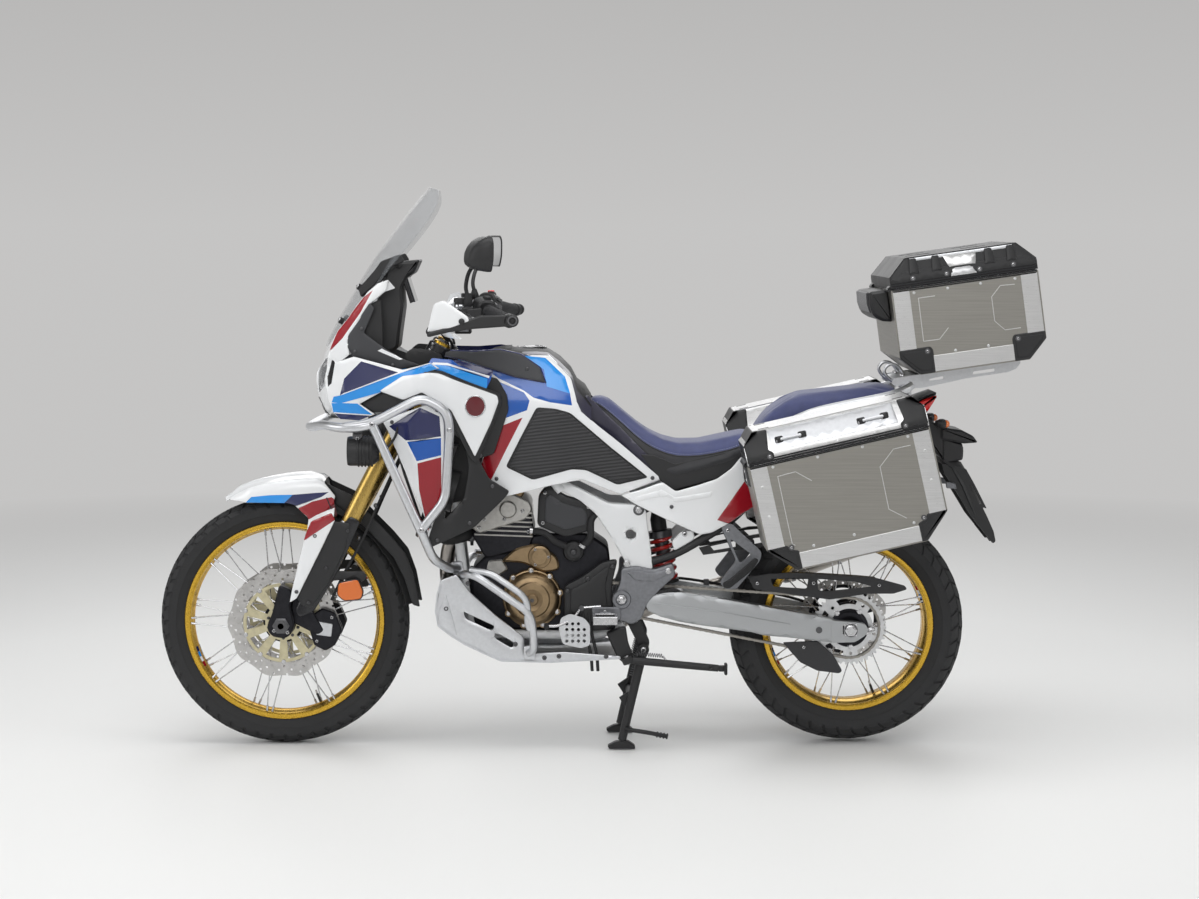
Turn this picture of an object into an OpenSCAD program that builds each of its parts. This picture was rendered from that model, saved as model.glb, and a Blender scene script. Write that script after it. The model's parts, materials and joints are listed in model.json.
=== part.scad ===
// Adventure touring motorcycle with side cases, top case and centre stand.
// Millimetres, +X towards the front wheel, +Y towards the rider's left, +Z up.
// The machine stands on its front tyre and its centre stand, on the plane z = 0.
// Side outlines are drawn as [x, z] points, with x counted from halfway between the axles.

/* [Wheels] */
// Distance between the two axles
wheelbase = 1575; // [1300:5:1900]
// Outer diameter of the front tyre
front_tyre_d = 696; // [640:2:740]
// Width of the front tyre
front_tyre_w = 90; // [75:1:110]
// Outer diameter of the front rim's flanges
front_rim_d = 558; // [500:2:570]
// Width over the front rim's flanges
front_rim_w = 68; // [54:1:82]
// Outer diameter of the rear tyre
rear_tyre_d = 658; // [600:2:664]
// Width of the rear tyre
rear_tyre_w = 150; // [120:1:152]
// Outer diameter of the rear rim's flanges
rear_rim_d = 480; // [420:2:500]
// Width over the rear rim's flanges
rear_rim_w = 116; // [90:1:126]
// Height of the rear axle, which leaves the rear tyre just off the floor
rear_axle_z = 334; // [334:1:345]
// Number of spoke pairs in each wheel
spoke_pairs = 18; // [12:1:20]
// Diameter of a spoke
spoke_d = 4; // [3:0.5:5]
// Outer diameter of both hollow axles
axle_d = 25; // [20:1:28]
// Bore through both hollow axles
axle_bore_d = 17; // [8:1:18]
// Gap on the radius between a turning part and its shaft
running_gap = 0.06; // [0.02:0.01:0.1]

/* [Brakes and drive] */
// Outer diameter of the two front brake discs
front_disc_d = 310; // [260:2:330]
// Outer diameter of the rear brake disc
rear_disc_d = 256; // [200:2:270]
// Thickness of a brake disc
disc_t = 5; // [4:0.5:6]
// Distance from the centre plane to the middle of a front disc
front_disc_y = 65; // [62:0.5:66]
// Outer diameter of the rear sprocket
sprocket_d = 200; // [160:2:204]
// Distance from the centre plane to the middle of the chain
chain_y = 88; // [84:0.5:90]
// Width of the chain
chain_w = 14; // [10:0.5:16]
// Height of the chain's links
chain_h = 14; // [10:0.5:16]

/* [Steering] */
// Angle of the steering axis from the vertical
rake = 27.5; // [24:0.1:30]
// Where the steering axis meets the floor, ahead of the front axle
trail = 113; // [95:1:125]
// Distance of the fork legs ahead of the steering axis
fork_offset = 22; // [15:1:35]
// Distance between the centre lines of the fork legs
fork_spacing = 206; // [200:1:220]
// Diameter of the fork's outer tubes
fork_tube_d = 54; // [50:1:56]
// Diameter of the fork's sliding tubes
stanchion_d = 45; // [40:1:48]
// Overall width over the bar ends
bar_width = 880; // [760:10:930]

/* [Luggage] */
// Overall width over the side cases, which is the machine's widest place
cases_width = 940; // [900:10:1128]
// Length of a side case
case_length = 480; // [400:5:576]
// Depth of a side case below its lid
case_depth = 292; // [244:2:320]
// Height of a side case's lid
case_lid_h = 86; // [70:1:104]
// Distance from the centre plane to the left case's inner face
case_inner_left = 236; // [230:1:280]
// Distance from the centre plane to the right case's inner face, outside the silencer
case_inner_right = 266; // [262:1:290]
// Length of the top case
top_length = 396; // [330:4:474]
// Depth of the top case below its lid
top_depth = 236; // [196:2:240]
// Height of the top case's lid
top_lid_h = 80; // [66:1:96]
// Width of the top case
top_width = 430; // [360:2:440]
// Wall thickness of all the cases
case_wall = 4; // [2:0.5:6]
// Gap between a case and its lid
lid_gap = 1; // [0.5:0.1:2]

/* [Stands] */
// Distance from the centre plane to the middle of a centre stand leg
stand_leg_y = 117; // [116:0.5:119]
// Diameter of the centre stand's legs
stand_leg_d = 24; // [20:1:26]
// Length of the side stand's leg
side_stand_l = 262; // [220:2:264]

/* [Tubes and panels] */
// Diameter of the crash bars
crash_bar_d = 25; // [20:1:28]
// Thickness of the skid plate
skid_t = 4; // [2:0.5:6]
// Thickness of the fairing's skins
skin_t = 10; // [6:1:12]
// Thickness of the windscreen
screen_t = 5; // [3:0.5:6]

/* [Hidden] */
$fn = 48;

// The bodywork's outlines are drawn for this wheelbase and stretch with it.
drawn_wheelbase = 1575;
stretch = wheelbase / drawn_wheelbase;

axle_r = axle_d / 2;
front_axle_x = wheelbase / 2;
rear_axle_x = -wheelbase / 2;
front_axle_z = front_tyre_d / 2;

// Steering axis: a point on it at height z, and its direction.
steer_foot_x = front_axle_x + trail;
steer_up = [-sin(rake), 0, cos(rake)];
function steer_x(z) = steer_foot_x - z * tan(rake);

// Centre line of a fork leg at height z.
function leg_x(z) = steer_x(z) + fork_offset / cos(rake);
leg_y = fork_spacing / 2;
leg_top_z = 1128;
leg_split_z = 560;
leg_low_z = 330;

// Side case: its tilt and the front end of its lid line.
case_tilt = 12.8;
case_x = -480 * stretch;
case_z = 820;
case_cut = 66;
case_outer = cases_width / 2;
// The lids' hinges: how far ahead of the case's front edge, and the barrel's radius.
lid_hinge_out = 7;
lid_hinge_r = 5;

// Top case: its tilt and the front end of its lid line.
top_tilt = 8;
top_x = -882 * stretch;
top_z = 1276;
top_cut = 50;
top_lock_l = 44;
top_lock_drop = 16;

// Centre stand: its pivot, and its leg's length and lean at rest.
stand_x = -214 * stretch;
stand_z = 280;
stand_lean = 13;
stand_foot_t = 14;

// Side stand: its pivot and the direction of the folded leg.
side_stand_pivot = [-170 * stretch, 166, 258];
side_stand_dir = [-0.9955, 0.03, -0.09];

// Front sprocket's centre and the chain loop's two pitch radii.
drive_x = -95 * stretch;
drive_z = 425;
drive_r = 42;
chain_r = sprocket_d / 2 + 6 + chain_h / 2;

// The origin is below the middle of the whole machine.
front_end = front_axle_x + front_tyre_d / 2;
back_end = top_x - (top_length + top_lock_l) * cos(top_tilt) - top_lock_drop * sin(top_tilt);
origin_x = (front_end + back_end) / 2;

module place() translate([-origin_x, 0, 0]) children();

module both_sides() {
    children();
    mirror([0, 1, 0]) children();
}

// A side outline of [x, z] points made solid from y0 to y1, stretched with the wheelbase.
module slab(points, y0, y1) {
    translate([0, y1, 0]) rotate([90, 0, 0]) linear_extrude(y1 - y0)
        polygon([for (p = points) [p[0] * stretch, p[1]]]);
}

// The same without the stretch.
module plate(points, y0, y1) {
    translate([0, y1, 0]) rotate([90, 0, 0]) linear_extrude(y1 - y0) polygon(points);
}

// A plan outline of [x, y] points made solid from z0 to z1.
module plan(points, z0, z1) {
    translate([0, 0, z0]) linear_extrude(z1 - z0)
        polygon([for (p = points) [p[0] * stretch, p[1]]]);
}

// A skin that follows the plan line, cut to the side outline.
module skin(outline, line, thickness) {
    inner = [for (i = [len(line) - 1 : -1 : 0]) [line[i][0], line[i][1] - thickness]];
    intersection() {
        slab(outline, 0, 400);
        plan(concat(line, inner), 400, 1500);
    }
}

// A round bar from a to b.
module rod(a, b, d) {
    v = b - a;
    translate(a) rotate([0, acos(v[2] / norm(v)), atan2(v[1], v[0])])
        cylinder(h = norm(v), d = d);
}

// A bent round tube through the points, with a ball in each bend.
module tube(points, d) {
    for (i = [0 : len(points) - 2]) rod(points[i], points[i + 1], d);
    for (i = [1 : len(points) - 2]) translate(points[i]) sphere(d = d * 1.04);
}

// Tube points drawn for the standard wheelbase.
function drawn(points) = [for (p = points) [p[0] * stretch, p[1], p[2]]];

// A cylinder across the machine at [x, z], from y0 to y1.
module across(x, z, r, y0, y1) {
    translate([x, y1, z]) rotate([90, 0, 0]) cylinder(r = r, h = y1 - y0);
}

// A solid of revolution about a wheel's axle from [radius, y] points.
module turned(x, z, points) {
    translate([x, 0, z]) rotate([-90, 0, 0]) rotate_extrude() polygon(points);
}

module tyre_shape(x, z, d, w, rim_d, rim_w) {
    r = d / 2;
    rr = rim_d / 2;
    crown = w * 0.3;
    outer = [for (a = [-70 : 14 : 70])
        [r - crown * (1 - cos(a)) / (1 - cos(70)), w / 2 * sin(a) / sin(70)]];
    turned(x, z, concat([[rr - 4, -rim_w / 2 + 8], [rr + 0.5, -rim_w / 2 + 7],
                         [rr + 0.5, -rim_w / 2 - 1], [rr + 12, -w / 2 + 2]], outer,
                        [[rr + 12, w / 2 - 2], [rr + 0.5, rim_w / 2 + 1],
                         [rr + 0.5, rim_w / 2 - 7], [rr - 4, rim_w / 2 - 8]]));
}

module rim_shape(x, z, d, w) {
    r = d / 2;
    h = w / 2;
    turned(x, z, [[r, -h], [r, -h + 4], [r - 6, -h + 6], [r - 10, -h + 12], [r - 20, -h / 3],
                  [r - 20, h / 3], [r - 10, h - 12], [r - 6, h - 6], [r, h - 4], [r, h],
                  [r - 12, h], [r - 17, h - 6], [r - 25, h / 3],
                  [r - 25, -h / 3], [r - 17, -h + 6], [r - 12, -h]]);
}

// Hub barrel with a flange each side, its axle bore, and spokes out to the rim's edges.
module laced_hub(x, z, barrel_r, flange_r, flange_y, end_y, rim_r, rim_y) {
    difference() {
        union() {
            turned(x, z, [[0, -end_y], [barrel_r, -end_y], [barrel_r, -flange_y - 4],
                          [flange_r, -flange_y - 4], [flange_r, -flange_y + 4],
                          [barrel_r, -flange_y + 10], [barrel_r, flange_y - 10],
                          [flange_r, flange_y - 4], [flange_r, flange_y + 4],
                          [barrel_r, flange_y + 4], [barrel_r, end_y], [0, end_y]]);
            for (i = [0 : spoke_pairs - 1], s = [-1, 1]) {
                a = i * 360 / spoke_pairs;
                b = a + s * 26;
                rod([x + (flange_r - 5) * cos(b), s * flange_y, z + (flange_r - 5) * sin(b)],
                    [x + rim_r * cos(a), s * rim_y, z + rim_r * sin(a)], spoke_d);
            }
        }
        across(x, z, axle_r + running_gap, -end_y - 1, end_y + 1);
    }
}

module front_tyre() place() color([0.09, 0.09, 0.09])
    tyre_shape(front_axle_x, front_axle_z, front_tyre_d, front_tyre_w, front_rim_d, front_rim_w);

module front_rim() place() color([0.75, 0.55, 0.15])
    rim_shape(front_axle_x, front_axle_z, front_rim_d, front_rim_w);

module front_hub() place() color([0.12, 0.12, 0.12])
    laced_hub(front_axle_x, front_axle_z, 34, 58, 44, front_disc_y - disc_t / 2,
              front_rim_d / 2 - 18, front_rim_w / 2 - 10);

module front_discs() place() color([0.72, 0.72, 0.7]) {
    r = front_disc_d / 2;
    both_sides() difference() {
        union() {
            turned(front_axle_x, front_axle_z,
                   [[r - 48, front_disc_y - disc_t / 2], [r, front_disc_y - disc_t / 2],
                    [r, front_disc_y + disc_t / 2], [r - 48, front_disc_y + disc_t / 2]]);
            turned(front_axle_x, front_axle_z,
                   [[axle_r + 4, front_disc_y - disc_t / 2], [r - 44, front_disc_y - disc_t / 2],
                    [r - 44, front_disc_y], [axle_r + 4, front_disc_y]]);
        }
        for (a = [0 : 45 : 315])
            across(front_axle_x + 74 * cos(a), front_axle_z + 74 * sin(a), 12,
                   front_disc_y - 10, front_disc_y + 10);
    }
}

module rear_tyre() place() color([0.09, 0.09, 0.09])
    tyre_shape(rear_axle_x, rear_axle_z, rear_tyre_d, rear_tyre_w, rear_rim_d, rear_rim_w);

module rear_rim() place() color([0.75, 0.55, 0.15])
    rim_shape(rear_axle_x, rear_axle_z, rear_rim_d, rear_rim_w);

// The rear hub also carries the rear brake disc on the right.
module rear_hub() place() color([0.12, 0.12, 0.12]) {
    laced_hub(rear_axle_x, rear_axle_z, 44, 66, 46, 76, rear_rim_d / 2 - 18, rear_rim_w / 2 - 12);
    r = rear_disc_d / 2;
    turned(rear_axle_x, rear_axle_z, [[40, -76], [r, -76], [r, -76 + disc_t], [40, -76 + disc_t]]);
}

module rear_sprocket() place() color([0.75, 0.75, 0.76]) {
    r = sprocket_d / 2;
    difference() {
        turned(rear_axle_x, rear_axle_z,
               [[axle_r + 4, 76], [60, 76], [60, chain_y - 3], [r, chain_y - 3],
                [r, chain_y + 3], [axle_r + 4, chain_y + 3]]);
        for (a = [0 : 72 : 288])
            across(rear_axle_x + 68 * cos(a), rear_axle_z + 68 * sin(a), 15, 70, 100);
    }
}

module front_axle() place() color([0.7, 0.7, 0.72]) difference() {
    union() {
        across(front_axle_x, front_axle_z, axle_r, -leg_y - 24, leg_y + 24);
        both_sides() across(front_axle_x, front_axle_z, axle_r + 4, leg_y + 24, leg_y + 32);
        both_sides() across(front_axle_x, front_axle_z, axle_r + 3.5,
                            front_disc_y + disc_t / 2 + 0.5, leg_y - 24);
    }
    across(front_axle_x, front_axle_z, axle_bore_d / 2, -leg_y - 40, leg_y + 40);
}

// Outer tubes, sliding tubes, axle lugs and brake calipers.
module fork_legs() place() color([0.72, 0.55, 0.2]) both_sides() {
    difference() {
        union() {
            rod([leg_x(leg_split_z), leg_y, leg_split_z], [leg_x(leg_top_z), leg_y, leg_top_z],
                fork_tube_d);
            rod([leg_x(leg_low_z), leg_y, leg_low_z], [leg_x(leg_split_z), leg_y, leg_split_z],
                stanchion_d);
            hull() {
                rod([leg_x(300), leg_y, 300], [leg_x(420), leg_y, 420], stanchion_d + 2);
                across(front_axle_x, front_axle_z, 30, leg_y - 23, leg_y + 23);
            }
            fork_caliper();
        }
        across(front_axle_x, front_axle_z, axle_r + running_gap, 0, leg_y + 60);
        turned(front_axle_x, front_axle_z,
               [[60, front_disc_y - disc_t / 2 - 5], [front_disc_d / 2 + 8, front_disc_y - disc_t / 2 - 5],
                [front_disc_d / 2 + 8, front_disc_y + disc_t / 2 + 5], [60, front_disc_y + disc_t / 2 + 5]]);
    }
}

// A caliper behind the leg, over the disc's rim.
module fork_caliper() {
    dx = front_axle_x;
    dz = front_axle_z;
    plate([[dx - 72, dz + 40], [dx - 78, dz - 60], [dx - 130, dz - 84], [dx - 172, dz - 66],
           [dx - 196, dz + 10], [dx - 150, dz + 34]], front_disc_y - 12, leg_y + 6);
}

module triple_clamps() place() color([0.15, 0.15, 0.16]) {
    difference() {
        union() {
            clamp_plate(905, 34);
            clamp_plate(1098, 28);
        }
        both_sides() rod([leg_x(800), leg_y, 800], [leg_x(1200), leg_y, 1200],
                         fork_tube_d + 2 * running_gap);
    }
    rod([steer_x(890), 0, 890], [steer_x(1110), 0, 1110], 30);
    both_sides() rod([steer_x(1100), 50, 1100], [steer_x(1165), 50, 1165], 30);
}

// One clamp across the fork at height z on the steering axis.
module clamp_plate(z, h) {
    translate([steer_x(z), 0, z]) rotate([0, -rake, 0]) translate([0, 0, -h / 2])
        linear_extrude(h) polygon([
            [-28, 35], [-10, leg_y + 34], [fork_offset + 36, leg_y + 34],
            [fork_offset + 42, leg_y], [30, 40], [30, -40], [fork_offset + 42, -leg_y],
            [fork_offset + 36, -leg_y - 34], [-10, -leg_y - 34], [-28, -35]]);
}

// Bar, grips, switch blocks, levers and reservoirs.
module handlebar() place() color([0.1, 0.1, 0.1]) {
    e = bar_width / 2;
    grip = [[steer_x(1185) - 72, e - 190, 1222], [steer_x(1185) - 136, e - 8, 1187]];
    along_grip = (grip[1] - grip[0]) / norm(grip[1] - grip[0]);
    tube([grip[0], [steer_x(1185) - 8, 132, 1222], [steer_x(1185), 56, 1182],
          [steer_x(1185), -56, 1182], [steer_x(1185) - 8, -132, 1222],
          [grip[0][0], -grip[0][1], grip[0][2]]], 22);
    both_sides() {
        rod(grip[0] - along_grip * 10, grip[1], 34);
        rod(grip[1] - along_grip * 2, grip[1] + along_grip * 8, 38);
        translate(grip[0] + [-24, -30, -24]) cube([70, 56, 50]);
        tube([grip[0] + [30, 10, -2], grip[0] + [62, 40, -8], grip[1] + [56, -20, -6]], 14);
        rod(grip[0] + [30, -12, 6], grip[0] + [36, -12, 48], 36);
    }
}

module hand_guards() place() color([0.92, 0.92, 0.93]) both_sides() {
    e = bar_width / 2;
    x = steer_x(1185);
    hull() {
        translate([x + 84, e - 146, 1164]) sphere(d = 8, $fn = 16);
        translate([x + 54, e - 146, 1236]) sphere(d = 8, $fn = 16);
        translate([x + 84, e - 80, 1156]) sphere(d = 8, $fn = 16);
        translate([x + 50, e - 80, 1242]) sphere(d = 8, $fn = 16);
    }
    hull() {
        translate([x + 84, e - 80, 1156]) sphere(d = 8, $fn = 16);
        translate([x + 50, e - 80, 1242]) sphere(d = 8, $fn = 16);
        translate([x - 12, e - 6, 1176]) sphere(d = 8, $fn = 16);
        translate([x - 10, e - 6, 1196]) sphere(d = 8, $fn = 16);
    }
    tube([[x + 78, e - 140, 1150], [x + 80, e - 80, 1144], [x + 10, e + 2, 1160],
          [x - 132, e + 11, 1184]], 12);
}

module mirrors() place() color([0.1, 0.1, 0.1]) both_sides() {
    e = bar_width / 2;
    x = steer_x(1185) - 30;
    tube([[x, e - 190, 1273], [x + 6, e - 176, 1300], [x - 12, e - 136, 1340],
          [x - 30, e - 110, 1352]], 11);
    hull() {
        translate([x - 62, e - 128, 1336]) rotate([0, 0, -14]) cube([12, 124, 78]);
        translate([x - 40, e - 112, 1348]) cube([30, 84, 52]);
    }
}

// A blade over the tyre, its rear flap, and the panels beside the fork legs.
module front_mudguard() place() color([0.92, 0.92, 0.93]) {
    dx = front_axle_x;
    dz = front_axle_z;
    gap_r = front_tyre_d / 2 + 12;
    difference() {
        union() {
            plate([[dx + 158, dz + 339], [dx + 98, dz + 375], [dx, dz + 398], [dx - 105, dz + 404],
                   [dx - 190, dz + 356], [dx - 150, dz + 300], [dx - 78, dz + 292], [dx - 18, dz + 334],
                   [dx + 96, dz + 334]], -62, 62);
            plate([[dx - 190, dz + 352], [dx - 246, dz + 298], [dx - 300, dz + 243],
                   [dx - 341, dz + 193], [dx - 364, dz + 129], [dx - 380, dz + 36],
                   [dx - 362, dz + 36], [dx - 300, dz + 170], [dx - 200, dz + 270]], -62, 62);
        }
        across(dx, dz, gap_r, -54, 54);
        both_sides() rod([leg_x(500), leg_y, 500], [leg_x(900), leg_y, 900], fork_tube_d + 2);
    }
    both_sides() {
        plate([[dx - 72, dz + 243], [dx - 32, dz + 102], [dx - 26, dz + 65], [dx + 2, dz + 44],
               [dx - 56, dz + 2], [dx - 90, dz + 14], [dx - 180, dz + 216], [dx - 196, dz + 289],
               [dx - 139, dz + 355], [dx - 110, dz + 350]], leg_y + 27.5, leg_y + 40);
        plate([[dx - 80, dz + 300], [dx - 150, dz + 356], [dx - 112, dz + 370], [dx - 76, dz + 330]],
              50, leg_y + 40);
    }
}

module frame() place() color([0.92, 0.92, 0.93]) {
    head = [[steer_x(930), 0, 930], [steer_x(1076), 0, 1076]];
    difference() {
        union() {
            rod(head[0], head[1], 62);
            both_sides() {
                tube([[steer_x(1010), 20, 1010], [steer_x(1010) - 110, 48, 930],
                      [80 * stretch, 108, 800], [20 * stretch, 112, 725]], 30);
                tube([[steer_x(1000) - 12, 14, 1000], [344 * stretch, 42, 900], [310 * stretch, 62, 700], [285 * stretch, 80, 480],
                      [262 * stretch, 80, 316], [-100 * stretch, 80, 312], [-160 * stretch, 98, 350]], 26);
                slab([[-40, 762], [50, 742], [-45, 685], [-85, 655], [-115, 600], [-150, 525],
                      [-155, 470], [-130, 400], [-145, 340], [-205, 345], [-232, 500], [-220, 670],
                      [-185, 690], [-130, 715]], 96, 124);
                slab([[-165, 360], [-195, 300], [-202, 262], [-226, 262], [-232, 300], [-205, 360]],
                     96, 102);
            }
            slab([[-150, 345], [-110, 330], [-140, 262], [-158, 245], [-182, 245], [-184, 270],
                  [-172, 300], [-165, 345]], 118, 150);
            rod([-195 * stretch, -100, 620], [-195 * stretch, 100, 620], 30);
            rod([-200 * stretch, -100, 318], [-200 * stretch, 100, 318], 24);
        }
        rod([steer_x(850), 0, 850], [steer_x(1150), 0, 1150], 30 + 2 * running_gap);
        across(-153 * stretch, 421, 12, -130, 130);
        both_sides() {
            rod([-204.5 * stretch, 104.1, 661.7], [-330 * stretch, 92, 735], 26 + 2 * running_gap);
            rod([-224.5 * stretch, 110.1, 519.8], [-300 * stretch, 106, 540], 24 + 2 * running_gap);
        }
        across(stand_x, stand_z, 6 + running_gap, -110, 110);
        translate(side_stand_pivot) side_stand_turn() translate([0, 0, -40])
            cylinder(r = 6 + running_gap, h = 80);
    }
}

// Side stand's pivot axis as the local z axis.
module side_stand_turn() rotate([0, acos(-0.4222), atan2(-0.9064, 0.0108)]) children();

module subframe() place() color([0.12, 0.12, 0.12]) {
    both_sides() {
        tube(drawn([[-205, 104, 662], [-330, 92, 735], [-500, 92, 800], [-960, 92, 915]]), 26);
        tube(drawn([[-225, 110, 520], [-300, 106, 540], [-450, 104, 628], [-640, 96, 822]]), 24);
    }
    for (p = [[-500, 800], [-640, 836], [-950, 912]])
        rod([p[0] * stretch, -92, p[1]], [p[0] * stretch, 92, p[1]], 20);
    slab([[-300, 722], [-420, 752], [-520, 800], [-960, 900], [-960, 880], [-560, 760], [-420, 700],
          [-300, 690]], -80, 80);
}

module engine() place() color([0.3, 0.28, 0.24]) {
    difference() {
        union() {
            slab([[240, 345], [256, 500], [215, 545], [60, 590], [-60, 610], [-118, 560], [-128, 470],
                  [-112, 400], [-120, 345], [-90, 332], [228, 332]], -88, 88);
            slab([[265, 615], [180, 720], [80, 680], [78, 575], [215, 530]], -104, 104);
            across(94 * stretch, 419, 76, 80, 150);
            across(40 * stretch, 430, 96, -160, -80);
            across(73 * stretch, 537, 30, 80, 112);
            slab([[44, 450], [-45, 482], [-114, 515], [-114, 400], [-100, 340], [-60, 340], [44, 380]],
                 100, 122);
            slab([[48, 737], [-60, 700], [-77, 613], [1, 595], [79, 624], [74, 708]], -70, 92);
        }
        chain_pocket();
    }
    across(drive_x, drive_z, drive_r - 8, 70, chain_y + 3);
}

// Room for the chain behind and round the front sprocket.
module chain_pocket() hull() {
    across(drive_x, drive_z, drive_r + chain_h, chain_y - chain_w, chain_y + 11);
    across(drive_x - 120, drive_z, drive_r + chain_h + 14, chain_y - chain_w, chain_y + 11);
}

// Two headers join on the right and lead to the silencer beside the rear wheel.
module exhaust() place() color([0.6, 0.58, 0.56]) {
    for (y = [-52, 46])
        tube(drawn([[258, y, 590], [322, y, 560], [330, y * 0.7, 440], [302, -42, 360], [258, -124, 306]]), 40);
    tube(drawn([[290, -60, 350], [240, -124, 303], [-60, -128, 302], [-150, -136, 316],
                [-235, -158, 352], [-330, -168, 384], [-500, -178, 436], [-560, -180, 452]]), 46);
    rod([-540 * stretch, -180, 446], [-620 * stretch, -182, 476], 80);
    rod([-600 * stretch, -182, 468], [-960 * stretch, -186, 604], 118);
    rod([-950 * stretch, -186, 600], [-985 * stretch, -186, 613], 60);
}

module skid_plate() place() color([0.85, 0.85, 0.86]) difference() {
    slab([[302, 495], [345, 480], [357, 392], [350, 350], [282, 300], [180, 253], [-128, 253],
          [-128, 264], [5, 276], [112, 276], [118, 321], [263, 444]], -156, 156);
    t = skid_t;
    slab([[300 - t, 600], [341 - t, 500], [357 - t, 392], [350 - t, 352], [282 - t, 301 + t],
          [180, 253 + t], [-200, 253 + t], [-200, 600]], -156 + t, 156 - t);
    for (s = [[[279, 380], [204, 345]], [[192, 322], [147, 296]]]) hull() {
        across(s[0][0] * stretch, s[0][1], 8, -160, 160);
        across(s[1][0] * stretch, s[1][1], 8, -160, 160);
    }
}

// Two radiators in front of the engine, leaning with the fork, with their fans behind.
module radiators() place() color([0.16, 0.16, 0.17]) both_sides() {
    slab([[362, 610], [402, 610], [330, 858], [290, 858]], 92, 212);
    slab([[330, 660], [352, 660], [306, 800], [284, 800]], 112, 192);
}

// The tank narrows above the frame so that the turned handlebar passes over it.
module fuel_tank() place() color([0.2, 0.25, 0.45]) {
    lower = [[-245, 760], [-150, 720], [-45, 768], [60, 750], [160, 718], [215, 748], [240, 820],
             [205, 915], [180, 960], [-40, 960], [-75, 945]];
    upper = [[180, 955], [170, 1030], [165, 1070], [60, 1088], [-10, 1030], [-60, 978], [-75, 944], [-75, 935]];
    both_sides() slab(lower, 128, 172);
    slab(lower2(), -130, 130);
    slab(upper, -150, 150);
    slab([[172, 1050], [170, 1113], [55, 1112], [-40, 1015], [-40, 980]], -100, 100);
    slab([[250, 1106], [205, 1098], [165, 1110], [120, 1100], [120, 1060], [200, 1072]], -52, 52);
}

// The middle of the tank sits above the frame's spars.
function lower2() = [[-245, 762], [-150, 775], [-45, 790], [20, 840], [180, 960], [-40, 962], [-75, 945]];

fairing_line = [[120, 186], [180, 212], [300, 262], [400, 268], [470, 226], [560, 182], [640, 150]];

module side_fairings() place() color([0.92, 0.92, 0.93]) both_sides() {
    skin([[505, 1003], [440, 1046], [365, 1055], [317, 1052], [180, 986], [178, 970], [199, 917],
          [244, 828], [296, 955], [375, 1005], [438, 981]], fairing_line, skin_t);
    inner_line = [for (p = fairing_line) [p[0], p[1] - skin_t + 1]];
    skin([[500, 935], [490, 985], [375, 1010], [300, 958], [244, 830], [205, 765], [153, 728],
          [249, 633], [375, 580], [378, 664], [470, 880]], inner_line, skin_t);
    slab([[345, 690], [365, 690], [300, 880], [278, 880]], 212.5, 256);
    slab([[200, 930], [180, 986], [190, 1010], [230, 940]], 150, 216);
}

// Nose, instruments, brackets and the side panels beside the fork.
module nose_cowl() place() color([0.92, 0.92, 0.93]) {
    difference() {
        slab([[690, 1050], [694, 1018], [690, 976], [674, 936], [655, 922], [574, 938], [562, 1000],
              [548, 1092], [566, 1096], [650, 1096]], -150, 150);
        slab([[700, 984], [622, 990], [630, 1070], [650, 1094], [700, 1094]], -118, 118);
        slab([[700, 974], [640, 974], [640, 930], [700, 930]], -60, 60);
    }
    both_sides() {
        slab([[486, 1300], [540, 1268], [595, 1194], [651, 1101], [620, 1070], [585, 1090], [545, 1160]],
             124, 150);
        slab([[625, 940], [556, 936], [468, 1000], [440, 1054], [550, 1084], [600, 1100], [640, 1090]],
             148, 166);
    }
    slab([[400, 1354], [452, 1348], [488, 1320], [550, 1155], [540, 1108], [500, 1112], [470, 1150],
          [452, 1270]], -92, 92);
    slab([[498, 1268], [536, 1160], [560, 1092], [535, 1092], [500, 1150], [482, 1262]], -126, 126);
}

module headlights() place() color([0.85, 0.88, 0.9, 0.6]) {
    slab([[690, 1044], [692, 1012], [680, 986], [664, 988], [640, 1000], [634, 1066], [650, 1090],
          [672, 1070]], -114, 114);
    slab([[676, 968], [642, 970], [642, 938], [656, 932], [668, 936]], -56, 56);
}

// A cylinder shell leaning along the screen's profile, cut to its front outline.
module windscreen() place() color([0.75, 0.8, 0.82, 0.35]) {
    a = [668 * stretch, 0, 1106];
    b = [366 * stretch, 0, 1555];
    lean = atan2(a[0] - b[0], b[2] - a[2]);
    r = 250;
    intersection() {
        translate(a) rotate([0, -lean, 0]) translate([-r, 0, -80]) difference() {
            cylinder(r = r, h = 700);
            translate([0, 0, -1]) cylinder(r = r - screen_t, h = 702);
        }
        translate([200, 0, 0]) rotate([90, 0, 90]) linear_extrude(560)
            polygon([[-70, 1112], [-118, 1180], [-122, 1300], [-160, 1360], [-164, 1420],
                     [-140, 1510], [-60, 1560], [60, 1560], [140, 1510], [164, 1420],
                     [160, 1360], [122, 1300], [118, 1180], [70, 1112]]);
        plate([[340, 1570], [720 * stretch, 1570], [720 * stretch, 1080], [480 * stretch, 1080]],
              -200, 200);
    }
}

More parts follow.
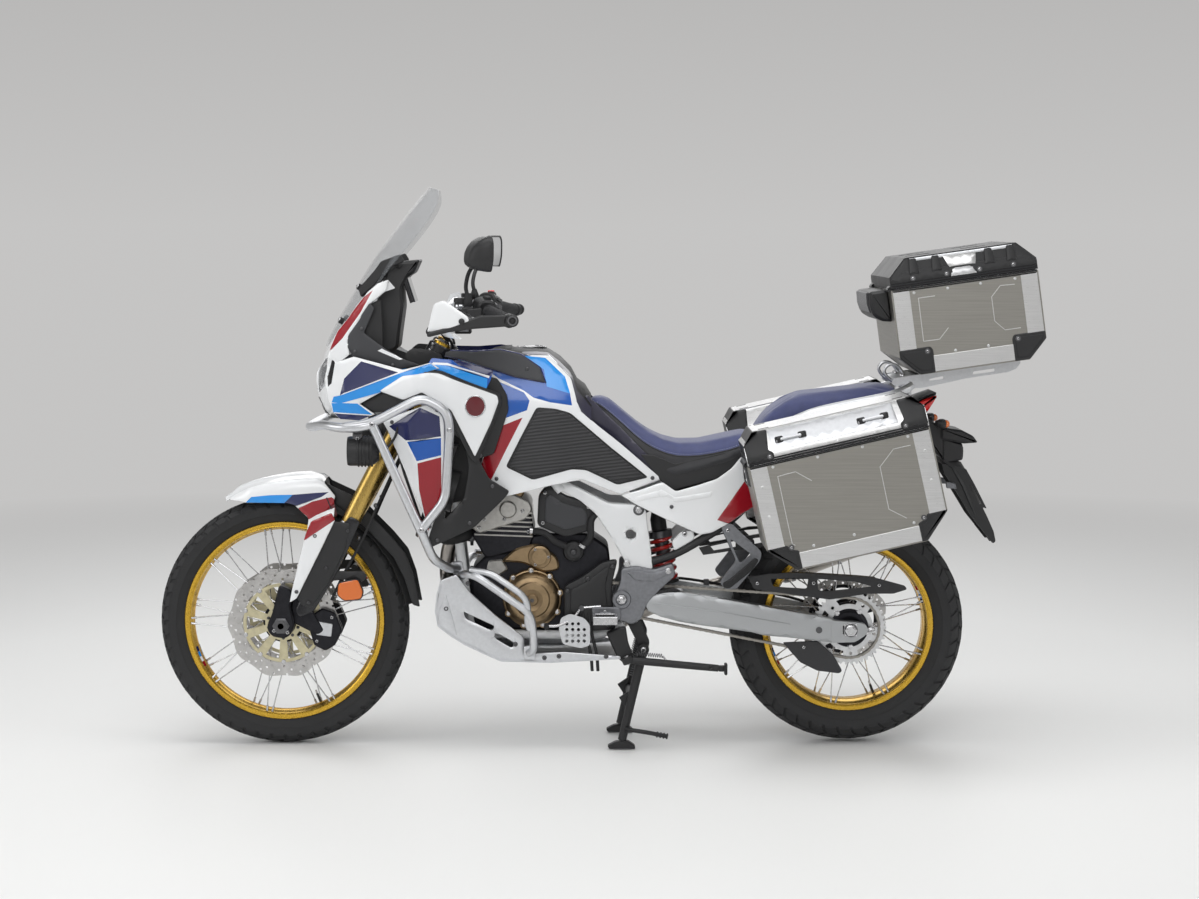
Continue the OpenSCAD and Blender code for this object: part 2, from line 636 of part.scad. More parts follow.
// Bars round the nose and fairing, with the fog lamps, and the lower bars round the engine.
module crash_bars() place() color([0.82, 0.82, 0.83]) {
    tube(drawn([[600, -276, 906], [642, -240, 916], [696, -120, 900], [712, 0, 893],
                [696, 120, 900], [642, 240, 916], [600, 276, 906]]), crash_bar_d);
    both_sides() {
        tube(drawn([[600, 276, 906], [520, 292, 922], [385, 294, 995], [325, 294, 960],
                    [312, 294, 912], [323, 294, 717], [390, 292, 632]]), crash_bar_d);
        tube(drawn([[520, 292, 922], [390, 292, 632], [361, 266, 549], [320, 190, 516],
                    [300, 99, 505]]), crash_bar_d);
        tube(drawn([[296, 99, 480], [270, 190, 500], [98, 215, 396], [90, 214, 345], [88, 196, 290],
                    [104, 178, 280]]), crash_bar_d - 3);
        rod([502 * stretch, 250, 844], [594 * stretch, 250, 844], 80);
        rod([560 * stretch, 262, 870], [560 * stretch, 284, 910], 16);
        translate(drawn([[600, 276, 906]])[0]) sphere(d = crash_bar_d * 1.04);
    }
}

module seat_front() place() color([0.15, 0.2, 0.45]) {
    slab([[-67, 976], [-98, 982], [-192, 903], [-255, 862], [-307, 849], [-370, 850], [-448, 867],
          [-516, 880], [-520, 870], [-484, 822], [-448, 800], [-430, 812], [-300, 812], [-180, 880]],
         -142, 142);
    both_sides() slab([[-90, 940], [-130, 915], [-200, 840], [-245, 795], [-262, 764], [-286, 753],
                       [-420, 790], [-440, 802], [-440, 830], [-300, 835], [-180, 900]], 131, 141);
}

module seat_rear() place() color([0.15, 0.2, 0.45]) slab(
    [[-561, 938], [-605, 975], [-750, 995], [-893, 1010], [-911, 1002], [-900, 960], [-687, 922],
     [-584, 890], [-524, 872], [-522, 884]], -125, 125);

module tail_covers() place() color([0.92, 0.92, 0.93]) both_sides() {
    slab([[-150, 712], [-262, 748], [-300, 722], [-418, 752], [-470, 798], [-500, 745], [-530, 690],
          [-445, 630], [-365, 602], [-215, 672]], 126, 150);
    slab([[-470, 795], [-520, 862], [-584, 885], [-700, 918], [-930, 962], [-960, 930], [-700, 868],
          [-530, 800], [-500, 745]], 110, 134);
}

// Grab rails, side case carriers and the plate below the top case.
module luggage_rack() place() color([0.78, 0.78, 0.8]) {
    both_sides() {
        tube(drawn([[-600, 140, 905], [-690, 158, 945], [-880, 154, 985], [-952, 122, 1012]]), 18);
        carrier_hoop();
        slab([[-541, 686], [-541, 698], [-559, 698], [-559, 686]], 107, 201);
        slab([[-541, 790], [-541, 802], [-559, 802], [-559, 790]], 107, 201);
        rod([-948 * stretch, 78, 927], [-948 * stretch, 78, 1022], 15);
    }
    slab([[-905, 1018], [-905, 1030], [-940, 1036], [-1250, 1080], [-1250, 1068], [-960, 1018]],
         -115, 115);
    case_pads(case_inner_left);
    mirror([0, 1, 0]) case_pads(case_inner_right);
}

// One side's flat-bar hoop that carries a side case.
module carrier_hoop()
    difference() {
        slab([[-537, 682], [-700, 691], [-905, 736], [-940, 800], [-905, 899], [-700, 862], [-537, 810]],
             199, 215);
        slab([[-553, 698], [-700, 707], [-895, 750], [-922, 800], [-893, 881], [-700, 846], [-553, 796]],
             190, 225);
    }

// Round pads from the carrier's hoop to a side case's inner face.
module case_pads(face_y) {
    for (p = [[-620, 694], [-860, 734], [-620, 829], [-860, 884]])
        rod([p[0] * stretch, 207, p[1]], [p[0] * stretch, face_y, p[1]], 9);
}

module rear_mudguard() place() color([0.1, 0.1, 0.1]) {
    slab([[-962, 925], [-1043, 900], [-1101, 880], [-1146, 850], [-1104, 823], [-1117, 771],
          [-1172, 665], [-1199, 571], [-1186, 572], [-1150, 660], [-1049, 790], [-962, 860]], -78, 78);
}

module tail_light() place() color([0.75, 0.05, 0.05])
    slab([[-966, 962], [-985, 970], [-1030, 982], [-1006, 932], [-966, 930]], -80, 80);

// A case's side outline: length l, depth d below the lid line, lower corners cut by c, inset by i.
function case_outline(l, d, c, i, top) =
    [[i, top], [l - i, top], [l - i, -d + i + c], [l - i - c, -d + i], [i + c, -d + i], [i, -d + i + c]];

// A lid's side outline above the lid line, upper corners cut by c, inset by i.
function lid_outline(l, h, c, i, low) =
    [[i, low], [l - i, low], [l - i, h - c - i], [l - i - c, h - i], [i + c, h - i], [i, h - c - i]];

// Puts a case's own side view, drawn rearwards from its front lid corner, in the machine.
module case_place(x, z, tilt) translate([x, 0, z]) rotate([0, tilt, 0]) mirror([1, 0, 0]) children();

module hollow_case(l, d, c, y0, y1) {
    w = case_wall;
    difference() {
        plate(case_outline(l, d, c, 0, 0), y0, y1);
        plate(case_outline(l, d, c, w, 1), y0 + w, y1 - w);
    }
}

module hollow_lid(l, h, c, y0, y1) {
    w = case_wall;
    difference() {
        plate(lid_outline(l, h, c, 0, lid_gap), y0, y1);
        plate(lid_outline(l, h, c, w, lid_gap - 1), y0 + w, y1 - w);
    }
}

module pannier_boxes() place() color([0.7, 0.69, 0.67]) {
    case_place(case_x, case_z, case_tilt) {
        hollow_case(case_length, case_depth, case_cut, case_inner_left, case_outer);
        hollow_case(case_length, case_depth, case_cut, -case_outer, -case_inner_right);
    }
}

// A lid's hinge barrel ahead of its front edge, with the strap that joins them.
module lid_hinge(y0, y1) {
    plate([[-11, 0], [-9, 6], [2, 14], [2, 2], [-3, 2]], y0, y1);
    across(-lid_hinge_out, 0, lid_hinge_r, y0, y1);
}

module pannier_lid_left() place() color([0.75, 0.75, 0.75])
    case_place(case_x, case_z, case_tilt) {
        hollow_lid(case_length, case_lid_h, 30, case_inner_left, case_outer);
        lid_hinge(case_inner_left + 40, case_outer - 40);
    }

module pannier_lid_right() place() color([0.75, 0.75, 0.75])
    case_place(case_x, case_z, case_tilt) {
        hollow_lid(case_length, case_lid_h, 30, -case_outer, -case_inner_right);
        lid_hinge(-case_outer + 40, -case_inner_right - 40);
    }

module top_box() place() color([0.7, 0.69, 0.67]) {
    case_place(top_x, top_z, top_tilt) {
        hollow_case(top_length, top_depth, top_cut, -top_width / 2, top_width / 2);
        plate([[-50, 6], [-56, -60], [4, -90], [4, -4]], -150, 150);
        plate([[top_length - 2, -top_lock_drop], [top_length + top_lock_l, -top_lock_drop], [top_length + top_lock_l - 6, -44],
               [top_length - 2, -50]], -30, 30);
    }
}

module top_box_lid() place() color([0.75, 0.75, 0.75])
    case_place(top_x, top_z, top_tilt) {
        hollow_lid(top_length, top_lid_h, 46, -top_width / 2, top_width / 2);
        for (s = [-1, 1]) lid_hinge(s * 184 - 22, s * 184 + 22);
    }

// Two arms, their cross member, the pivot bosses and the chain guards.
module swingarm() place() color([0.75, 0.75, 0.76]) {
    difference() {
        union() {
            both_sides() {
                slab([[-240, 436], [-325, 440], [-530, 405], [-735, 365], [-735, 298], [-540, 318],
                      [-310, 357], [-240, 386]], 100, 130);
                plate([[-700 * stretch, 371], [rear_axle_x - 42, rear_axle_z + 28],
                       [rear_axle_x - 42, rear_axle_z - 36], [-700 * stretch, 300]], 104, 130);
                slab([[-130, 440], [-300, 440], [-300, 362], [-130, 400]], 58, 92);
                slab([[-240, 436], [-300, 439], [-300, 360], [-240, 386]], 88, 104);
            }
            slab([[-285, 438], [-370, 430], [-370, 348], [-285, 362]], -104, 104);
        }
        across(-153 * stretch, 421, 12, -130, 130);
        across(rear_axle_x, rear_axle_z, axle_r + running_gap, -140, 140);
        both_sides() across(-700 * stretch, 334, 5, 118, 140);
    }
    slab([[-505, 482], [-645, 494], [-803, 486], [-948, 456], [-908, 442], [-803, 458], [-645, 462],
          [-540, 440], [-540, 404], [-525, 400]], 102, 108);
    slab([[-601, 305], [-700, 296], [-766, 220], [-700, 214], [-649, 239]], 102, 108);
}

module rear_axle() place() color([0.7, 0.7, 0.72]) difference() {
    union() {
        across(rear_axle_x, rear_axle_z, axle_r, -134, 134);
        both_sides() across(rear_axle_x, rear_axle_z, axle_r + 6, 130.5, 140);
        both_sides() across(rear_axle_x, rear_axle_z, axle_r + 3, 92, 103.5);
    }
    across(rear_axle_x, rear_axle_z, axle_bore_d / 2, -145, 145);
}

module rear_shock() place() color([0.75, 0.2, 0.15]) {
    rod([-285 * stretch, 0, 446], [-262 * stretch, 0, 600], 70);
    rod([-262 * stretch, 0, 598], [-255 * stretch, 0, 650], 44);
}

// A fixed loop round both sprockets.
module chain() place() color([0.45, 0.45, 0.46]) difference() {
    hull() {
        across(rear_axle_x, rear_axle_z, chain_r + chain_h / 2, chain_y - chain_w / 2, chain_y + chain_w / 2);
        across(drive_x, drive_z, drive_r + chain_h / 2, chain_y - chain_w / 2, chain_y + chain_w / 2);
    }
    hull() {
        across(rear_axle_x, rear_axle_z, chain_r - chain_h / 2, chain_y - chain_w, chain_y + chain_w);
        across(drive_x, drive_z, drive_r - chain_h / 2, chain_y - chain_w, chain_y + chain_w);
    }
}

// Rider's pegs and their brackets, and the passenger's pegs folded on their hangers.
module footpegs() place() color([0.7, 0.7, 0.71]) both_sides() {
    slab([[-74, 386], [-140, 386], [-140, 366], [-74, 366]], 140, 224);
    slab([[-90, 384], [-200, 400], [-205, 372], [-90, 368]], 125, 142);
    slab([[-420, 470], [-440, 452], [-535, 528], [-520, 545]], 150, 170);
    slab([[-450, 640], [-480, 650], [-470, 500], [-440, 500]], 151, 158);
}

// A point s along a centre stand leg from its pivot, at y across the machine.
function along(s, y) = [stand_x + s * sin(stand_lean), y, stand_z - s * cos(stand_lean)];

// The stand's feet are on the floor, ahead of its pivot.
module centre_stand() place() color([0.15, 0.15, 0.15]) {
    l = (stand_z - stand_foot_t) / cos(stand_lean);
    foot_x = stand_x + (stand_z - stand_foot_t) * tan(stand_lean);
    both_sides() {
        across(stand_x, stand_z, 16, stand_leg_y - 12, stand_leg_y + 12);
        across(stand_x, stand_z, 6, stand_leg_y - 24, stand_leg_y - 11);
        rod(along(0, stand_leg_y), along(l - 2, stand_leg_y), stand_leg_d);
        plate([[foot_x - 34, 0], [foot_x + 34, 0], [foot_x + 40, 10], [foot_x + 14, stand_foot_t + 14],
               [foot_x - 20, stand_foot_t + 14], [foot_x - 40, 10]], stand_leg_y - 14, stand_leg_y + 14);
    }
    rod(along(150, -stand_leg_y), along(150, stand_leg_y), 22);
    tang = along(225, stand_leg_y);
    tube([tang, tang + [-12, 24, -3], tang + [-118, 24, -22]], 12);
}

module side_stand() place() color([0.12, 0.12, 0.12]) {
    p = side_stand_pivot;
    foot = p + side_stand_dir * side_stand_l;
    translate(p) side_stand_turn() {
        translate([0, 0, -9]) cylinder(r = 17, h = 18);
        translate([0, 0, -9]) cylinder(r = 6, h = 40);
    }
    rod(p, foot, 22);
    hull() {
        translate(foot + [-14, -8, -16]) cube([12, 30, 34]);
        translate(foot + [2, -6, -8]) cube([10, 16, 18]);
    }
}

frame();
subframe();
engine();
exhaust();
skid_plate();
radiators();
fuel_tank();
side_fairings();
nose_cowl();
headlights();
windscreen();
crash_bars();
seat_front();
seat_rear();
tail_covers();
luggage_rack();
rear_mudguard();
tail_light();
pannier_boxes();
top_box();
swingarm();
rear_axle();
rear_shock();
chain();
footpegs();
triple_clamps();
fork_legs();
front_axle();
handlebar();
hand_guards();
mirrors();
front_mudguard();
front_tyre();
front_rim();
front_hub();
front_discs();
rear_tyre();
rear_rim();
rear_hub();
rear_sprocket();
centre_stand();
side_stand();
pannier_lid_left();
pannier_lid_right();
top_box_lid();
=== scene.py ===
"""Looks of the adventure motorcycle: every surface, in metres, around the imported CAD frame.

Side views are drawn as (x, z) points in millimetres, x counted from halfway between the axles.
"""
import json
import math
import random

import bmesh
import bpy
from mathutils import Matrix, Vector
from mathutils.bvhtree import BVHTree
from mathutils.geometry import delaunay_2d_cdt


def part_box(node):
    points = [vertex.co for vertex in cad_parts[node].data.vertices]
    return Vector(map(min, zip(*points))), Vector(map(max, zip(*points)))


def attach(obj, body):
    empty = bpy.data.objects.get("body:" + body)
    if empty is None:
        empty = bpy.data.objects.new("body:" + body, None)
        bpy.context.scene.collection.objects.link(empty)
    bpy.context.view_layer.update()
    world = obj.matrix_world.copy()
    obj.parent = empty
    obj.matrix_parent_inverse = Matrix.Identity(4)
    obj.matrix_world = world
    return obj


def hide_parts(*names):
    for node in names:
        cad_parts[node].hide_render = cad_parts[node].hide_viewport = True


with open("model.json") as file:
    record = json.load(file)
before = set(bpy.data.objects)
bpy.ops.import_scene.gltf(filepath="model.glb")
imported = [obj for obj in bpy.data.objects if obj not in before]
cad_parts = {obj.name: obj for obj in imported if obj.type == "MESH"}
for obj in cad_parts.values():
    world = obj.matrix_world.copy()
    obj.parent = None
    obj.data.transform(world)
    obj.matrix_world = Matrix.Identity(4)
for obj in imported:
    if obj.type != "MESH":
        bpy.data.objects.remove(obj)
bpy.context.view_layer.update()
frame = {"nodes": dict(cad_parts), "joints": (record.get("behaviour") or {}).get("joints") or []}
random.seed(7)

MM = 0.001
joints = {j["name"]: j for j in frame["joints"]}
FRONT_AXLE = Vector(joints["front_wheel_spin"]["pos_m"])
REAR_AXLE = Vector(joints["rear_wheel_spin"]["pos_m"])
MID_X = (FRONT_AXLE.x + REAR_AXLE.x) / 2
STEER_AT = Vector(joints["steering_turn"]["pos_m"])
STEER_UP = Vector(joints["steering_turn"]["axis"])


def at(x, y, z):
    """A point given in millimetres from halfway between the axles."""
    return Vector((MID_X + x * MM, y * MM, z * MM))


def steer_x(z):
    """x in millimetres of the steering axis at height z."""
    return ((STEER_AT.x - MID_X) / MM) + (z - STEER_AT.z / MM) * STEER_UP.x / STEER_UP.z


# ---------------------------------------------------------------- materials

def new_material(name, color, rough=0.5, metal=0.0, **sockets):
    """A principled material. sockets are further inputs by name, with _ for a space."""
    m = bpy.data.materials.new(name)
    m.use_nodes = True
    shader = m.node_tree.nodes["Principled BSDF"]
    shader.inputs["Base Color"].default_value = (*color, 1)
    shader.inputs["Roughness"].default_value = rough
    shader.inputs["Metallic"].default_value = metal
    for key, value in sockets.items():
        shader.inputs[key.replace("_", " ")].default_value = value
    m.diffuse_color = (*color, 1)
    return m


def add_texture(m, kind, scale, stretch=(1, 1, 1), detail=4.0):
    """A noise, voronoi or wave texture on object coordinates, and its factor socket."""
    nodes, links = m.node_tree.nodes, m.node_tree.links
    coord = nodes.new("ShaderNodeTexCoord")
    mapping = nodes.new("ShaderNodeMapping")
    mapping.inputs["Scale"].default_value = stretch
    links.new(coord.outputs["Object"], mapping.inputs["Vector"])
    tex = nodes.new({"noise": "ShaderNodeTexNoise", "voronoi": "ShaderNodeTexVoronoi",
                     "wave": "ShaderNodeTexWave"}[kind])
    tex.inputs["Scale"].default_value = scale
    if "Detail" in tex.inputs:
        tex.inputs["Detail"].default_value = detail
    if kind == "wave":
        tex.bands_direction = "DIAGONAL"
        tex.inputs["Distortion"].default_value = 1.2
    links.new(mapping.outputs["Vector"], tex.inputs["Vector"])
    return tex.outputs["Distance"] if kind == "voronoi" else tex.outputs[0]


def add_ramp(m, fac, low, high, a=0.35, b=0.65):
    """Maps a factor to a colour between low and high."""
    ramp = m.node_tree.nodes.new("ShaderNodeValToRGB")
    ramp.color_ramp.elements[0].position = a
    ramp.color_ramp.elements[1].position = b
    ramp.color_ramp.elements[0].color = (*low, 1)
    ramp.color_ramp.elements[1].color = (*high, 1)
    m.node_tree.links.new(fac, ramp.inputs["Fac"])
    return ramp.outputs["Color"]


def vary_color(m, fac, amount=0.2, a=0.3, b=0.7):
    """Varies the base colour by a factor texture."""
    shader = m.node_tree.nodes["Principled BSDF"]
    c = shader.inputs["Base Color"].default_value[:3]
    low = tuple(v * (1 - amount) for v in c)
    high = tuple(min(1, v * (1 + amount)) for v in c)
    m.node_tree.links.new(add_ramp(m, fac, low, high, a, b), shader.inputs["Base Color"])


def vary_rough(m, fac, low, high):
    """Varies the roughness by a factor texture."""
    out = m.node_tree.nodes.new("ShaderNodeMapRange")
    out.inputs["To Min"].default_value = low
    out.inputs["To Max"].default_value = high
    m.node_tree.links.new(fac, out.inputs["Value"])
    m.node_tree.links.new(out.outputs["Result"], m.node_tree.nodes["Principled BSDF"].inputs["Roughness"])


def add_bump(m, fac, strength=0.3, distance=0.001):
    """Bumps the surface by a factor texture. distance is in metres."""
    bump = m.node_tree.nodes.new("ShaderNodeBump")
    bump.inputs["Strength"].default_value = strength
    bump.inputs["Distance"].default_value = distance
    m.node_tree.links.new(fac, bump.inputs["Height"])
    m.node_tree.links.new(bump.outputs["Normal"], m.node_tree.nodes["Principled BSDF"].inputs["Normal"])


def paint(name, color, rough=0.22):
    """Clear-coated bodywork paint with a faint orange peel."""
    m = new_material(name, color, rough, Coat_Weight=0.6, Coat_Roughness=0.06)
    peel = add_texture(m, "noise", 260, detail=2)
    add_bump(m, peel, 0.04, 0.0004)
    vary_color(m, add_texture(m, "noise", 6), 0.03)
    return m


def plastic(name, color, rough=0.5, grain=900, depth=0.25):
    """Moulded plastic with a fine grain."""
    m = new_material(name, color, rough)
    g = add_texture(m, "noise", grain, detail=3)
    add_bump(m, g, depth, 0.0003)
    vary_rough(m, add_texture(m, "noise", 14), rough - 0.08, rough + 0.1)
    vary_color(m, g, 0.12)
    return m


def metal(name, color, rough=0.35, grain=300, depth=0.1, stretch=(1, 1, 1), shade=0.1):
    """Bare or anodised metal. stretch gives a brushed direction."""
    m = new_material(name, color, rough, 1.0)
    g = add_texture(m, "noise", grain, stretch, 4)
    add_bump(m, g, depth, 0.0002)
    vary_rough(m, g, max(0.05, rough - 0.1), rough + 0.12)
    vary_color(m, add_texture(m, "noise", grain / 5, stretch, 3), shade)
    return m


def glass(name, color, rough=0.03, alpha=0.3):
    """Thin clear plastic, see-through by its alpha."""
    m = new_material(name, color, rough, IOR=1.49, Alpha=alpha, Coat_Weight=0.4)
    vary_rough(m, add_texture(m, "noise", 30), rough, rough + 0.05)
    return m


WHITE = paint("white_paint", (0.80, 0.81, 0.82), 0.2)
RED = paint("red_paint", (0.30, 0.006, 0.014))
DEEP_RED = paint("deep_red_paint", (0.11, 0.006, 0.011), 0.3)
BLUE = paint("blue_paint", (0.003, 0.085, 0.40))
SKY = paint("sky_blue_paint", (0.015, 0.27, 0.74))
NAVY = paint("navy_paint", (0.014, 0.018, 0.085), 0.25)
FRAME_WHITE = paint("frame_white", (0.74, 0.75, 0.76), 0.32)
BLACK = plastic("black_plastic", (0.011, 0.011, 0.012), 0.48)
GLOSSY = plastic("gloss_black_plastic", (0.010, 0.010, 0.012), 0.2, 300, 0.05)
GREY = plastic("dark_grey_plastic", (0.035, 0.036, 0.040), 0.5)
RUBBER = plastic("rubber", (0.014, 0.014, 0.015), 0.7, 500, 0.35)
TYRE = plastic("tyre_rubber", (0.018, 0.018, 0.019), 0.75, 350, 0.4)
STEEL = metal("steel", (0.55, 0.55, 0.56), 0.25)
DARK_STEEL = metal("dark_steel", (0.12, 0.12, 0.125), 0.4)
SILVER = metal("silver_paint", (0.62, 0.63, 0.65), 0.34, 600, 0.12, shade=0.04)
CAST = metal("cast_grey", (0.22, 0.225, 0.24), 0.5, 500, 0.5)
ENGINE_BLACK = metal("engine_black", (0.030, 0.030, 0.034), 0.45, 500, 0.5)
BRONZE = metal("bronze_cover", (0.30, 0.215, 0.125), 0.38, 400, 0.25)
ENGINE_SILVER = metal("engine_silver", (0.42, 0.41, 0.39), 0.42, 400, 0.4)
GOLD = metal("gold_anodised", (0.62, 0.38, 0.05), 0.26, 350, 0.08, shade=0.06)
FORK_GOLD = metal("fork_gold", (0.50, 0.34, 0.10), 0.27, 250, 0.1, (1, 1, 0.15))
DISC = metal("disc_steel", (0.50, 0.49, 0.48), 0.3, 250, 0.15)
CARRIER = metal("carrier_champagne", (0.58, 0.53, 0.36), 0.35, 300, 0.1)
BRUSHED = metal("brushed_aluminium", (0.31, 0.30, 0.275), 0.4, 45, 0.25, (0.6, 1, 34), 0.07)
EDGE = metal("edge_aluminium", (0.68, 0.68, 0.68), 0.3, 90, 0.1, (0.6, 1, 20), 0.05)
ALUMINIUM = metal("satin_aluminium", (0.62, 0.625, 0.635), 0.36, 240, 0.15)
CHAIN = metal("chain_steel", (0.30, 0.285, 0.26), 0.35, 200, 0.2)
EXHAUST = metal("exhaust_steel", (0.42, 0.39, 0.36), 0.32, 60, 0.15, (0.4, 1, 1), 0.2)
CLEAR = glass("clear_screen", (0.36, 0.38, 0.40), 0.03, 0.16)
LENS = glass("lamp_lens", (0.30, 0.31, 0.33), 0.04, 0.30)
MIRROR = metal("mirror_glass", (0.8, 0.81, 0.82), 0.04, 20, 0.0, shade=0.01)
REFLECTOR = new_material("lamp_reflector", (0.42, 0.43, 0.45), 0.16, 1.0)
RED_LENS = new_material("red_lens", (0.5, 0.012, 0.012), 0.12, Coat_Weight=0.5)
ORANGE = new_material("orange_reflector", (0.55, 0.12, 0.012), 0.15, Coat_Weight=0.5)
vary_color(RED_LENS, add_texture(RED_LENS, "voronoi", 300), 0.25)
vary_color(ORANGE, add_texture(ORANGE, "voronoi", 400), 0.2)
vary_rough(REFLECTOR, add_texture(REFLECTOR, "noise", 90), 0.08, 0.2)
DAYLIGHT = new_material("daylight_strip", (0.92, 0.94, 0.97), 0.25)
vary_rough(DAYLIGHT, add_texture(DAYLIGHT, "noise", 80), 0.15, 0.35)


def ribbed(name, color, rough, ribs, depth, stretch):
    """Rubber moulded in fine, slightly wavering ribs, with painted shade in the grooves and a painted
    highlight on the crests.
    """
    m = new_material(name, color, rough)
    wave = add_texture(m, "wave", ribs, stretch, 0)
    add_bump(m, wave, 0.9, depth)
    # painted shade and highlight: the colour follows the ribs' height, darker in the grooves and lighter on
    # the crests
    vary_color(m, wave, 0.35, 0.2, 0.8)
    return m


KNEE_PAD = ribbed("knee_pad_rubber", (0.022, 0.022, 0.024), 0.5, 68, 0.0016, (0.1, 0, 1))


def seat_cloth(name, color, rough=0.62):
    """Grained seat vinyl with a soft sheen."""
    m = new_material(name, color, rough, Sheen_Weight=0.25)
    grain = add_texture(m, "voronoi", 700)
    add_bump(m, grain, 0.35, 0.0004)
    vary_color(m, add_texture(m, "noise", 40), 0.1)
    vary_rough(m, add_texture(m, "noise", 25), rough - 0.08, rough + 0.08)
    return m


SEAT_BLUE = seat_cloth("seat_blue", (0.040, 0.050, 0.145))
SEAT_BLACK = seat_cloth("seat_black", (0.018, 0.018, 0.021), 0.58)
THREAD = new_material("seat_thread", (0.30, 0.32, 0.42), 0.7)
vary_color(THREAD, add_texture(THREAD, "noise", 800), 0.25)


# ---------------------------------------------------------------- geometry

def area(points):
    """Signed area of a polygon."""
    return sum(a[0] * b[1] - b[0] * a[1] for a, b in zip(points, points[1:] + points[:1])) / 2


def rect(x0, x1, z0, z1):
    """A rectangle in the side view, or in a lathe's profile."""
    return [(x0, z0), (x1, z0), (x1, z1), (x0, z1)]


def inset(points, d):
    """The polygon with each edge moved inwards by d."""
    if area(points) < 0:
        points = points[::-1]
    out = []
    n = len(points)
    for i, p in enumerate(points):
        a, b = Vector(points[i - 1]), Vector(points[(i + 1) % n])
        p = Vector(p)
        u, v = (p - a).normalized(), (b - p).normalized()
        nu, nv = Vector((-u.y, u.x)), Vector((-v.y, v.x))
        m = nu + nv
        m = m / max(m.length_squared / 2, 0.35)
        out.append((p.x + m.x * d, p.y + m.y * d))
    return out


def rounded(points, r, steps=3):
    """The polygon with its corners rounded to about radius r."""
    out = []
    n = len(points)
    for i, p in enumerate(points):
        a, p, b = Vector(points[i - 1]), Vector(p), Vector(points[(i + 1) % n])
        da = min(r, (a - p).length * 0.45)
        db = min(r, (b - p).length * 0.45)
        s, e = p + (a - p).normalized() * da, p + (b - p).normalized() * db
        for k in range(steps + 1):
            t = k / steps
            q = s * (1 - t) ** 2 + p * 2 * t * (1 - t) + e * t ** 2
            out.append((q.x, q.y))
    return out


def smooth_path(points, steps=6, closed=False):
    """Catmull-Rom curve through 3-D points."""
    pts = [Vector(p) for p in points]
    if len(pts) < 3:
        return pts
    out = []
    n = len(pts)
    spans = n if closed else n - 1
    for i in range(spans):
        p1, p2 = pts[i], pts[(i + 1) % n]
        p0 = pts[i - 1] if closed or i > 0 else p1 * 2 - p2
        p3 = pts[(i + 2) % n] if closed or i + 2 < n else p2 * 2 - p1
        for k in range(steps):
            t = k / steps
            out.append(0.5 * ((2 * p1) + (p2 - p0) * t + (2 * p0 - 5 * p1 + 4 * p2 - p3) * t * t
                              + (3 * p1 - p0 - 3 * p2 + p3) * t ** 3))
    if not closed:
        out.append(pts[-1])
    return out


def bend_path(points, r, steps=5):
    """Straight runs through 3-D points, with each bend rounded to about radius r."""
    pts = [Vector(p) for p in points]
    out = [pts[0]]
    for a, p, b in zip(pts, pts[1:], pts[2:]):
        da, db = min(r, (a - p).length * 0.48), min(r, (b - p).length * 0.48)
        s, e = p + (a - p).normalized() * da, p + (b - p).normalized() * db
        for k in range(steps + 1):
            t = k / steps
            out.append(s * (1 - t) ** 2 + p * 2 * t * (1 - t) + e * t ** 2)
    out.append(pts[-1])
    return out


def arc(cx, cz, r, a0, a1, n=12):
    """Points along an arc in the side view, angles in degrees."""
    return [(cx + r * math.cos(math.radians(a0 + (a1 - a0) * i / n)),
             cz + r * math.sin(math.radians(a0 + (a1 - a0) * i / n))) for i in range(n + 1)]


def edge_distance(p, outline):
    """Distance of a point from a polygon's outline."""
    best = 1e9
    for a, b in zip(outline, outline[1:] + outline[:1]):
        dx, dz = b[0] - a[0], b[1] - a[1]
        t = ((p[0] - a[0]) * dx + (p[1] - a[1]) * dz) / max(dx * dx + dz * dz, 1e-9)
        t = min(1, max(0, t))
        best = min(best, math.hypot(p[0] - a[0] - t * dx, p[1] - a[1] - t * dz))
    return best


def inside(p, outline):
    """Whether a point lies inside a polygon."""
    hit = False
    for a, b in zip(outline, outline[1:] + outline[:1]):
        if (a[1] > p[1]) != (b[1] > p[1]):
            if p[0] < (b[0] - a[0]) * (p[1] - a[1]) / (b[1] - a[1]) + a[0]:
                hit = not hit
    return hit


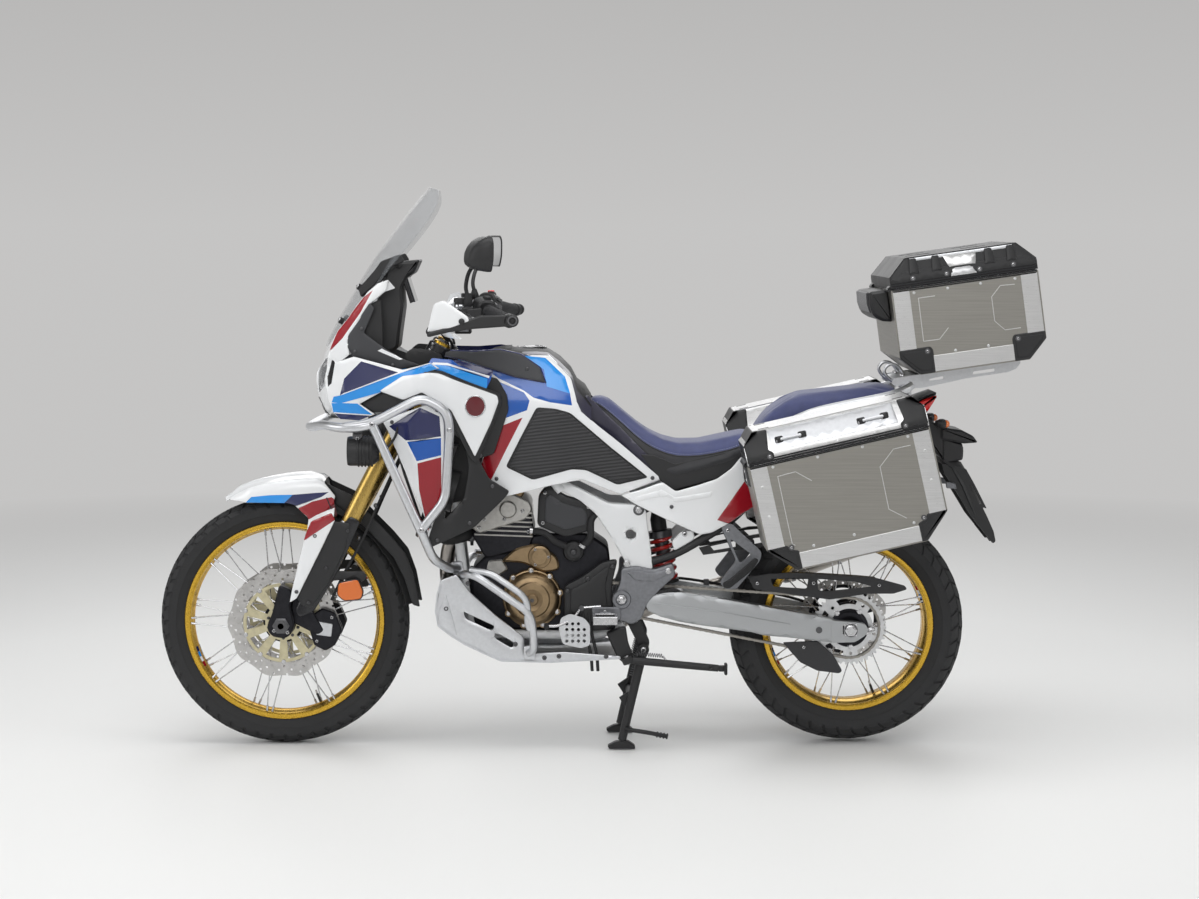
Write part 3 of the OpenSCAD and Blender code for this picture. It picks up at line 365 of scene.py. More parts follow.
class Mesh:
    """Collects shapes in millimetres from halfway between the axles, each with a material."""

    def __init__(self):
        self.verts, self.faces, self.face_mats, self.mats = [], [], [], []

    def add(self, verts, faces, mat):
        """Adds vertices and faces with one material, or a material for each face."""
        base = len(self.verts)
        self.verts += [Vector(v) for v in verts]
        for i, f in enumerate(faces):
            m = mat[i] if isinstance(mat, list) else mat
            if m not in self.mats:
                self.mats.append(m)
            self.faces.append([base + k for k in f])
            self.face_mats.append(self.mats.index(m))

    def merge(self, other, matrix=Matrix.Identity(4)):
        """Adds a copy of another mesh, moved by a matrix."""
        flip = matrix.to_3x3().determinant() < 0
        faces = [f[::-1] for f in other.faces] if flip else other.faces
        self.add([matrix @ v for v in other.verts], faces,
                 [other.mats[i] for i in other.face_mats])

    def mirror(self):
        """Adds the same shapes on the other side of the machine."""
        copy = Mesh()
        copy.verts, copy.faces = list(self.verts), list(self.faces)
        copy.face_mats, copy.mats = list(self.face_mats), list(self.mats)
        self.merge(copy, Matrix.Scale(-1, 4, (0, 1, 0)))
        return self

    def sweep(self, path, sections, mat, caps=True, closed=False):
        """Skins cross sections along a path. A section is a list of (u, v) points."""
        path = [Vector(p) for p in path]
        n, k = len(path), len(sections[0])
        tangents = []
        for i in range(n):
            a = path[i - 1] if closed or i > 0 else path[i]
            b = path[(i + 1) % n] if closed or i < n - 1 else path[i]
            tangents.append((b - a).normalized())
        up = Vector((0, 0, 1)) if abs(tangents[0].z) < 0.9 else Vector((1, 0, 0))
        normal = tangents[0].cross(up).normalized()
        verts = []
        for i in range(n):
            t = tangents[i]
            normal = (normal - t * normal.dot(t)).normalized()
            other = t.cross(normal)
            verts += [path[i] + normal * u + other * v for u, v in sections[i]]
        faces = []
        for i in range(n if closed else n - 1):
            j = (i + 1) % n
            for m in range(k):
                faces.append([i * k + m, i * k + (m + 1) % k, j * k + (m + 1) % k, j * k + m])
        if caps and not closed:
            faces.append(list(range(k))[::-1])
            faces.append([(n - 1) * k + m for m in range(k)])
        self.add(verts, faces, mat)

    def tube(self, path, d, mat, sides=14, caps=True, closed=False, ends=1.0):
        """A round tube along a path. ends under 1 tapers both ends."""
        n = len(path)
        sections = []
        for i in range(n):
            r = d[i] / 2 if isinstance(d, (list, tuple)) else d / 2
            if i in (0, n - 1) and not closed:
                r *= ends
            sections.append([(r * math.cos(2 * math.pi * m / sides), r * math.sin(2 * math.pi * m / sides))
                             for m in range(sides)])
        self.sweep(path, sections, mat, caps, closed)

    def rod(self, a, b, d, mat, sides=20, bevel=1.0):
        """A round bar with chamfered ends."""
        a, b = Vector(a), Vector(b)
        h = (b - a).length
        c = min(bevel, d / 4, h / 3)
        self.lathe([(0, 0), (d / 2 - c, 0), (d / 2, c), (d / 2, h - c), (d / 2 - c, h), (0, h)],
                   a, b - a, mat, sides)

    def lathe(self, profile, origin, axis, mat, sides=32, closed=False):
        """Turns a profile of (radius, height) about an axis. mat may be a list, one for each span."""
        axis = Vector(axis).normalized()
        u = axis.orthogonal().normalized()
        if abs(axis.y) > 0.99:
            u = Vector((1, 0, 0))
        w = axis.cross(u)
        origin = Vector(origin)
        n = len(profile)
        verts, faces, mats = [], [], []
        for r, h in profile:
            for k in range(sides):
                a = 2 * math.pi * k / sides
                verts.append(origin + axis * h + (u * math.cos(a) + w * math.sin(a)) * r)
        for i in range(n if closed else n - 1):
            j = (i + 1) % n
            if profile[i][0] < 1e-6 and profile[j][0] < 1e-6:
                continue
            for k in range(sides):
                q = (k + 1) % sides
                faces.append([i * sides + k, i * sides + q, j * sides + q, j * sides + k])
                mats.append(mat[i] if isinstance(mat, list) else mat)
        self.add(verts, faces, mats)

    def prism(self, outline, y0, y1, mat, bevel=1.5, holes=()):
        """A side-view outline made solid from y0 to y1, with chamfered edges."""
        if area(outline) < 0:
            outline = outline[::-1]
        if holes:
            self.plate(outline, y0, y1, mat, holes)
            return
        n = len(outline)
        small = inset(outline, bevel) if bevel else outline
        rings = [(small, y0), (outline, y0 + bevel), (outline, y1 - bevel), (small, y1)]
        if not bevel:
            rings = [(outline, y0), (outline, y1)]
        verts = [(p[0], y, p[1]) for ring, y in rings for p in ring]
        faces = [list(range(n))]
        for i in range(len(rings) - 1):
            for k in range(n):
                q = (k + 1) % n
                faces.append([i * n + k, (i + 1) * n + k, (i + 1) * n + q, i * n + q])
        faces.append([(len(rings) - 1) * n + k for k in range(n)][::-1])
        self.add(verts, faces, mat)

    def plate(self, outline, y0, y1, mat, holes=()):
        """A flat plate with holes through it. Holes are polygons in the side view."""
        loops = [outline] + [list(h) for h in holes]
        loops = [h if area(h) > 0 else h[::-1] for h in loops]
        points, edges, faces_in = [], [], []
        for loop in loops:
            b = len(points)
            points += loop
            edges += [(b + i, b + (i + 1) % len(loop)) for i in range(len(loop))]
            faces_in.append([b + i for i in range(len(loop))])
        vs, _, fs, _, _, owners = delaunay_2d_cdt([Vector(p) for p in points], edges, faces_in, 1, 1e-4)
        keep = [f for f, o in zip(fs, owners) if 0 in o and not any(h in o for h in range(1, len(loops)))]
        self.thick([(v.x, v.y) for v in vs], keep, lambda x, z: y1, lambda x, z: y0, mat)

    def thick(self, points, tris, outer, inner, mat):
        """Closes a flat triangulation into a solid between two heights across the machine."""
        n = len(points)
        verts = [(x, outer(x, z), z) for x, z in points] + [(x, inner(x, z), z) for x, z in points]
        mats = mat if isinstance(mat, list) else [mat] * len(tris)
        faces, out_mats = [], []
        border = {}
        for f, m in zip(tris, mats):
            f = list(f) if area([points[i] for i in f]) < 0 else list(f)[::-1]
            faces.append(f)
            out_mats.append(m)
            for a, b in zip(f, f[1:] + f[:1]):
                if (b, a) in border:
                    del border[(b, a)]
                else:
                    border[(a, b)] = m
        back = [([n + i for i in f][::-1], m) for f, m in zip(faces, out_mats)]
        for f, m in back:
            faces.append(f)
            out_mats.append(m)
        for (a, b), m in border.items():
            faces.append([b, a, n + a, n + b])
            out_mats.append(m)
        self.add(verts, faces, out_mats)

    def panel(self, outline, height, thickness, base, regions=(), step=14, edge=3.0, holes=()):
        """A curved body panel: a side outline lying at y = height(x, z), with a rounded rim.

        regions are (polygon, material) laid over the base paint, later ones on top.
        """
        loops = [outline] + [list(h) for h in holes]
        points, edges, faces_in = [], [], []

        def loop_in(loop, face):
            loop = loop if area(loop) > 0 else loop[::-1]
            b = len(points)
            points.extend(Vector(p) for p in loop)
            edges.extend((b + i, b + (i + 1) % len(loop)) for i in range(len(loop)))
            if face:
                faces_in.append([b + i for i in range(len(loop))])

        for loop in loops:
            loop_in(loop, True)
        for poly, _ in regions:
            loop_in(poly, True)
        for d in (edge * 0.3, edge):
            for p in densify(inset(outline, d), step):
                if inside(p, outline) and edge_distance(p, outline) > d * 0.8:
                    points.append(Vector(p))
        xs, zs = [p[0] for p in outline], [p[1] for p in outline]
        x = min(xs)
        row = 0
        while x < max(xs):
            z = min(zs) + (step / 2 if row % 2 else 0)
            while z < max(zs):
                if inside((x, z), outline) and edge_distance((x, z), outline) > edge * 1.3:
                    points.append(Vector((x, z)))
                z += step
            x += step * 0.87
            row += 1
        vs, _, fs, _, _, owners = delaunay_2d_cdt(points, edges, faces_in, 1, 1e-3)
        tris, mats = [], []
        nh = len(loops)
        for f, o in zip(fs, owners):
            if 0 not in o or any(h in o for h in range(1, nh)):
                continue
            mat = base
            for k, (_, m) in enumerate(regions):
                if nh + k in o:
                    mat = m
            tris.append(f)
            mats.append(mat)
        pts = [(v.x, v.y) for v in vs]

        def outer(px, pz):
            d = edge_distance((px, pz), outline)
            for h in holes:
                d = min(d, edge_distance((px, pz), h))
            t = 1 - min(d, edge) / edge
            return height(px, pz) - edge * (1 - math.sqrt(max(0, 1 - t * t)))

        self.thick(pts, tris, outer, lambda px, pz: height(px, pz) - thickness, mats)

    def ball(self, p, d, mat, scale=(1, 1, 1), rings=10, sides=18):
        """An ellipsoid."""
        verts, faces = [], []
        for i in range(rings + 1):
            for k in range(sides):
                a, b = math.pi * i / rings, 2 * math.pi * k / sides
                verts.append((p[0] + d / 2 * scale[0] * math.sin(a) * math.cos(b),
                              p[1] + d / 2 * scale[1] * math.sin(a) * math.sin(b),
                              p[2] + d / 2 * scale[2] * math.cos(a)))
        for i in range(rings):
            for k in range(sides):
                q = (k + 1) % sides
                faces.append([i * sides + k, (i + 1) * sides + k, (i + 1) * sides + q, i * sides + q])
        self.add(verts, faces, mat)

    def bolt(self, p, axis, d, mat, h=None):
        """A button-head bolt with a hexagon socket, standing on p along axis."""
        h = h or d * 0.5
        p, axis = Vector(p), Vector(axis).normalized()
        r = d / 2
        self.lathe([(r, -h * 0.5), (r, h * 0.35), (r * 0.8, h * 0.85), (r * 0.5, h)], p, axis, mat, 16)
        self.lathe([(r * 0.5, h), (r * 0.45, h * 0.3), (0, h * 0.3)], p, axis, DARK_STEEL, 6)

    def nut(self, p, axis, d, mat, h=None):
        """A flanged hexagon nut or head."""
        h = h or d * 0.5
        r = d / 2
        self.lathe([(r * 1.15, -h * 0.3), (r * 1.15, h * 0.15), (r, h * 0.2)], p, axis, mat, 18)
        self.lathe([(r, -h * 0.1), (r, h * 0.9), (r * 0.85, h), (0, h)], p, axis, mat, 6)

    def make(self, name, body, replaces=(), slot=None, crease=32):
        """Turns the collected shapes into a Blender piece that rides on a body."""
        data = bpy.data.meshes.new(name)
        verts = [(MID_X + v.x * MM, v.y * MM, v.z * MM) for v in self.verts]
        data.from_pydata(verts, [], self.faces)
        for m in self.mats:
            data.materials.append(m)
        data.polygons.foreach_set("material_index", self.face_mats)
        bm = bmesh.new()
        bm.from_mesh(data)
        bmesh.ops.remove_doubles(bm, verts=bm.verts, dist=0.00002)
        bmesh.ops.dissolve_degenerate(bm, edges=bm.edges, dist=0.00001)
        bm.to_mesh(data)
        bm.free()
        data.polygons.foreach_set("use_smooth", [True] * len(data.polygons))
        data.set_sharp_from_angle(angle=math.radians(crease))
        obj = bpy.data.objects.new(name, data)
        bpy.context.scene.collection.objects.link(obj)
        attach(obj, body)
        if replaces:
            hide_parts(*([replaces] if isinstance(replaces, str) else replaces))
        return obj


def densify(loop, step):
    """Points along a polygon's edges, no further than step apart."""
    out = []
    for a, b in zip(loop, loop[1:] + loop[:1]):
        n = max(1, int(math.hypot(b[0] - a[0], b[1] - a[1]) / step))
        out += [(a[0] + (b[0] - a[0]) * i / n, a[1] + (b[1] - a[1]) * i / n) for i in range(n)]
    return out


def blend_line(points, x):
    """Piecewise linear value at x from [(x, value), ...] with x rising."""
    if x <= points[0][0]:
        return points[0][1]
    for (xa, va), (xb, vb) in zip(points, points[1:]):
        if x <= xb:
            return va + (vb - va) * (x - xa) / (xb - xa)
    return points[-1][1]


def smooth_line(points, x):
    """The same with rounded corners, as a mean over a short window."""
    return sum(blend_line(points, x + d) for d in (-18, -9, 0, 9, 18)) / 5


def helix(start, along, r, turns, length, steps):
    """Points of a coil of radius r that climbs from start in the direction along."""
    side = along.orthogonal().normalized()
    third = along.cross(side)
    points = []
    for k in range(steps + 1):
        a = 2 * math.pi * turns * k / steps
        middle = start + along * (length * k / steps)
        points.append(middle + side * (r * math.cos(a)) + third * (r * math.sin(a)))
    return points


def on_steering(z, ahead=0.0, y=0.0):
    """A point in the fork's own directions: height z on the axis, then ahead and across."""
    rake = math.atan2(-STEER_UP.x, STEER_UP.z)
    return Vector((steer_x(z) + ahead * math.cos(rake), y, z + ahead * math.sin(rake)))


# ---------------------------------------------------------------- wheels

FRONT = ((FRONT_AXLE.x - MID_X) / MM, FRONT_AXLE.z / MM)
REAR = ((REAR_AXLE.x - MID_X) / MM, REAR_AXLE.z / MM)


def size_of(node):
    """A CAD node's size along x, y and z in millimetres."""
    low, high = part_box(node)
    return (high - low) / MM


FRONT_R = size_of("front_tyre").x / 2
FRONT_W = size_of("front_tyre").y
REAR_R = size_of("rear_tyre").x / 2
REAR_W = size_of("rear_tyre").y
FRONT_RIM = size_of("front_rim").x / 2
REAR_RIM = size_of("rear_rim").x / 2


def wheel_point(centre, r, a, y):
    """A point at radius r and angle a in degrees about a wheel's centre."""
    return Vector((centre[0] + r * math.cos(math.radians(a)), y, centre[1] + r * math.sin(math.radians(a))))


# depth of the tread's grooves, how far its blocks reach down, and the cells across each block
GROOVE_BASE = 5.0
BLOCK_DEPTH = 7.0
BLOCK_CELLS = 3


def tyre(name, body, centre, r, w, rim_r, rim_w, blocks, rows):
    """A tyre with tread blocks cut by grooves and a moulded side wall."""
    m = Mesh()
    crown = w * 0.26
    edge_lean = math.radians(66)

    def surface(t, a, sink=0.0):
        # t runs from -1 to 1 across the tread, a is the angle round the wheel
        lean = edge_lean * t
        radius = r - crown * (1 - math.cos(lean)) / (1 - math.cos(edge_lean)) - sink
        y = w / 2 * math.sin(lean) / math.sin(edge_lean)
        return wheel_point(centre, radius, a, y * (1 - sink / r))

    across = [i / 12 * 2 - 1 for i in range(13)]
    profile = [(r - crown - (r - crown - rim_r) * t, w / 2 - (w / 2 - rim_w / 2 + 3) * t ** 2.2)
               for t in (0.1, 0.25, 0.42, 0.5, 0.53, 0.7, 0.85, 1.0)]
    profile[3] = (profile[3][0], profile[3][1] + 1.2)
    profile.append((rim_r - 8, rim_w / 2 - 9))
    base = [surface(t, 0, GROOVE_BASE) for t in across]
    ring = [(a, -b) for a, b in profile[::-1]] + [(p.x - centre[0], p.y) for p in base] + profile
    m.lathe(ring, (centre[0], 0, centre[1]), (0, 1, 0), TYRE, 180, closed=True)
    pitch = 360 / blocks
    for k in range(blocks):
        for i, (ta, tb, skew, cover) in enumerate(rows):
            for mirrored in (1, -1):
                a0 = k * pitch + (pitch / 2 if (i + (mirrored < 0)) % 2 else 0)
                a1 = a0 + pitch * cover
                corners = [(ta, a0), (tb, a0 + skew), (tb, a1 + skew), (ta, a1)]
                # a block is a small patch, subdivided across so that it follows the crown
                verts, faces = [], []
                for layer in (0.0, BLOCK_DEPTH):
                    for j in range(BLOCK_CELLS + 1):
                        f = j / BLOCK_CELLS
                        for e in (0, 1):
                            t = corners[e * 3][0] * (1 - f) + corners[1 + e][0] * f
                            a = corners[e * 3][1] * (1 - f) + corners[1 + e][1] * f
                            p = surface(t, a, layer)
                            verts.append((p.x, p.y * mirrored, p.z))
                n = (BLOCK_CELLS + 1) * 2
                for j in range(BLOCK_CELLS):
                    b = j * 2
                    faces.append([b, b + 1, b + 3, b + 2])
                    faces.append([b, b + 2, n + b + 2, n + b])
                    faces.append([b + 1, n + b + 1, n + b + 3, b + 3])
                faces.append([0, n, n + 1, 1])
                faces.append([n - 2, n - 1, 2 * n - 1, 2 * n - 2])
                if mirrored < 0:
                    faces = [f[::-1] for f in faces]
                m.add(verts, faces, TYRE)
    m.make(name, body, name, "tyre", crease=40)


tyre("front_tyre", "front_wheel", FRONT, FRONT_R, FRONT_W, FRONT_RIM, size_of("front_rim").y, 52,
     [(0.03, 0.30, 1.6, 0.80), (0.36, 0.62, -1.2, 0.78), (0.68, 1.0, 1.0, 0.72)])
tyre("rear_tyre", "rear_wheel", REAR, REAR_R, REAR_W, REAR_RIM, size_of("rear_rim").y, 46,
     [(0.02, 0.27, 2.0, 0.84), (0.32, 0.60, -2.4, 0.82), (0.66, 1.0, 2.6, 0.78)])


def rim(name, body, centre, r, w):
    """A gold rim: rolled flanges, shoulders, and a well with a raised spoke band each side."""
    h = w / 2
    m = Mesh()
    outer = [(r - 1.5, -h), (r, -h + 1.5), (r, -h + 3.5), (r - 5, -h + 5), (r - 9, -h + 12), (r - 17, -h / 2),
             (r - 19, 0)]
    inner = [(r - 4, -h), (r - 9, -h + 1), (r - 13, -h), (r - 16, -h + 2), (r - 17.5, -h + 6),
             (r - 18, -h + 11), (r - 22, -h + 17), (r - 23, 0)]
    profile = outer[:-1] + [(a, -b) for a, b in outer[::-1]] + [(a, -b) for a, b in inner] + inner[::-1][1:]
    m.lathe(profile, (centre[0], 0, centre[1]), (0, 1, 0), GOLD, 144, closed=True)
    m.lathe([(r - 24, -4), (r - 24, 4), (r - 21, 4), (r - 21, -4)], (centre[0], 0, centre[1]),
            (0, 1, 0), GOLD, 144, closed=True)
    # four short bands of plain colour on the flange's inner wall, twice round the rim
    for start in (150, 330):
        for i, mat in enumerate((RED, WHITE, SKY, NAVY)):
            for s in (1, -1):
                a0, a1 = start + i * 3.4, start + i * 3.4 + 3.2
                verts, faces = [], []
                for j in range(5):
                    a = a0 + (a1 - a0) * j / 4
                    for rr, yy in ((r - 18.4, h - 10), (r - 22.6, h - 17.5)):
                        p = wheel_point(centre, rr, a, s * yy)
                        verts.append(p)
                        verts.append(wheel_point(centre, rr - 0.5, a, s * (yy - 0.3)))
                for j in range(4):
                    b = j * 4
                    faces += [[b + 1, b + 3, b + 7, b + 5], [b, b + 4, b + 6, b + 2],
                              [b, b + 1, b + 5, b + 4], [b + 2, b + 6, b + 7, b + 3]]
                faces += [[0, 2, 3, 1], [16, 17, 19, 18]]
                m.add(verts, faces, mat)
    # valve
    p = wheel_point(centre, r - 23, 248, 0)
    inward = (Vector((centre[0], 0, centre[1])) - p).normalized()
    m.rod(p, p + inward * 28, 7, BLACK, 12)
    m.rod(p + inward * 26, p + inward * 38, 5.5, STEEL, 12)
    m.make(name, body, name, "gold_rim", crease=35)


rim("front_rim", "front_wheel", FRONT, FRONT_RIM, size_of("front_rim").y)
rim("rear_rim", "rear_wheel", REAR, REAR_RIM, size_of("rear_rim").y)


def spokes(m, centre, flange_r, flange_y, rim_r, rim_y, pairs, twist):
    """Crossed spokes from the hub's flanges to the rim's edges, with their nipples."""
    for i in range(pairs):
        for s in (-1, 1):
            for d in (-1, 1):
                a = (i + (0.25 if s < 0 else 0)) * 360 / pairs + d * 1.6
                b = a + d * twist
                p = wheel_point(centre, flange_r - 3, b, s * flange_y)
                q = wheel_point(centre, rim_r, a, s * rim_y)
                along = (q - p).normalized()
                m.tube([p, q - along * 14], 3.4, STEEL, 8)
                m.rod(q - along * 17, q, 6.2, STEEL, 8, 0.8)
                m.ball(p, 6, STEEL, rings=4, sides=8)


def hub(m, centre, barrel, flange_r, flange_y, end_y):
    """Hub barrel with two drilled flanges and bearing caps."""
    axis = (0, 1, 0)
    o = (centre[0], 0, centre[1])
    half = [(13, end_y), (barrel - 8, end_y), (barrel - 6, end_y - 1.5), (barrel - 6, flange_y + 9),
            (barrel + 4, flange_y + 5), (flange_r - 2, flange_y + 4), (flange_r, flange_y + 2),
            (flange_r, flange_y - 3), (flange_r - 3, flange_y - 4.5), (barrel + 6, flange_y - 7),
            (barrel, flange_y - 16), (barrel - 4, 0)]
    profile = half + [(r, -y) for r, y in half[-2::-1]]
    m.lathe(profile, o, axis, ENGINE_BLACK, 72, closed=True)
    for s in (1, -1):
        for k in range(18):
            p = wheel_point(centre, flange_r - 8, k * 20 + 6, s * (flange_y + 4))
            m.rod(p, p + Vector((0, s * 1.2, 0)), 5, DARK_STEEL, 8, 0.3)


front_hub = Mesh()
hub(front_hub, FRONT, 34, 58, 44, 62.4)
spokes(front_hub, FRONT, 58, 44, FRONT_RIM - 17, size_of("front_rim").y / 2 - 8, 9, 27)
front_hub.make("front_hub_and_spokes", "front_wheel", "front_hub", "hub_black")


def petal_disc(m, centre, r, width, y, t, holes, lobes):
    """A wave-edged brake disc with drilled holes."""
    def wave(mean, swing):
        """A circle whose radius swings in and out once a lobe."""
        points = [wheel_point(centre, mean + swing * math.cos(math.radians(lobes * k * 2.5)), k * 2.5, 0)
                  for k in range(144)]
        return [(p.x, p.z) for p in points]

    rin = r - width
    outer, inner = wave(r - 3.5, 3.5), wave(rin, 2.5)
    drilled = []
    for k in range(holes):
        for across, turn in ((0.22, 0.0), (0.5, 0.38), (0.78, 0.76)):
            p = wheel_point(centre, rin + width * across, 360 / holes * (k + turn), 0)
            drilled.append(arc(p.x, p.z, 3.6, 0, 315, 7))
    m.plate(outer, y - t / 2, y + t / 2, DISC, [inner] + drilled)


def carrier(m, centre, r_in, r_out, y, t, arms, mat):
    """A spider that carries a disc, with windows between its arms and floating bobbins."""
    outer = arc(centre[0], centre[1], r_out, 0, 360 - 360 / 96, 95)
    inner = arc(centre[0], centre[1], r_in, 0, 360 - 360 / 60, 59)
    windows = []
    for k in range(arms):
        a = 360 / arms * k
        w = 360 / arms * 0.3
        windows.append(arc(centre[0], centre[1], r_out - 9, a - w, a + w, 6)
                       + arc(centre[0], centre[1], r_in + 14, a + w * 0.7, a - w * 0.7, 4))
    m.plate(outer, y - t / 2, y + t / 2, mat, [inner] + windows)
    for k in range(arms):
        p = wheel_point(centre, r_out - 1, 360 / arms * (k + 0.5), y)
        m.rod(p - Vector((0, t * 0.9, 0)), p + Vector((0, t * 0.9, 0)), 13, STEEL, 16)
        p = wheel_point(centre, r_in + 7, 360 / arms * (k + 0.5), y + (t * 0.5 if y > 0 else -t * 0.5))
        m.bolt(p, (0, 1 if y > 0 else -1, 0), 9, DARK_STEEL)


front_discs = Mesh()
DISC_Y = size_of("front_discs").y / 2 - 2.5
petal_disc(front_discs, FRONT, size_of("front_discs").x / 2, 42, DISC_Y, 5, 24, 10)
carrier(front_discs, FRONT, 36, size_of("front_discs").x / 2 - 44, DISC_Y, 5, 10, CARRIER)
front_discs.mirror()
front_discs.make("front_brake_discs", "front_wheel", "front_discs", "disc_steel")

rear_hub = Mesh()
hub(rear_hub, REAR, 44, 66, 46, 73)
spokes(rear_hub, REAR, 66, 46, REAR_RIM - 17, size_of("rear_rim").y / 2 - 10, 9, 25)
petal_disc(rear_hub, REAR, 128, 32, -73.5, 5, 20, 9)
carrier(rear_hub, REAR, 34, 98, -73.5, 5, 8, ENGINE_BLACK)
rear_hub.make("rear_hub_and_spokes", "rear_wheel", "rear_hub", "hub_black")


def sprocket_outline(centre, r, teeth):
    """A toothed outline."""
    points = []
    for k in range(teeth):
        a = 360 / teeth * k
        for da, dr in ((-0.50, -8), (-0.30, -6.5), (-0.12, 0), (0.12, 0), (0.30, -6.5)):
            p = wheel_point(centre, r + dr, a + da * 360 / teeth, 0)
            points.append((p.x, p.z))
    return points


rear_sprocket = Mesh()
slots = []
for k in range(5):
    a = 72 * k + 14
    slots.append(arc(REAR[0], REAR[1], 84, a - 22, a + 22, 8) + arc(REAR[0], REAR[1], 67, a + 19, a - 19, 6))
    p = wheel_point(REAR, 72, a + 36, 0)
    slots.append(arc(p.x, p.z, 5, 0, 315, 7))
CHAIN_Y = (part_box("chain")[0].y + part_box("chain")[1].y) / 2 / MM
rear_sprocket.plate(sprocket_outline(REAR, 104, 42), CHAIN_Y - 3, CHAIN_Y + 3, ALUMINIUM,
                    [arc(REAR[0], REAR[1], 34, 0, 352, 44)] + slots)
rear_sprocket.lathe([(34, -10), (62, -10), (62, -4), (58, 2), (50, 4), (44, 9), (34, 9)],
                    (REAR[0], CHAIN_Y, REAR[1]), (0, 1, 0), ENGINE_BLACK, 48, closed=True)
for k in range(5):
    p = wheel_point(REAR, 53, 72 * k + 50, CHAIN_Y + 3)
    rear_sprocket.nut(p, (0, 1, 0), 14, STEEL)
rear_sprocket.make("rear_sprocket_and_carrier", "rear_wheel", "rear_sprocket", "sprocket_silver")


# ---------------------------------------------------------------- fork

FORK_Y = 103
RAKE = math.atan2(-STEER_UP.x, STEER_UP.z)
LEG_AHEAD = 22


def leg_point(z, ahead=0.0, y=FORK_Y):
    """A point on a fork leg's centre line at about height z, moved ahead and across."""
    p = on_steering(z, LEG_AHEAD + ahead)
    return Vector((p.x, y, p.z))


def leg_axis():
    """The direction of the fork legs, upwards."""
    return Vector((STEER_UP.x, 0, STEER_UP.z))


forks = Mesh()
low = leg_point(352)
top = leg_point(560)
crown = leg_point(1098)
forks.lathe([(0, 0), (21, 0), (24.5, 4), (25.5, 12), (25.5, 90), (27, 140), (27, (crown - top).length),
             (24, (crown - top).length + 2), (0, (crown - top).length + 2)],
            top, leg_axis(), FORK_GOLD, 40)
forks.lathe([(25.8, -16), (27.4, -14), (27.4, 0), (24, 3)], top, leg_axis(), RUBBER, 36)
forks.lathe(rect(0, 22.4, -200, 4), top, leg_axis(), STEEL, 36)
# the cast foot with its axle clamp and caliper lugs
foot = [(808, 316), (824, 330), (826, 352), (812, 380), (800, 430), (792, 462), (752, 444), (762, 400),
        (756, 382), (750, 350), (758, 326), (776, 312)]
forks.prism(rounded(foot, 12), FORK_Y - 21, FORK_Y + 21, ENGINE_BLACK, 5)
forks.prism(rounded([(762, 400), (752, 448), (706, 392), (672, 330), (690, 318), (756, 352)], 8),
            FORK_Y - 22, FORK_Y - 6, ENGINE_BLACK, 3)
forks.lathe([(0, 15), (20, 15), (24, 18), (24, 24), (20, 26), (13, 26), (12, 21), (0, 21)],
            (FRONT[0], FORK_Y, FRONT[1]), (0, 1, 0), DARK_STEEL, 6)
for dx, dz in ((-24, -24), (26, -18)):
    forks.bolt((FRONT[0] + dx * 0.75, FORK_Y + 21, FRONT[1] + dz * 0.75), (0, 1, 0), 11, STEEL)
forks.mirror()
forks.make("fork_legs_detail", "steering", "fork_legs", "fork_gold")

guards = Mesh()
guard_side = [leg_point(z, d) for z, d in ((640, 8), (640, -24), (560, -30), (470, -31), (392, -24),
                                            (360, 4), (372, 24), (470, 31), (560, 30))]
outline = [(p.x, p.z) for p in guard_side]


def guard_height(x, z):
    """How far out the fork guard lies: a shallow curve round the leg."""
    d = (x - leg_point(z).x) * math.cos(RAKE)
    return 133 - d * d * 0.0078


guards.panel(rounded(outline, 9), guard_height, 3.2, GLOSSY, (), 14, 2.5)
slim = [leg_point(z, d) for z, d in ((622, 22), (622, 14), (400, 20), (400, 26))]
guards.panel([(p.x, p.z) for p in slim], lambda x, z: guard_height(x, z) + 1.2, 2, STEEL, (), 30, 0.8)
for z, d in ((606, -6), (500, 0), (404, 0)):
    p = leg_point(z, d)
    guards.bolt((p.x, guard_height(p.x, p.z) + 0.5, p.z), (0, 1, 0), 10, DARK_STEEL)
guards.mirror()
guards.make("fork_guards", "steering", slot="black_plastic")


def caliper(m, outline, y0, y1, mat, window):
    """A brake caliper: two halves, a bridge with a window, and bolts."""
    mid = (y0 + y1) / 2
    m.prism(rounded(outline, 7), mid + 4, y1, mat, 3.5)
    m.prism(rounded(outline, 7), y0, mid - 4, mat, 3.5)
    m.prism(inset(rounded(outline, 7), 7), y0 + 6, y1 - 6, DARK_STEEL, 2)
    m.prism(rounded(window, 4), y1 - 1, y1 + 1.6, SILVER, 1)
    xs = [p[0] for p in outline]
    zs = [p[1] for p in outline]
    c = (sum(xs) / len(xs), sum(zs) / len(zs))
    for k in (0, 2, 4):
        p = outline[k % len(outline)]
        q = (c[0] + (p[0] - c[0]) * 0.72, c[1] + (p[1] - c[1]) * 0.72)
        m.bolt((q[0], y1 - 0.5, q[1]), (0, 1, 0), 10, STEEL)


brakes = Mesh()
caliper(brakes, [(642, 380), (676, 392), (706, 372), (712, 330), (700, 288), (668, 272), (640, 290),
                 (622, 332)], 50, 92, ENGINE_BLACK, [(648, 348), (690, 356), (694, 318), (652, 312)])
brakes.mirror()
brakes.make("front_calipers", "steering", slot="engine_cast")

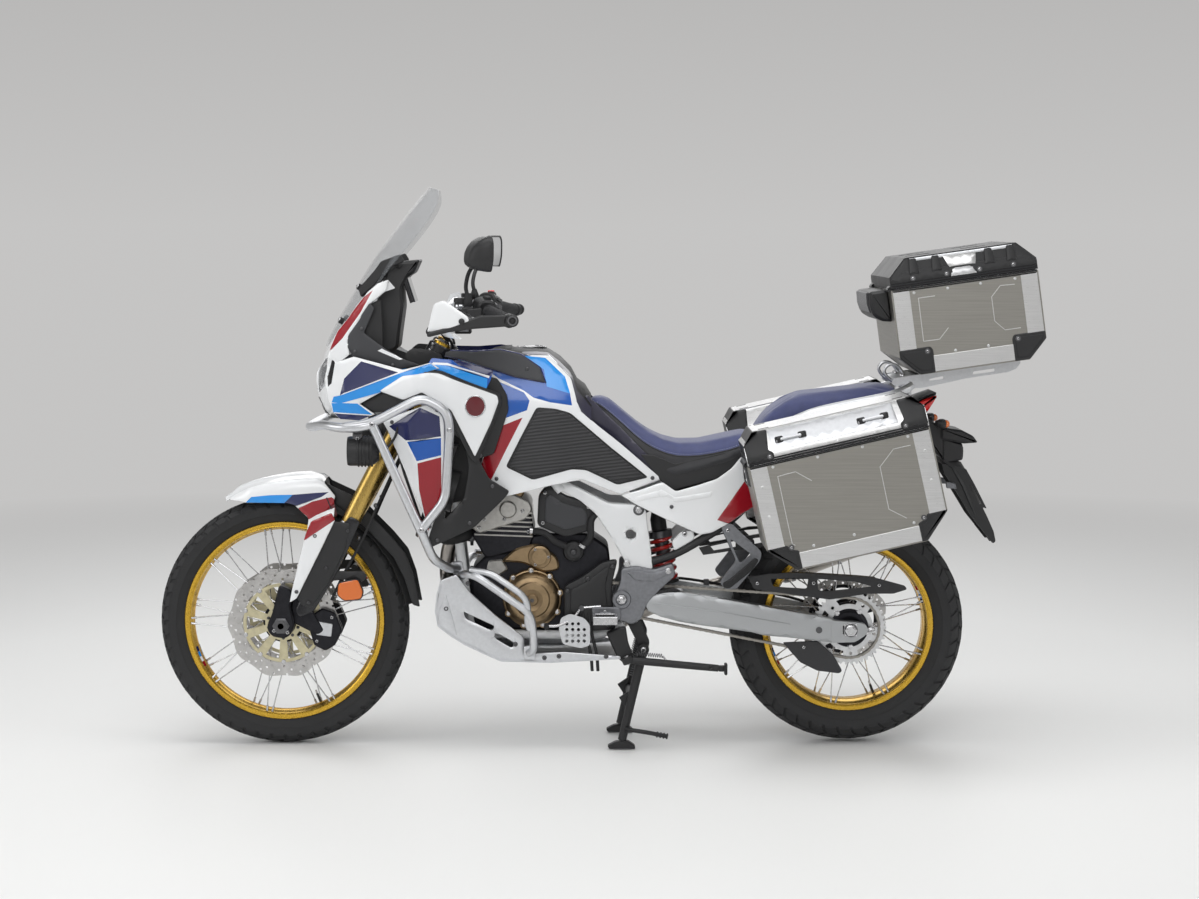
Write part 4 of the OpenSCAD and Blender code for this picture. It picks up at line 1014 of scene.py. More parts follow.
clamps = Mesh()
for z, h in ((1098, 34), (915, 40)):
    c = on_steering(z)
    half = [(-34, 0), (-36, 26), (-26, 52), (-12, 84), (-20, 103), (-10, 128), (14, 136), (40, 132),
            (56, 116), (56, 90), (40, 70), (34, 40), (34, 0)]
    shape = half + [(a, -y) for a, y in half[-2:0:-1]]
    shape = rounded(shape, 9)
    up = leg_axis()
    ahead = Vector((math.cos(RAKE), 0, math.sin(RAKE)))
    verts, n = [], len(shape)
    small = inset(shape, 3)
    for ring, t in ((small, 0), (shape, 3), (shape, h - 3), (small, h)):
        if area(ring) * area(small) < 0:
            ring = ring[::-1]
        verts += [c + ahead * a + Vector((0, y, 0)) + up * (t - h / 2) for a, y in ring]
    faces = [list(range(n))[::-1], [3 * n + k for k in range(n)]]
    for i in range(3):
        for k in range(n):
            q = (k + 1) % n
            faces.append([i * n + k, i * n + q, (i + 1) * n + q, (i + 1) * n + k])
    clamps.add(verts, faces, GLOSSY if z > 1000 else CAST)
    for s in (-1, 1):
        for t in (-9, 9):
            p = c + ahead * 44 + Vector((0, s * 131, 0)) + up * t
            clamps.bolt(p, (0.4, s, 0.2), 9, STEEL)
top_clamp = on_steering(1098)
for s in (-1, 1):
    cap = leg_point(1098, 0, s * FORK_Y) + leg_axis() * 17
    clamps.lathe([(24, 0), (24, 6), (20, 8), (0, 8)], cap, leg_axis(), GOLD, 28)
    clamps.nut(cap + leg_axis() * 8, leg_axis(), 22, DARK_STEEL, 7)
clamps.lathe([(18, 0), (18, 8), (12, 10), (0, 10)], top_clamp + leg_axis() * 17, leg_axis(), STEEL, 24)
clamps.lathe(rect(0, 22, -86, 86), (on_steering(915) + top_clamp) / 2, leg_axis(),
             DARK_STEEL, 28)
clamps.make("triple_clamps_detail", "steering", "triple_clamps", "black_metal")


# ---------------------------------------------------------------- bodywork

FRONTWARD = Matrix(((0, 1, 0, 0), (1, 0, 0, 0), (0, 0, 1, 0), (0, 0, 0, 1)))


def grid(m, rows, thickness, mat):
    """A thin shell over rows of points, thickened against its own normal."""
    rows = [[Vector(p) for p in row] for row in rows]
    n, k = len(rows), len(rows[0])
    under = []
    for i in range(n):
        for j in range(k):
            u = rows[min(i + 1, n - 1)][j] - rows[max(i - 1, 0)][j]
            v = rows[i][min(j + 1, k - 1)] - rows[i][max(j - 1, 0)]
            normal = u.cross(v)
            normal = normal.normalized() if normal.length > 1e-6 else Vector((0, 0, 1))
            under.append(rows[i][j] - normal * thickness)
    verts = [p for row in rows for p in row] + under
    total = n * k
    faces, mats = [], []
    for i in range(n - 1):
        for j in range(k - 1):
            a = i * k + j
            own = mat(i, j) if callable(mat) else mat
            faces.append([a, a + k, a + k + 1, a + 1])
            faces.append([total + a, total + a + 1, total + a + k + 1, total + a + k])
            mats += [own, own]
    rim = [(j, j + 1) for j in range(k - 1)]
    rim += [(i * k + k - 1, (i + 1) * k + k - 1) for i in range(n - 1)]
    rim += [((n - 1) * k + j + 1, (n - 1) * k + j) for j in range(k - 1)]
    rim += [((i + 1) * k, i * k) for i in range(n - 1)]
    for a, b in rim:
        faces.append([a, b, total + b, total + a])
        mats.append(mats[0])
    m.add(verts, faces, mats)


def fairing_y(x, z=0):
    """Half the width of the fairing at x."""
    line = [(120, 186), (180, 212), (300, 262), (400, 266), (470, 226), (560, 182), (640, 146), (700, 124)]
    return smooth_line(line, x) - max(0, z - 1000) * 0.06


def screw(m, x, z, height, d=11, lift=0.6, mat=None):
    """A bodywork screw on the left side."""
    m.bolt((x, height(x, z) + lift, z), (0, 1, 0), d, mat or DARK_STEEL, d * 0.28)


# the white arrow beside the tank, with a thin black shadow panel behind it
ARROW = [(505, 1003), (440, 1046), (373, 1056), (341, 1054), (186, 991), (182, 974), (203, 917), (246, 826),
         (309, 955), (387, 1003), (438, 981)]
fairing = Mesh()
fairing.panel(rounded(ARROW, 6), lambda x, z: fairing_y(x, z) + 1, 5, WHITE, (), 13, 3.5)
back = [(512, 1004), (440, 1053), (373, 1062), (338, 1060), (178, 996), (174, 970), (196, 912), (240, 806),
        (258, 820), (318, 944), (388, 995), (438, 972)]
fairing.panel(rounded(back, 6), lambda x, z: fairing_y(x, z) - 5, 5, BLACK, (), 15, 3)
badge = Vector((245, fairing_y(245, 964) + 0.5, 964))
lean = Vector((-0.38, 1, 0.06))
fairing.lathe([(29.5, -2), (29.5, 2.2), (28, 3.2), (27.2, 2.4), (26.5, 2.2), (18, 4.0), (8, 5.0), (0, 5.2)],
              badge, lean, [STEEL, STEEL, STEEL, STEEL, DEEP_RED, DEEP_RED, DEEP_RED], 48)

# the painted panel ahead of the opening
PAINTED = [(499, 925), (375, 969), (328, 941), (327, 828), (335, 723), (372, 606), (381, 664), (482, 895)]
paint_regions = [
    ([(478, 908), (392, 962), (340, 938), (336, 884), (432, 872)], NAVY),
    ([(428, 868), (336, 880), (336, 833), (402, 817)], BLUE),
    ([(400, 811), (336, 828), (336, 724), (372, 628), (396, 740)], RED),
]
fairing.panel(rounded(PAINTED, 6), lambda x, z: fairing_y(x, z) - 3, 5, WHITE, paint_regions, 13, 3.5)

# the black shroud with its opening over the radiator
SHROUD = [(300, 950), (262, 872), (238, 823), (209, 765), (153, 728), (170, 706), (249, 633), (374, 578),
          (386, 640), (350, 730), (342, 830), (342, 948)]
OPENING = [(322, 905), (276, 868), (262, 800), (276, 712), (330, 655), (318, 740), (322, 830)]
fairing.panel(rounded(SHROUD, 8), lambda x, z: fairing_y(x, z) - 10, 5, BLACK, (), 14, 3.5,
              [rounded(OPENING, 8)])
# the shroud's lip turned in round the opening
lip = [Vector((x, fairing_y(x, z) - 14, z)) for x, z in rounded(OPENING, 8)]
deep = [p + Vector((0, -26, 0)) for p in lip]
grid(fairing, [lip + lip[:1], deep + deep[:1]], 2, GLOSSY)
grid(fairing, [[Vector((385, 250, 590)), Vector((385, 214, 596))],
               [Vector((398, 250, 660)), Vector((398, 196, 660))],
               [Vector((440, 240, 780)), Vector((440, 190, 780))],
               [Vector((470, 222, 880)), Vector((470, 176, 880))]],
     3, BLACK)
for x, z in ((200, 744), (262, 646), (348, 602), (232, 828)):
    screw(fairing, x, z, lambda a, b: fairing_y(a, b) - 10)
for x, z in ((346, 955), (368, 640), (470, 920)):
    screw(fairing, x, z, lambda a, b: fairing_y(a, b) - 3)
# the blue shoulder above the arrow, and the dark strake from it along the tank
SHOULDER = [(384, 1061), (376, 1072), (362, 1093), (283, 1086), (196, 1058), (204, 1030), (216, 1008),
            (329, 1058), (352, 1062)]


def shoulder_y(x, z):
    """Half the width of the blue shoulder of the fairing."""
    return fairing_y(x, z) - 9 - max(0, z - 1050) * 0.7


fairing.panel(rounded(SHOULDER, 4), shoulder_y, 5, BLUE, [
    ([(312, 1092), (283, 1088), (192, 1060), (203, 1042), (290, 1074)], NAVY),
    ([(380, 1068), (355, 1076), (319, 1073), (212, 1037), (214, 1004), (329, 1054), (384, 1060)], SKY),
    ([(380, 1067), (357, 1082), (319, 1080), (206, 1044), (208, 1038), (319, 1074), (355, 1076),
      (382, 1062)], WHITE),
], 10, 2.5)
STRAKE = [(331, 1108), (248, 1106), (182, 1111), (124, 1099), (70, 1062), (56, 1023), (139, 1039),
          (197, 1058), (280, 1085), (331, 1095)]


def strake_y(x, z):
    """Half the width of the strake below the fairing."""
    return smooth_line([(40, 170), (120, 176), (220, 172), (340, 166)], x) - max(0, z - 955) ** 1.5 * 0.02 + 2


fairing.panel(rounded(STRAKE, 5), strake_y, 5, GREY, [], 12, 3)
fairing.panel(rounded(inset(STRAKE, -3), 5), lambda x, z: strake_y(x, z) - 4, 4, NAVY, [], 14, 2)
screw(fairing, 105, 1060, strake_y, 9)
# dark inner panels that close the gaps behind the arrow and beside the steering head
INNER_LOW = [(330, 900), (276, 884), (240, 860), (222, 812), (240, 770), (276, 700), (316, 690), (336, 780)]
INNER_HIGH = [(436, 1058), (440, 1100), (420, 1116), (372, 1112), (340, 1100), (330, 1066), (360, 1050)]
fairing.panel(rounded(INNER_LOW, 8), lambda x, z: 150, 4, BLACK, (), 22, 2)
fairing.panel(rounded(INNER_HIGH, 8), lambda x, z: 146, 4, BLACK, (), 18, 2)
# dark filler between the arrow and the tank
filler = [(236, 1046), (186, 1036), (160, 990), (156, 950), (196, 830), (252, 812), (264, 900), (236, 980)]
fairing.panel(rounded(filler, 8), lambda x, z: 178 + (x - 160) * 0.16, 4, BLACK, (), 18, 3)
fairing.mirror()
fairing.make("side_fairing_panels", "chassis", "side_fairings", "white_paint")

# ---- nose

# the face by height: how far forward, how far it falls back at its sides, and its half width
NOSE_LINE = [(921, 660), (935, 676), (976, 689), (1018, 694), (1046, 692), (1074, 674), (1111, 662),
             (1165, 640), (1200, 622)]
NOSE_BACK = [(921, 44), (976, 40), (1046, 38), (1074, 30), (1111, 20), (1165, 16), (1200, 24)]
NOSE_WIDE = [(921, 92), (940, 112), (976, 128), (1018, 136), (1060, 140), (1110, 140), (1200, 134)]


def nose_x(y, z):
    """How far forward the nose's face is."""
    t = abs(y) / blend_line(NOSE_WIDE, z)
    return blend_line(NOSE_LINE, z) - blend_line(NOSE_BACK, z) * t ** 2.2


FACE = [(0, 1112), (60, 1117), (118, 1140), (131, 1152), (141, 1100), (139, 1046), (134, 1006), (124, 966),
        (104, 934), (84, 922), (0, 920)]
FACE = FACE + [(-y, z) for y, z in FACE[-2:0:-1]]
# outlines of the two lamps and of the small one between them, seen from the front
LAMP = rounded([(13, 1058), (52, 1076), (118, 1090), (129, 1052), (123, 1012), (66, 990), (18, 994)], 9)
LOWER_LAMP = rounded([(50, 966), (-50, 966), (-42, 934), (42, 934)], 8)
face = Mesh()
center = [(22, 1110), (24, 1082), (9, 1060), (12, 992), (30, 980), (-30, 980), (-12, 992), (-9, 1060),
          (-24, 1082), (-22, 1110)]
chin = [(70, 976), (60, 926), (-60, 926), (-70, 976)]
face.panel(FACE, nose_x, 5, WHITE, [(center, GLOSSY), (chin, GLOSSY)], 11, 2.5,
           [LAMP, [(-y, z) for y, z in LAMP], LOWER_LAMP])
nose_side = Mesh()


def cowl_y(x, z):
    """Half the width of the cowl beside the screen and the lamps."""
    t = min(1, max(0, (x - 470) / 190))
    return 158 - 20 * t * t - max(0, z - 1110) * 0.08


RIDGE = [(484, 1302), (512, 1292), (540, 1268), (568, 1234), (595, 1196), (623, 1162), (641, 1124),
         (650, 1088), (620, 1076), (590, 1098), (592, 1122), (592, 1148), (560, 1196), (530, 1240),
         (490, 1272)]
ridge_red = [(525, 1274), (549, 1256), (623, 1163), (648, 1104), (609, 1143), (560, 1212)]
nose_side.panel(rounded(RIDGE, 5), cowl_y, 6, WHITE, [(ridge_red, RED)], 11, 3)
# the ridge's inner face towards the screen
inner = RIDGE[:7] + [(650, 1090)]
grid(nose_side, [[(x, cowl_y(x, z) - 2, z) for x, z in inner],
                 [(x - 4, cowl_y(x, z) - 14, z - 5) for x, z in inner],
                 [(x - 18, cowl_y(x, z) - 20, z - 22) for x, z in inner]], 3, WHITE)

CHEEK = [(650, 1097), (655, 1046), (657, 1018), (651, 976), (636, 940), (616, 922), (563, 920), (518, 939),
         (560, 966), (500, 1000), (447, 1020), (387, 1052), (340, 1067), (363, 1082), (440, 1062),
         (577, 1094), (620, 1080)]


def cheek_y(x, z):
    """Half the width of the nose's cheek."""
    return fairing_y(x, z) - 4 + max(0, x - 600) * 0.05


cheek_regions = [
    ([(556, 1082), (452, 1055), (606, 994), (617, 987), (604, 1034)], NAVY),
    ([(363, 1080), (447, 1053), (614, 988), (634, 984), (640, 968), (614, 966), (500, 1000), (447, 1020),
      (387, 1051), (345, 1067)], SKY),
    ([(614, 967), (640, 966), (636, 941), (525, 938), (567, 967)], SKY),
    ([(632, 938), (616, 923), (563, 921), (530, 935)], NAVY),
    ([(640, 1096), (630, 1076), (640, 1020), (650, 1010), (652, 1046)], GLOSSY),
]
nose_side.panel(CHEEK, cheek_y, 6, WHITE, cheek_regions, 12, 3.5)
# dark wedge under the blue strip, and the dark air guide above it
nose_side.panel([(590, 975), (540, 988), (452, 1012), (440, 985), (466, 948), (530, 942)],
           lambda x, z: fairing_y(x, z) - 16, 4, BLACK, (), 14, 3)
GUIDE = [(534, 1240), (594, 1150), (596, 1118), (578, 1090), (457, 1058), (396, 1074), (449, 1091),
         (494, 1118), (550, 1158), (520, 1225)]
nose_side.panel(rounded(GUIDE, 5), lambda x, z: 150 + max(0, 560 - x) * 0.32 - max(0, z - 1110) * 0.05, 5,
                GREY,
           [([(512, 1110), (452, 1086), (440, 1089), (500, 1116)], WHITE)], 13, 3)
for x, z in ((575, 1108), (470, 1072), (556, 1170)):
    nose_side.bolt((x, 152 + max(0, 560 - x) * 0.32, z), (0, 1, 0), 9, DARK_STEEL, 2)
nose = Mesh()
nose.merge(face, FRONTWARD)
nose.merge(nose_side.mirror())
# belly of the nose
rows = []
for x, w in ((655, 84), (630, 100), (604, 118), (580, 134), (560, 146)):
    z = blend_line([(550, 926), (563, 920), (620, 921), (655, 922)], x)
    rows.append([(x, w * s / 4, z - 6 + abs(s) * 1.5) for s in range(-4, 5)])
grid(nose, rows, 3, BLACK)
nose.make("nose_cowl_panels", "chassis", "nose_cowl", "white_paint")

# ---- lamps

lamps = Mesh()
bowl = Mesh()
for outline in (LAMP, [(-y, z) for y, z in LAMP][::-1]):
    bowl.panel(inset(outline, -2), lambda y, z: nose_x(y, z) - 4.5, 3, LENS, (), 16, 2)
bowl.panel(inset(LOWER_LAMP, -2), lambda y, z: nose_x(y, z) - 4.5, 3, LENS, (), 16, 2)
lamps.merge(bowl, FRONTWARD)
for s in (1, -1):
    for i, (y, z, r) in enumerate(((40, 1036, 19), (82, 1042, 22))):
        p = Vector((nose_x(y, z) - 30 - i * 8, s * y, z))
        lamps.lathe([(r, 14), (r + 2, 12), (r + 2, -4), (r * 0.5, -12), (0, -14), (0, -11), (r * 0.6, -8),
                     (r - 1, 2), (r - 1, 14)], p, (1, 0, 0), REFLECTOR, 36)
        lamps.ball(p + Vector((2, 0, 0)), r * 1.5, LENS, (0.5, 1, 1))
        lamps.lathe(rect(r + 2, r + 5, 13, 0), p, (1, 0, 0), GLOSSY, 36)
    bar = [(nose_x(y, z) - 10, s * y, z) for y, z in ((18, 1004), (60, 1001), (98, 1011), (122, 1028),
                                                      (126, 1056))]
    lamps.tube(smooth_path(bar, 5), 6, DAYLIGHT, 10)
    shell = [[(blend_line(NOSE_LINE, z) - 62 + abs(y) * 0.06 - abs(z - 1036) * 0.3, s * y, z)
              for y in (8, 30, 55, 80, 105, 130)] for z in (984, 1004, 1030, 1056, 1080, 1094)]
    grid(lamps, shell if s > 0 else [r[::-1] for r in shell], 2, GLOSSY)
p = Vector((nose_x(0, 950) - 24, 0, 950))
for dy in (-24, 0, 24):
    lamps.lathe([(10, 10), (11, 8), (11, -4), (5, -8), (0, -9), (0, -7), (5, -5), (9.5, 2), (9.5, 10)],
                p + Vector((0, dy, 0)), (1, 0, 0), REFLECTOR, 24)
lamps.make("headlamp_units", "chassis", "headlights", "lamp_lens")


# ---- front mudguard

BEAK = [(946, 690), (915, 708), (885, 723), (840, 736), (788, 746), (735, 752), (683, 753), (668, 741),
        (637, 704), (642, 690), (632, 650), (700, 612), (712, 625), (712, 642), (751, 679), (770, 684),
        (830, 684), (888, 683)]


def beak_y(x, z):
    """Half the width of the front mudguard's blade: narrow at its tip and rounded over the top."""
    wide = blend_line([(600, 92), (700, 90), (800, 80), (880, 66), (946, 34)], x)
    top = blend_line([(640, 742), (683, 756), (735, 755), (788, 749), (840, 739), (885, 727), (946, 694)], x)
    t = max(0, min(1, (z - (top - 30)) / 34))
    return wide - 20 * t * t


mudguard = Mesh()
mudguard.panel(rounded(BEAK, 5), beak_y, 4, WHITE, [
    ([(888, 684), (872, 700), (820, 706), (755, 708), (780, 684)], SKY),
    ([(755, 708), (700, 713), (655, 716), (676, 702), (750, 676), (780, 684)], NAVY),
    ([(744, 668), (700, 690), (648, 702), (634, 690), (640, 680), (707, 634), (718, 650)], RED),
    ([(707, 628), (640, 684), (630, 650), (715, 598)], DEEP_RED)], 11, 3)
leg_cover = [(716, 604), (735, 530), (755, 450), (762, 414), (742, 426), (700, 510), (664, 582), (634, 644),
             (644, 664), (700, 640)]
mudguard.panel(rounded(leg_cover, 5), lambda x, z: 138 + (z - 420) * 0.01, 4, WHITE, [
    ([(722, 640), (640, 690), (625, 650), (722, 586)], RED)], 13, 3)
dark_cover = [(640, 640), (664, 582), (700, 510), (742, 426), (726, 404), (702, 398), (652, 470), (607, 560),
              (592, 634)]
mudguard.panel(rounded(dark_cover, 8), lambda x, z: 134, 4, BLACK, (), 15, 3)
# side web that joins the blade to the leg covers
grid(mudguard, [[(x, beak_y(x, 640) - 4, z) for x, z in ((712, 642), (690, 655), (660, 668), (640, 676))],
                [(x, 136, z - 26) for x, z in ((712, 636), (690, 645), (660, 655), (640, 660))]], 3, WHITE)
for x, z in ((690, 600), (742, 445)):
    screw(mudguard, x, z, lambda a, b: 138)
mudguard.mirror()
# the blade's top skin, from side to side
rows = []
for x in (946, 930, 905, 880, 850, 815, 780, 745, 710, 680, 668):
    top = blend_line([(660, 738), (683, 754), (735, 753), (788, 747), (840, 737), (885, 724), (915, 709),
                      (946, 691)], x)
    w = beak_y(x, top - 3) + 1
    row = []
    for k in range(-6, 7):
        s = k / 6
        rise = 10 * (1 - s * s) + (9 * math.exp(-(s * 3.2) ** 2) if 690 < x < 930 else 0)
        row.append((x + 6 * (1 - s * s) * (x > 900), w * s, top - 6 + rise))
    rows.append(row)


def blade_paint(i, j):
    """The colour of each face of the guard's blade."""
    return SKY if 3 <= i <= 4 and j in (0, 11) else NAVY if 5 <= i <= 8 and j in (0, 11) else WHITE


grid(mudguard, rows[::-1], 4, blade_paint)
# black hugger behind the front tyre
hugger = [(14, 96), (14, 110), (14, 124), (14, 138), (14, 152), (14, 164), (16, 172)]
rows = []
for gap, a in hugger:
    rows.append([wheel_point(FRONT, FRONT_R + gap + 8 - 26 * abs(k / 5) ** 3, a, 60 * (k / 5))
                 for k in range(-5, 6)])
grid(mudguard, rows[::-1], 4, BLACK)
HUGGER_SIDE = [(666, 738), (592, 703), (541, 646), (487, 591), (446, 541), (423, 477), (407, 390), (428, 396),
               (450, 470), (480, 530), (560, 616), (640, 676)]
side_web = Mesh()
side_web.panel(rounded(HUGGER_SIDE, 6), lambda x, z: 62, 4, BLACK, (), 20, 3)
bracket = [(670, 500), (560, 500), (548, 486), (560, 470), (610, 476), (670, 470)]
side_web.panel(rounded(bracket, 6), lambda x, z: 122, 4, BLACK, (), 20, 3)
side_web.rod((592, 96, 448), (592, 122, 448), 18, BLACK)
side_web.rod((600, 60, 485), (600, 120, 485), 16, BLACK)
grid(side_web, [[(668, 60, 745), (640, 62, 700)], [(660, 92, 700), (640, 92, 650)]], 3, BLACK)
side_web.mirror()
mudguard.merge(side_web)
mudguard.make("front_mudguard_panels", "steering", "front_mudguard", "white_paint")

reflector = Mesh()
for s in (1, -1):
    outline = rounded([(626, 468), (574, 478), (560, 444), (566, 424), (612, 420), (630, 436)], 8)
    reflector.prism(outline, s * 132 - 5, s * 132 + 5, ORANGE, 2)
    reflector.prism(inset(outline, -3), s * 128 - 5, s * 128 + 3, BLACK, 2)
reflector.make("front_side_reflectors", "steering", slot="black_plastic")

# ---- screen

screen = Mesh()
SCREEN = [(1112, 668, 70, 26), (1188, 630, 108, 40), (1278, 577, 112, 46), (1348, 535, 124, 54),
          (1399, 498, 138, 60), (1459, 452, 138, 62), (1510, 412, 118, 58), (1540, 385, 86, 42),
          (1556, 368, 46, 16)]
rows = []
for z in [1116 + k * 14.6 for k in range(31)]:
    z = min(z, 1553)
    x = smooth_line([(q[0], q[1]) for q in SCREEN], z)
    w = smooth_line([(q[0], q[2]) for q in SCREEN], z)
    bow = smooth_line([(q[0], q[3]) for q in SCREEN], z)
    rows.append([(x - bow * abs(s / 8) ** 2.1, w * s / 8, z - bow * 0.3 * abs(s / 8) ** 2)
                 for s in range(-8, 9)])
grid(screen, rows, 4, CLEAR)
screen.make("windscreen_sheet", "chassis", "windscreen", "screen_clear", crease=60)

# ---- instruments, their hood and the screen's carrier

dash = Mesh()
HOOD = [(461, 1350), (400, 1356), (417, 1318), (433, 1310), (450, 1276), (446, 1228), (456, 1158),
        (462, 1112), (482, 1102), (530, 1112), (549, 1152), (526, 1222), (505, 1290), (490, 1330)]
dash.prism(rounded(HOOD, 8), -84, 84, BLACK, 8)
display = Mesh()
display.prism([(418, 1240), (428, 1236), (452, 1312), (442, 1316)], -78, 78, GLOSSY, 2)
display.prism([(414, 1240), (418, 1239), (440, 1310), (437, 1312)], -66, 66,
              glass("display_glass", (0.02, 0.025, 0.03), 0.05, 1.0), 1)
dash.merge(display)
for s in (1, -1):
    arm = [(505, 1352), (520, 1330), (567, 1276), (560, 1255), (520, 1290), (490, 1330), (440, 1352),
           (452, 1372)]
    dash.prism(rounded(arm, 6), s * 112 - 5, s * 112 + 5, BLACK, 2)
    dash.tube([Vector((500, s * 80, 1316)), Vector((516, s * 110, 1318))], 16, BLACK)
    dash.tube([Vector((545, s * 70, 1262)), Vector((556, s * 112, 1262))], 14, BLACK)
    for x, z, y in ((512, 1342, 104), (577, 1282, 98), (628, 1190, 96), (470, 1342, 96)):
        dash.lathe([(9, -8), (9, 2), (7, 4), (0, 4)], (x + 2 - y * 0.12, s * y * 0.9, z),
                   Vector((0.75, s * 0.3, 0.45)), RUBBER, 20)
        dash.bolt(Vector((x + 4 - y * 0.12, s * y * 0.92, z + 2)), Vector((0.75, s * 0.3, 0.45)), 9, STEEL)
fin = [(534, 1236), (594, 1150), (596, 1118), (560, 1104), (500, 1120), (500, 1180), (505, 1250)]
for s in (1, -1):
    dash.prism(rounded(fin, 6), s * 128 - 4, s * 128 + 4, BLACK, 2)
dash.make("instrument_unit", "chassis", slot="black_plastic")


# ---- tank

DARK_TANK = paint("dark_tank_paint", (0.018, 0.016, 0.040), 0.5)

def tank_y(x, z):
    """Half the width of the tank: widest ahead of the knee pads, narrower to the rear and the top."""
    base = smooth_line([(-260, 128), (-150, 140), (-60, 152), (40, 168), (120, 172), (200, 166),
                        (260, 150)], x)
    return base - max(0, z - 955) ** 1.5 * 0.022 - max(0, 760 - z) * 0.05


TANK_SIDE = [(228, 1030), (205, 1062), (150, 1090), (105, 1098), (46, 1097), (-14, 1038), (-31, 971),
             (-42, 943), (-92, 900), (-152, 852), (-255, 762), (-258, 752), (-150, 713), (-45, 756),
             (43, 740), (163, 711), (207, 748), (232, 800), (205, 905), (180, 968), (190, 1000)]
tank = Mesh()
tank.panel(TANK_SIDE, tank_y, 5, WHITE, [
    ([(200, 1028), (186, 1026), (114, 996), (99, 974), (106, 948), (179, 921), (206, 905), (190, 1018)],
     BLUE),
    ([(206, 1064), (150, 1092), (96, 1093), (56, 1089), (2, 1038), (-12, 990), (-17, 960), (42, 969),
      (88, 982), (114, 1001), (184, 1034), (200, 1046)], BLUE),
    ([(130, 1100), (96, 1093), (56, 1089), (2, 1038), (-12, 992), (52, 1012), (60, 1058)], SKY),
    ([(118, 928), (190, 899), (216, 839), (232, 798), (207, 752), (160, 846)], RED),
], 13, 3.5)
PAD = [(77, 951), (30, 947), (-9, 936), (-120, 840), (-216, 762), (-142, 745), (-56, 787), (-15, 790),
       (90, 762), (158, 795), (120, 870)]
tank.panel(rounded(PAD, 9), lambda x, z: tank_y(x, z) + 5, 5, KNEE_PAD, (), 12, 4)
tank.panel(rounded(inset(PAD, -5), 9), lambda x, z: tank_y(x, z) + 1.6, 3, BLACK, (), 15, 1.5)
# dark infill between the side panel and the seat
INFILL = [(-16, 956), (-36, 982), (-60, 984), (-88, 956), (-150, 896), (-240, 804), (-264, 756), (-250, 754),
          (-130, 868), (-30, 940)]
tank.panel(rounded(INFILL, 4), lambda x, z: smooth_line([(-270, 124), (-150, 110), (-100, 98), (-20, 104)],
                                                        x), 4,
           DARK_TANK, (), 14, 2)
screw(tank, -238, 758, tank_y)
screw(tank, 190, 760, tank_y)
tank.mirror()
# the tank's upper skin, from one side panel's edge to the other
TOP = [(228, 1030, 1074), (205, 1062, 1098), (176, 1078, 1112), (120, 1096, 1112), (80, 1098, 1112),
       (48, 1096, 1108), (16, 1066, 1088), (-14, 1036, 1058), (-31, 970, 1026), (-53, 936, 1010),
       (-70, 920, 982)]
rows = []
for x, edge_z, mid_z in TOP:
    w = tank_y(x, edge_z)
    row = []
    for k in range(-8, 9):
        s = k / 8
        row.append((x + (10 * (1 - s * s) if x > 200 else 0), w * s,
                    edge_z + (mid_z - edge_z) * (1 - abs(s) ** 2.4)))
    rows.append(row)


def top_paint(i, j):
    """The colour of each face of the tank's upper skin."""
    return BLACK if 2 <= j <= 13 or i < 3 else DARK_TANK


grid(tank, rows[::-1], 5, lambda i, j: top_paint(len(rows) - 2 - i, j))
# filler cap, its surround, and the raised dark cover in front of it
cap_at = Vector((96, 0, 1110))
tank.lathe([(0, -6), (44, -6), (44, 1), (40, 4), (34, 4.5), (33, 3), (26, 3), (25, 5), (12, 6), (0, 6)],
           cap_at, (0.04, 0, 1), [GLOSSY, GLOSSY, GLOSSY, STEEL, STEEL, STEEL, BLACK, ALUMINIUM, ALUMINIUM],
           48)
for a in range(0, 360, 60):
    p = cap_at + Vector((37 * math.cos(math.radians(a)), 37 * math.sin(math.radians(a)), 4))
    tank.bolt(p, (0.04, 0, 1), 6, STEEL, 2)
tank.rod(cap_at + Vector((-16, 0, 4)), cap_at + Vector((-16, 0, 8)), 12, DARK_STEEL)
rows = []
for x, w, z in ((246, 60, 1084), (224, 74, 1096), (196, 84, 1106), (166, 88, 1112), (150, 60, 1113)):
    rows.append([(x, w * s / 6, z + 5 - 12 * abs(s / 6) ** 3) for s in range(-6, 7)])
grid(tank, rows[::-1], 6, BLACK)
tank.make("fuel_tank_panels", "chassis", "fuel_tank", "tank_paint")

# ---- tail side covers

TAIL = [(-150, 711), (-205, 726), (-265, 748), (-302, 722), (-360, 738), (-416, 756), (-455, 784),
        (-484, 818), (-492, 750), (-531, 684), (-490, 660), (-450, 632), (-401, 606), (-370, 601),
        (-280, 642), (-192, 685)]


def tail_y(x, z):
    """Half the width of the tail covers."""
    return smooth_line([(-540, 118), (-480, 130), (-400, 142), (-300, 148), (-200, 142), (-150, 134)], x) \
        - max(0, 650 - z) * 0.12


tail = Mesh()
tail.panel(rounded(TAIL, 7), tail_y, 5, WHITE, [
    ([(-492, 748), (-416, 642), (-453, 630), (-535, 684)], RED)], 13, 4)
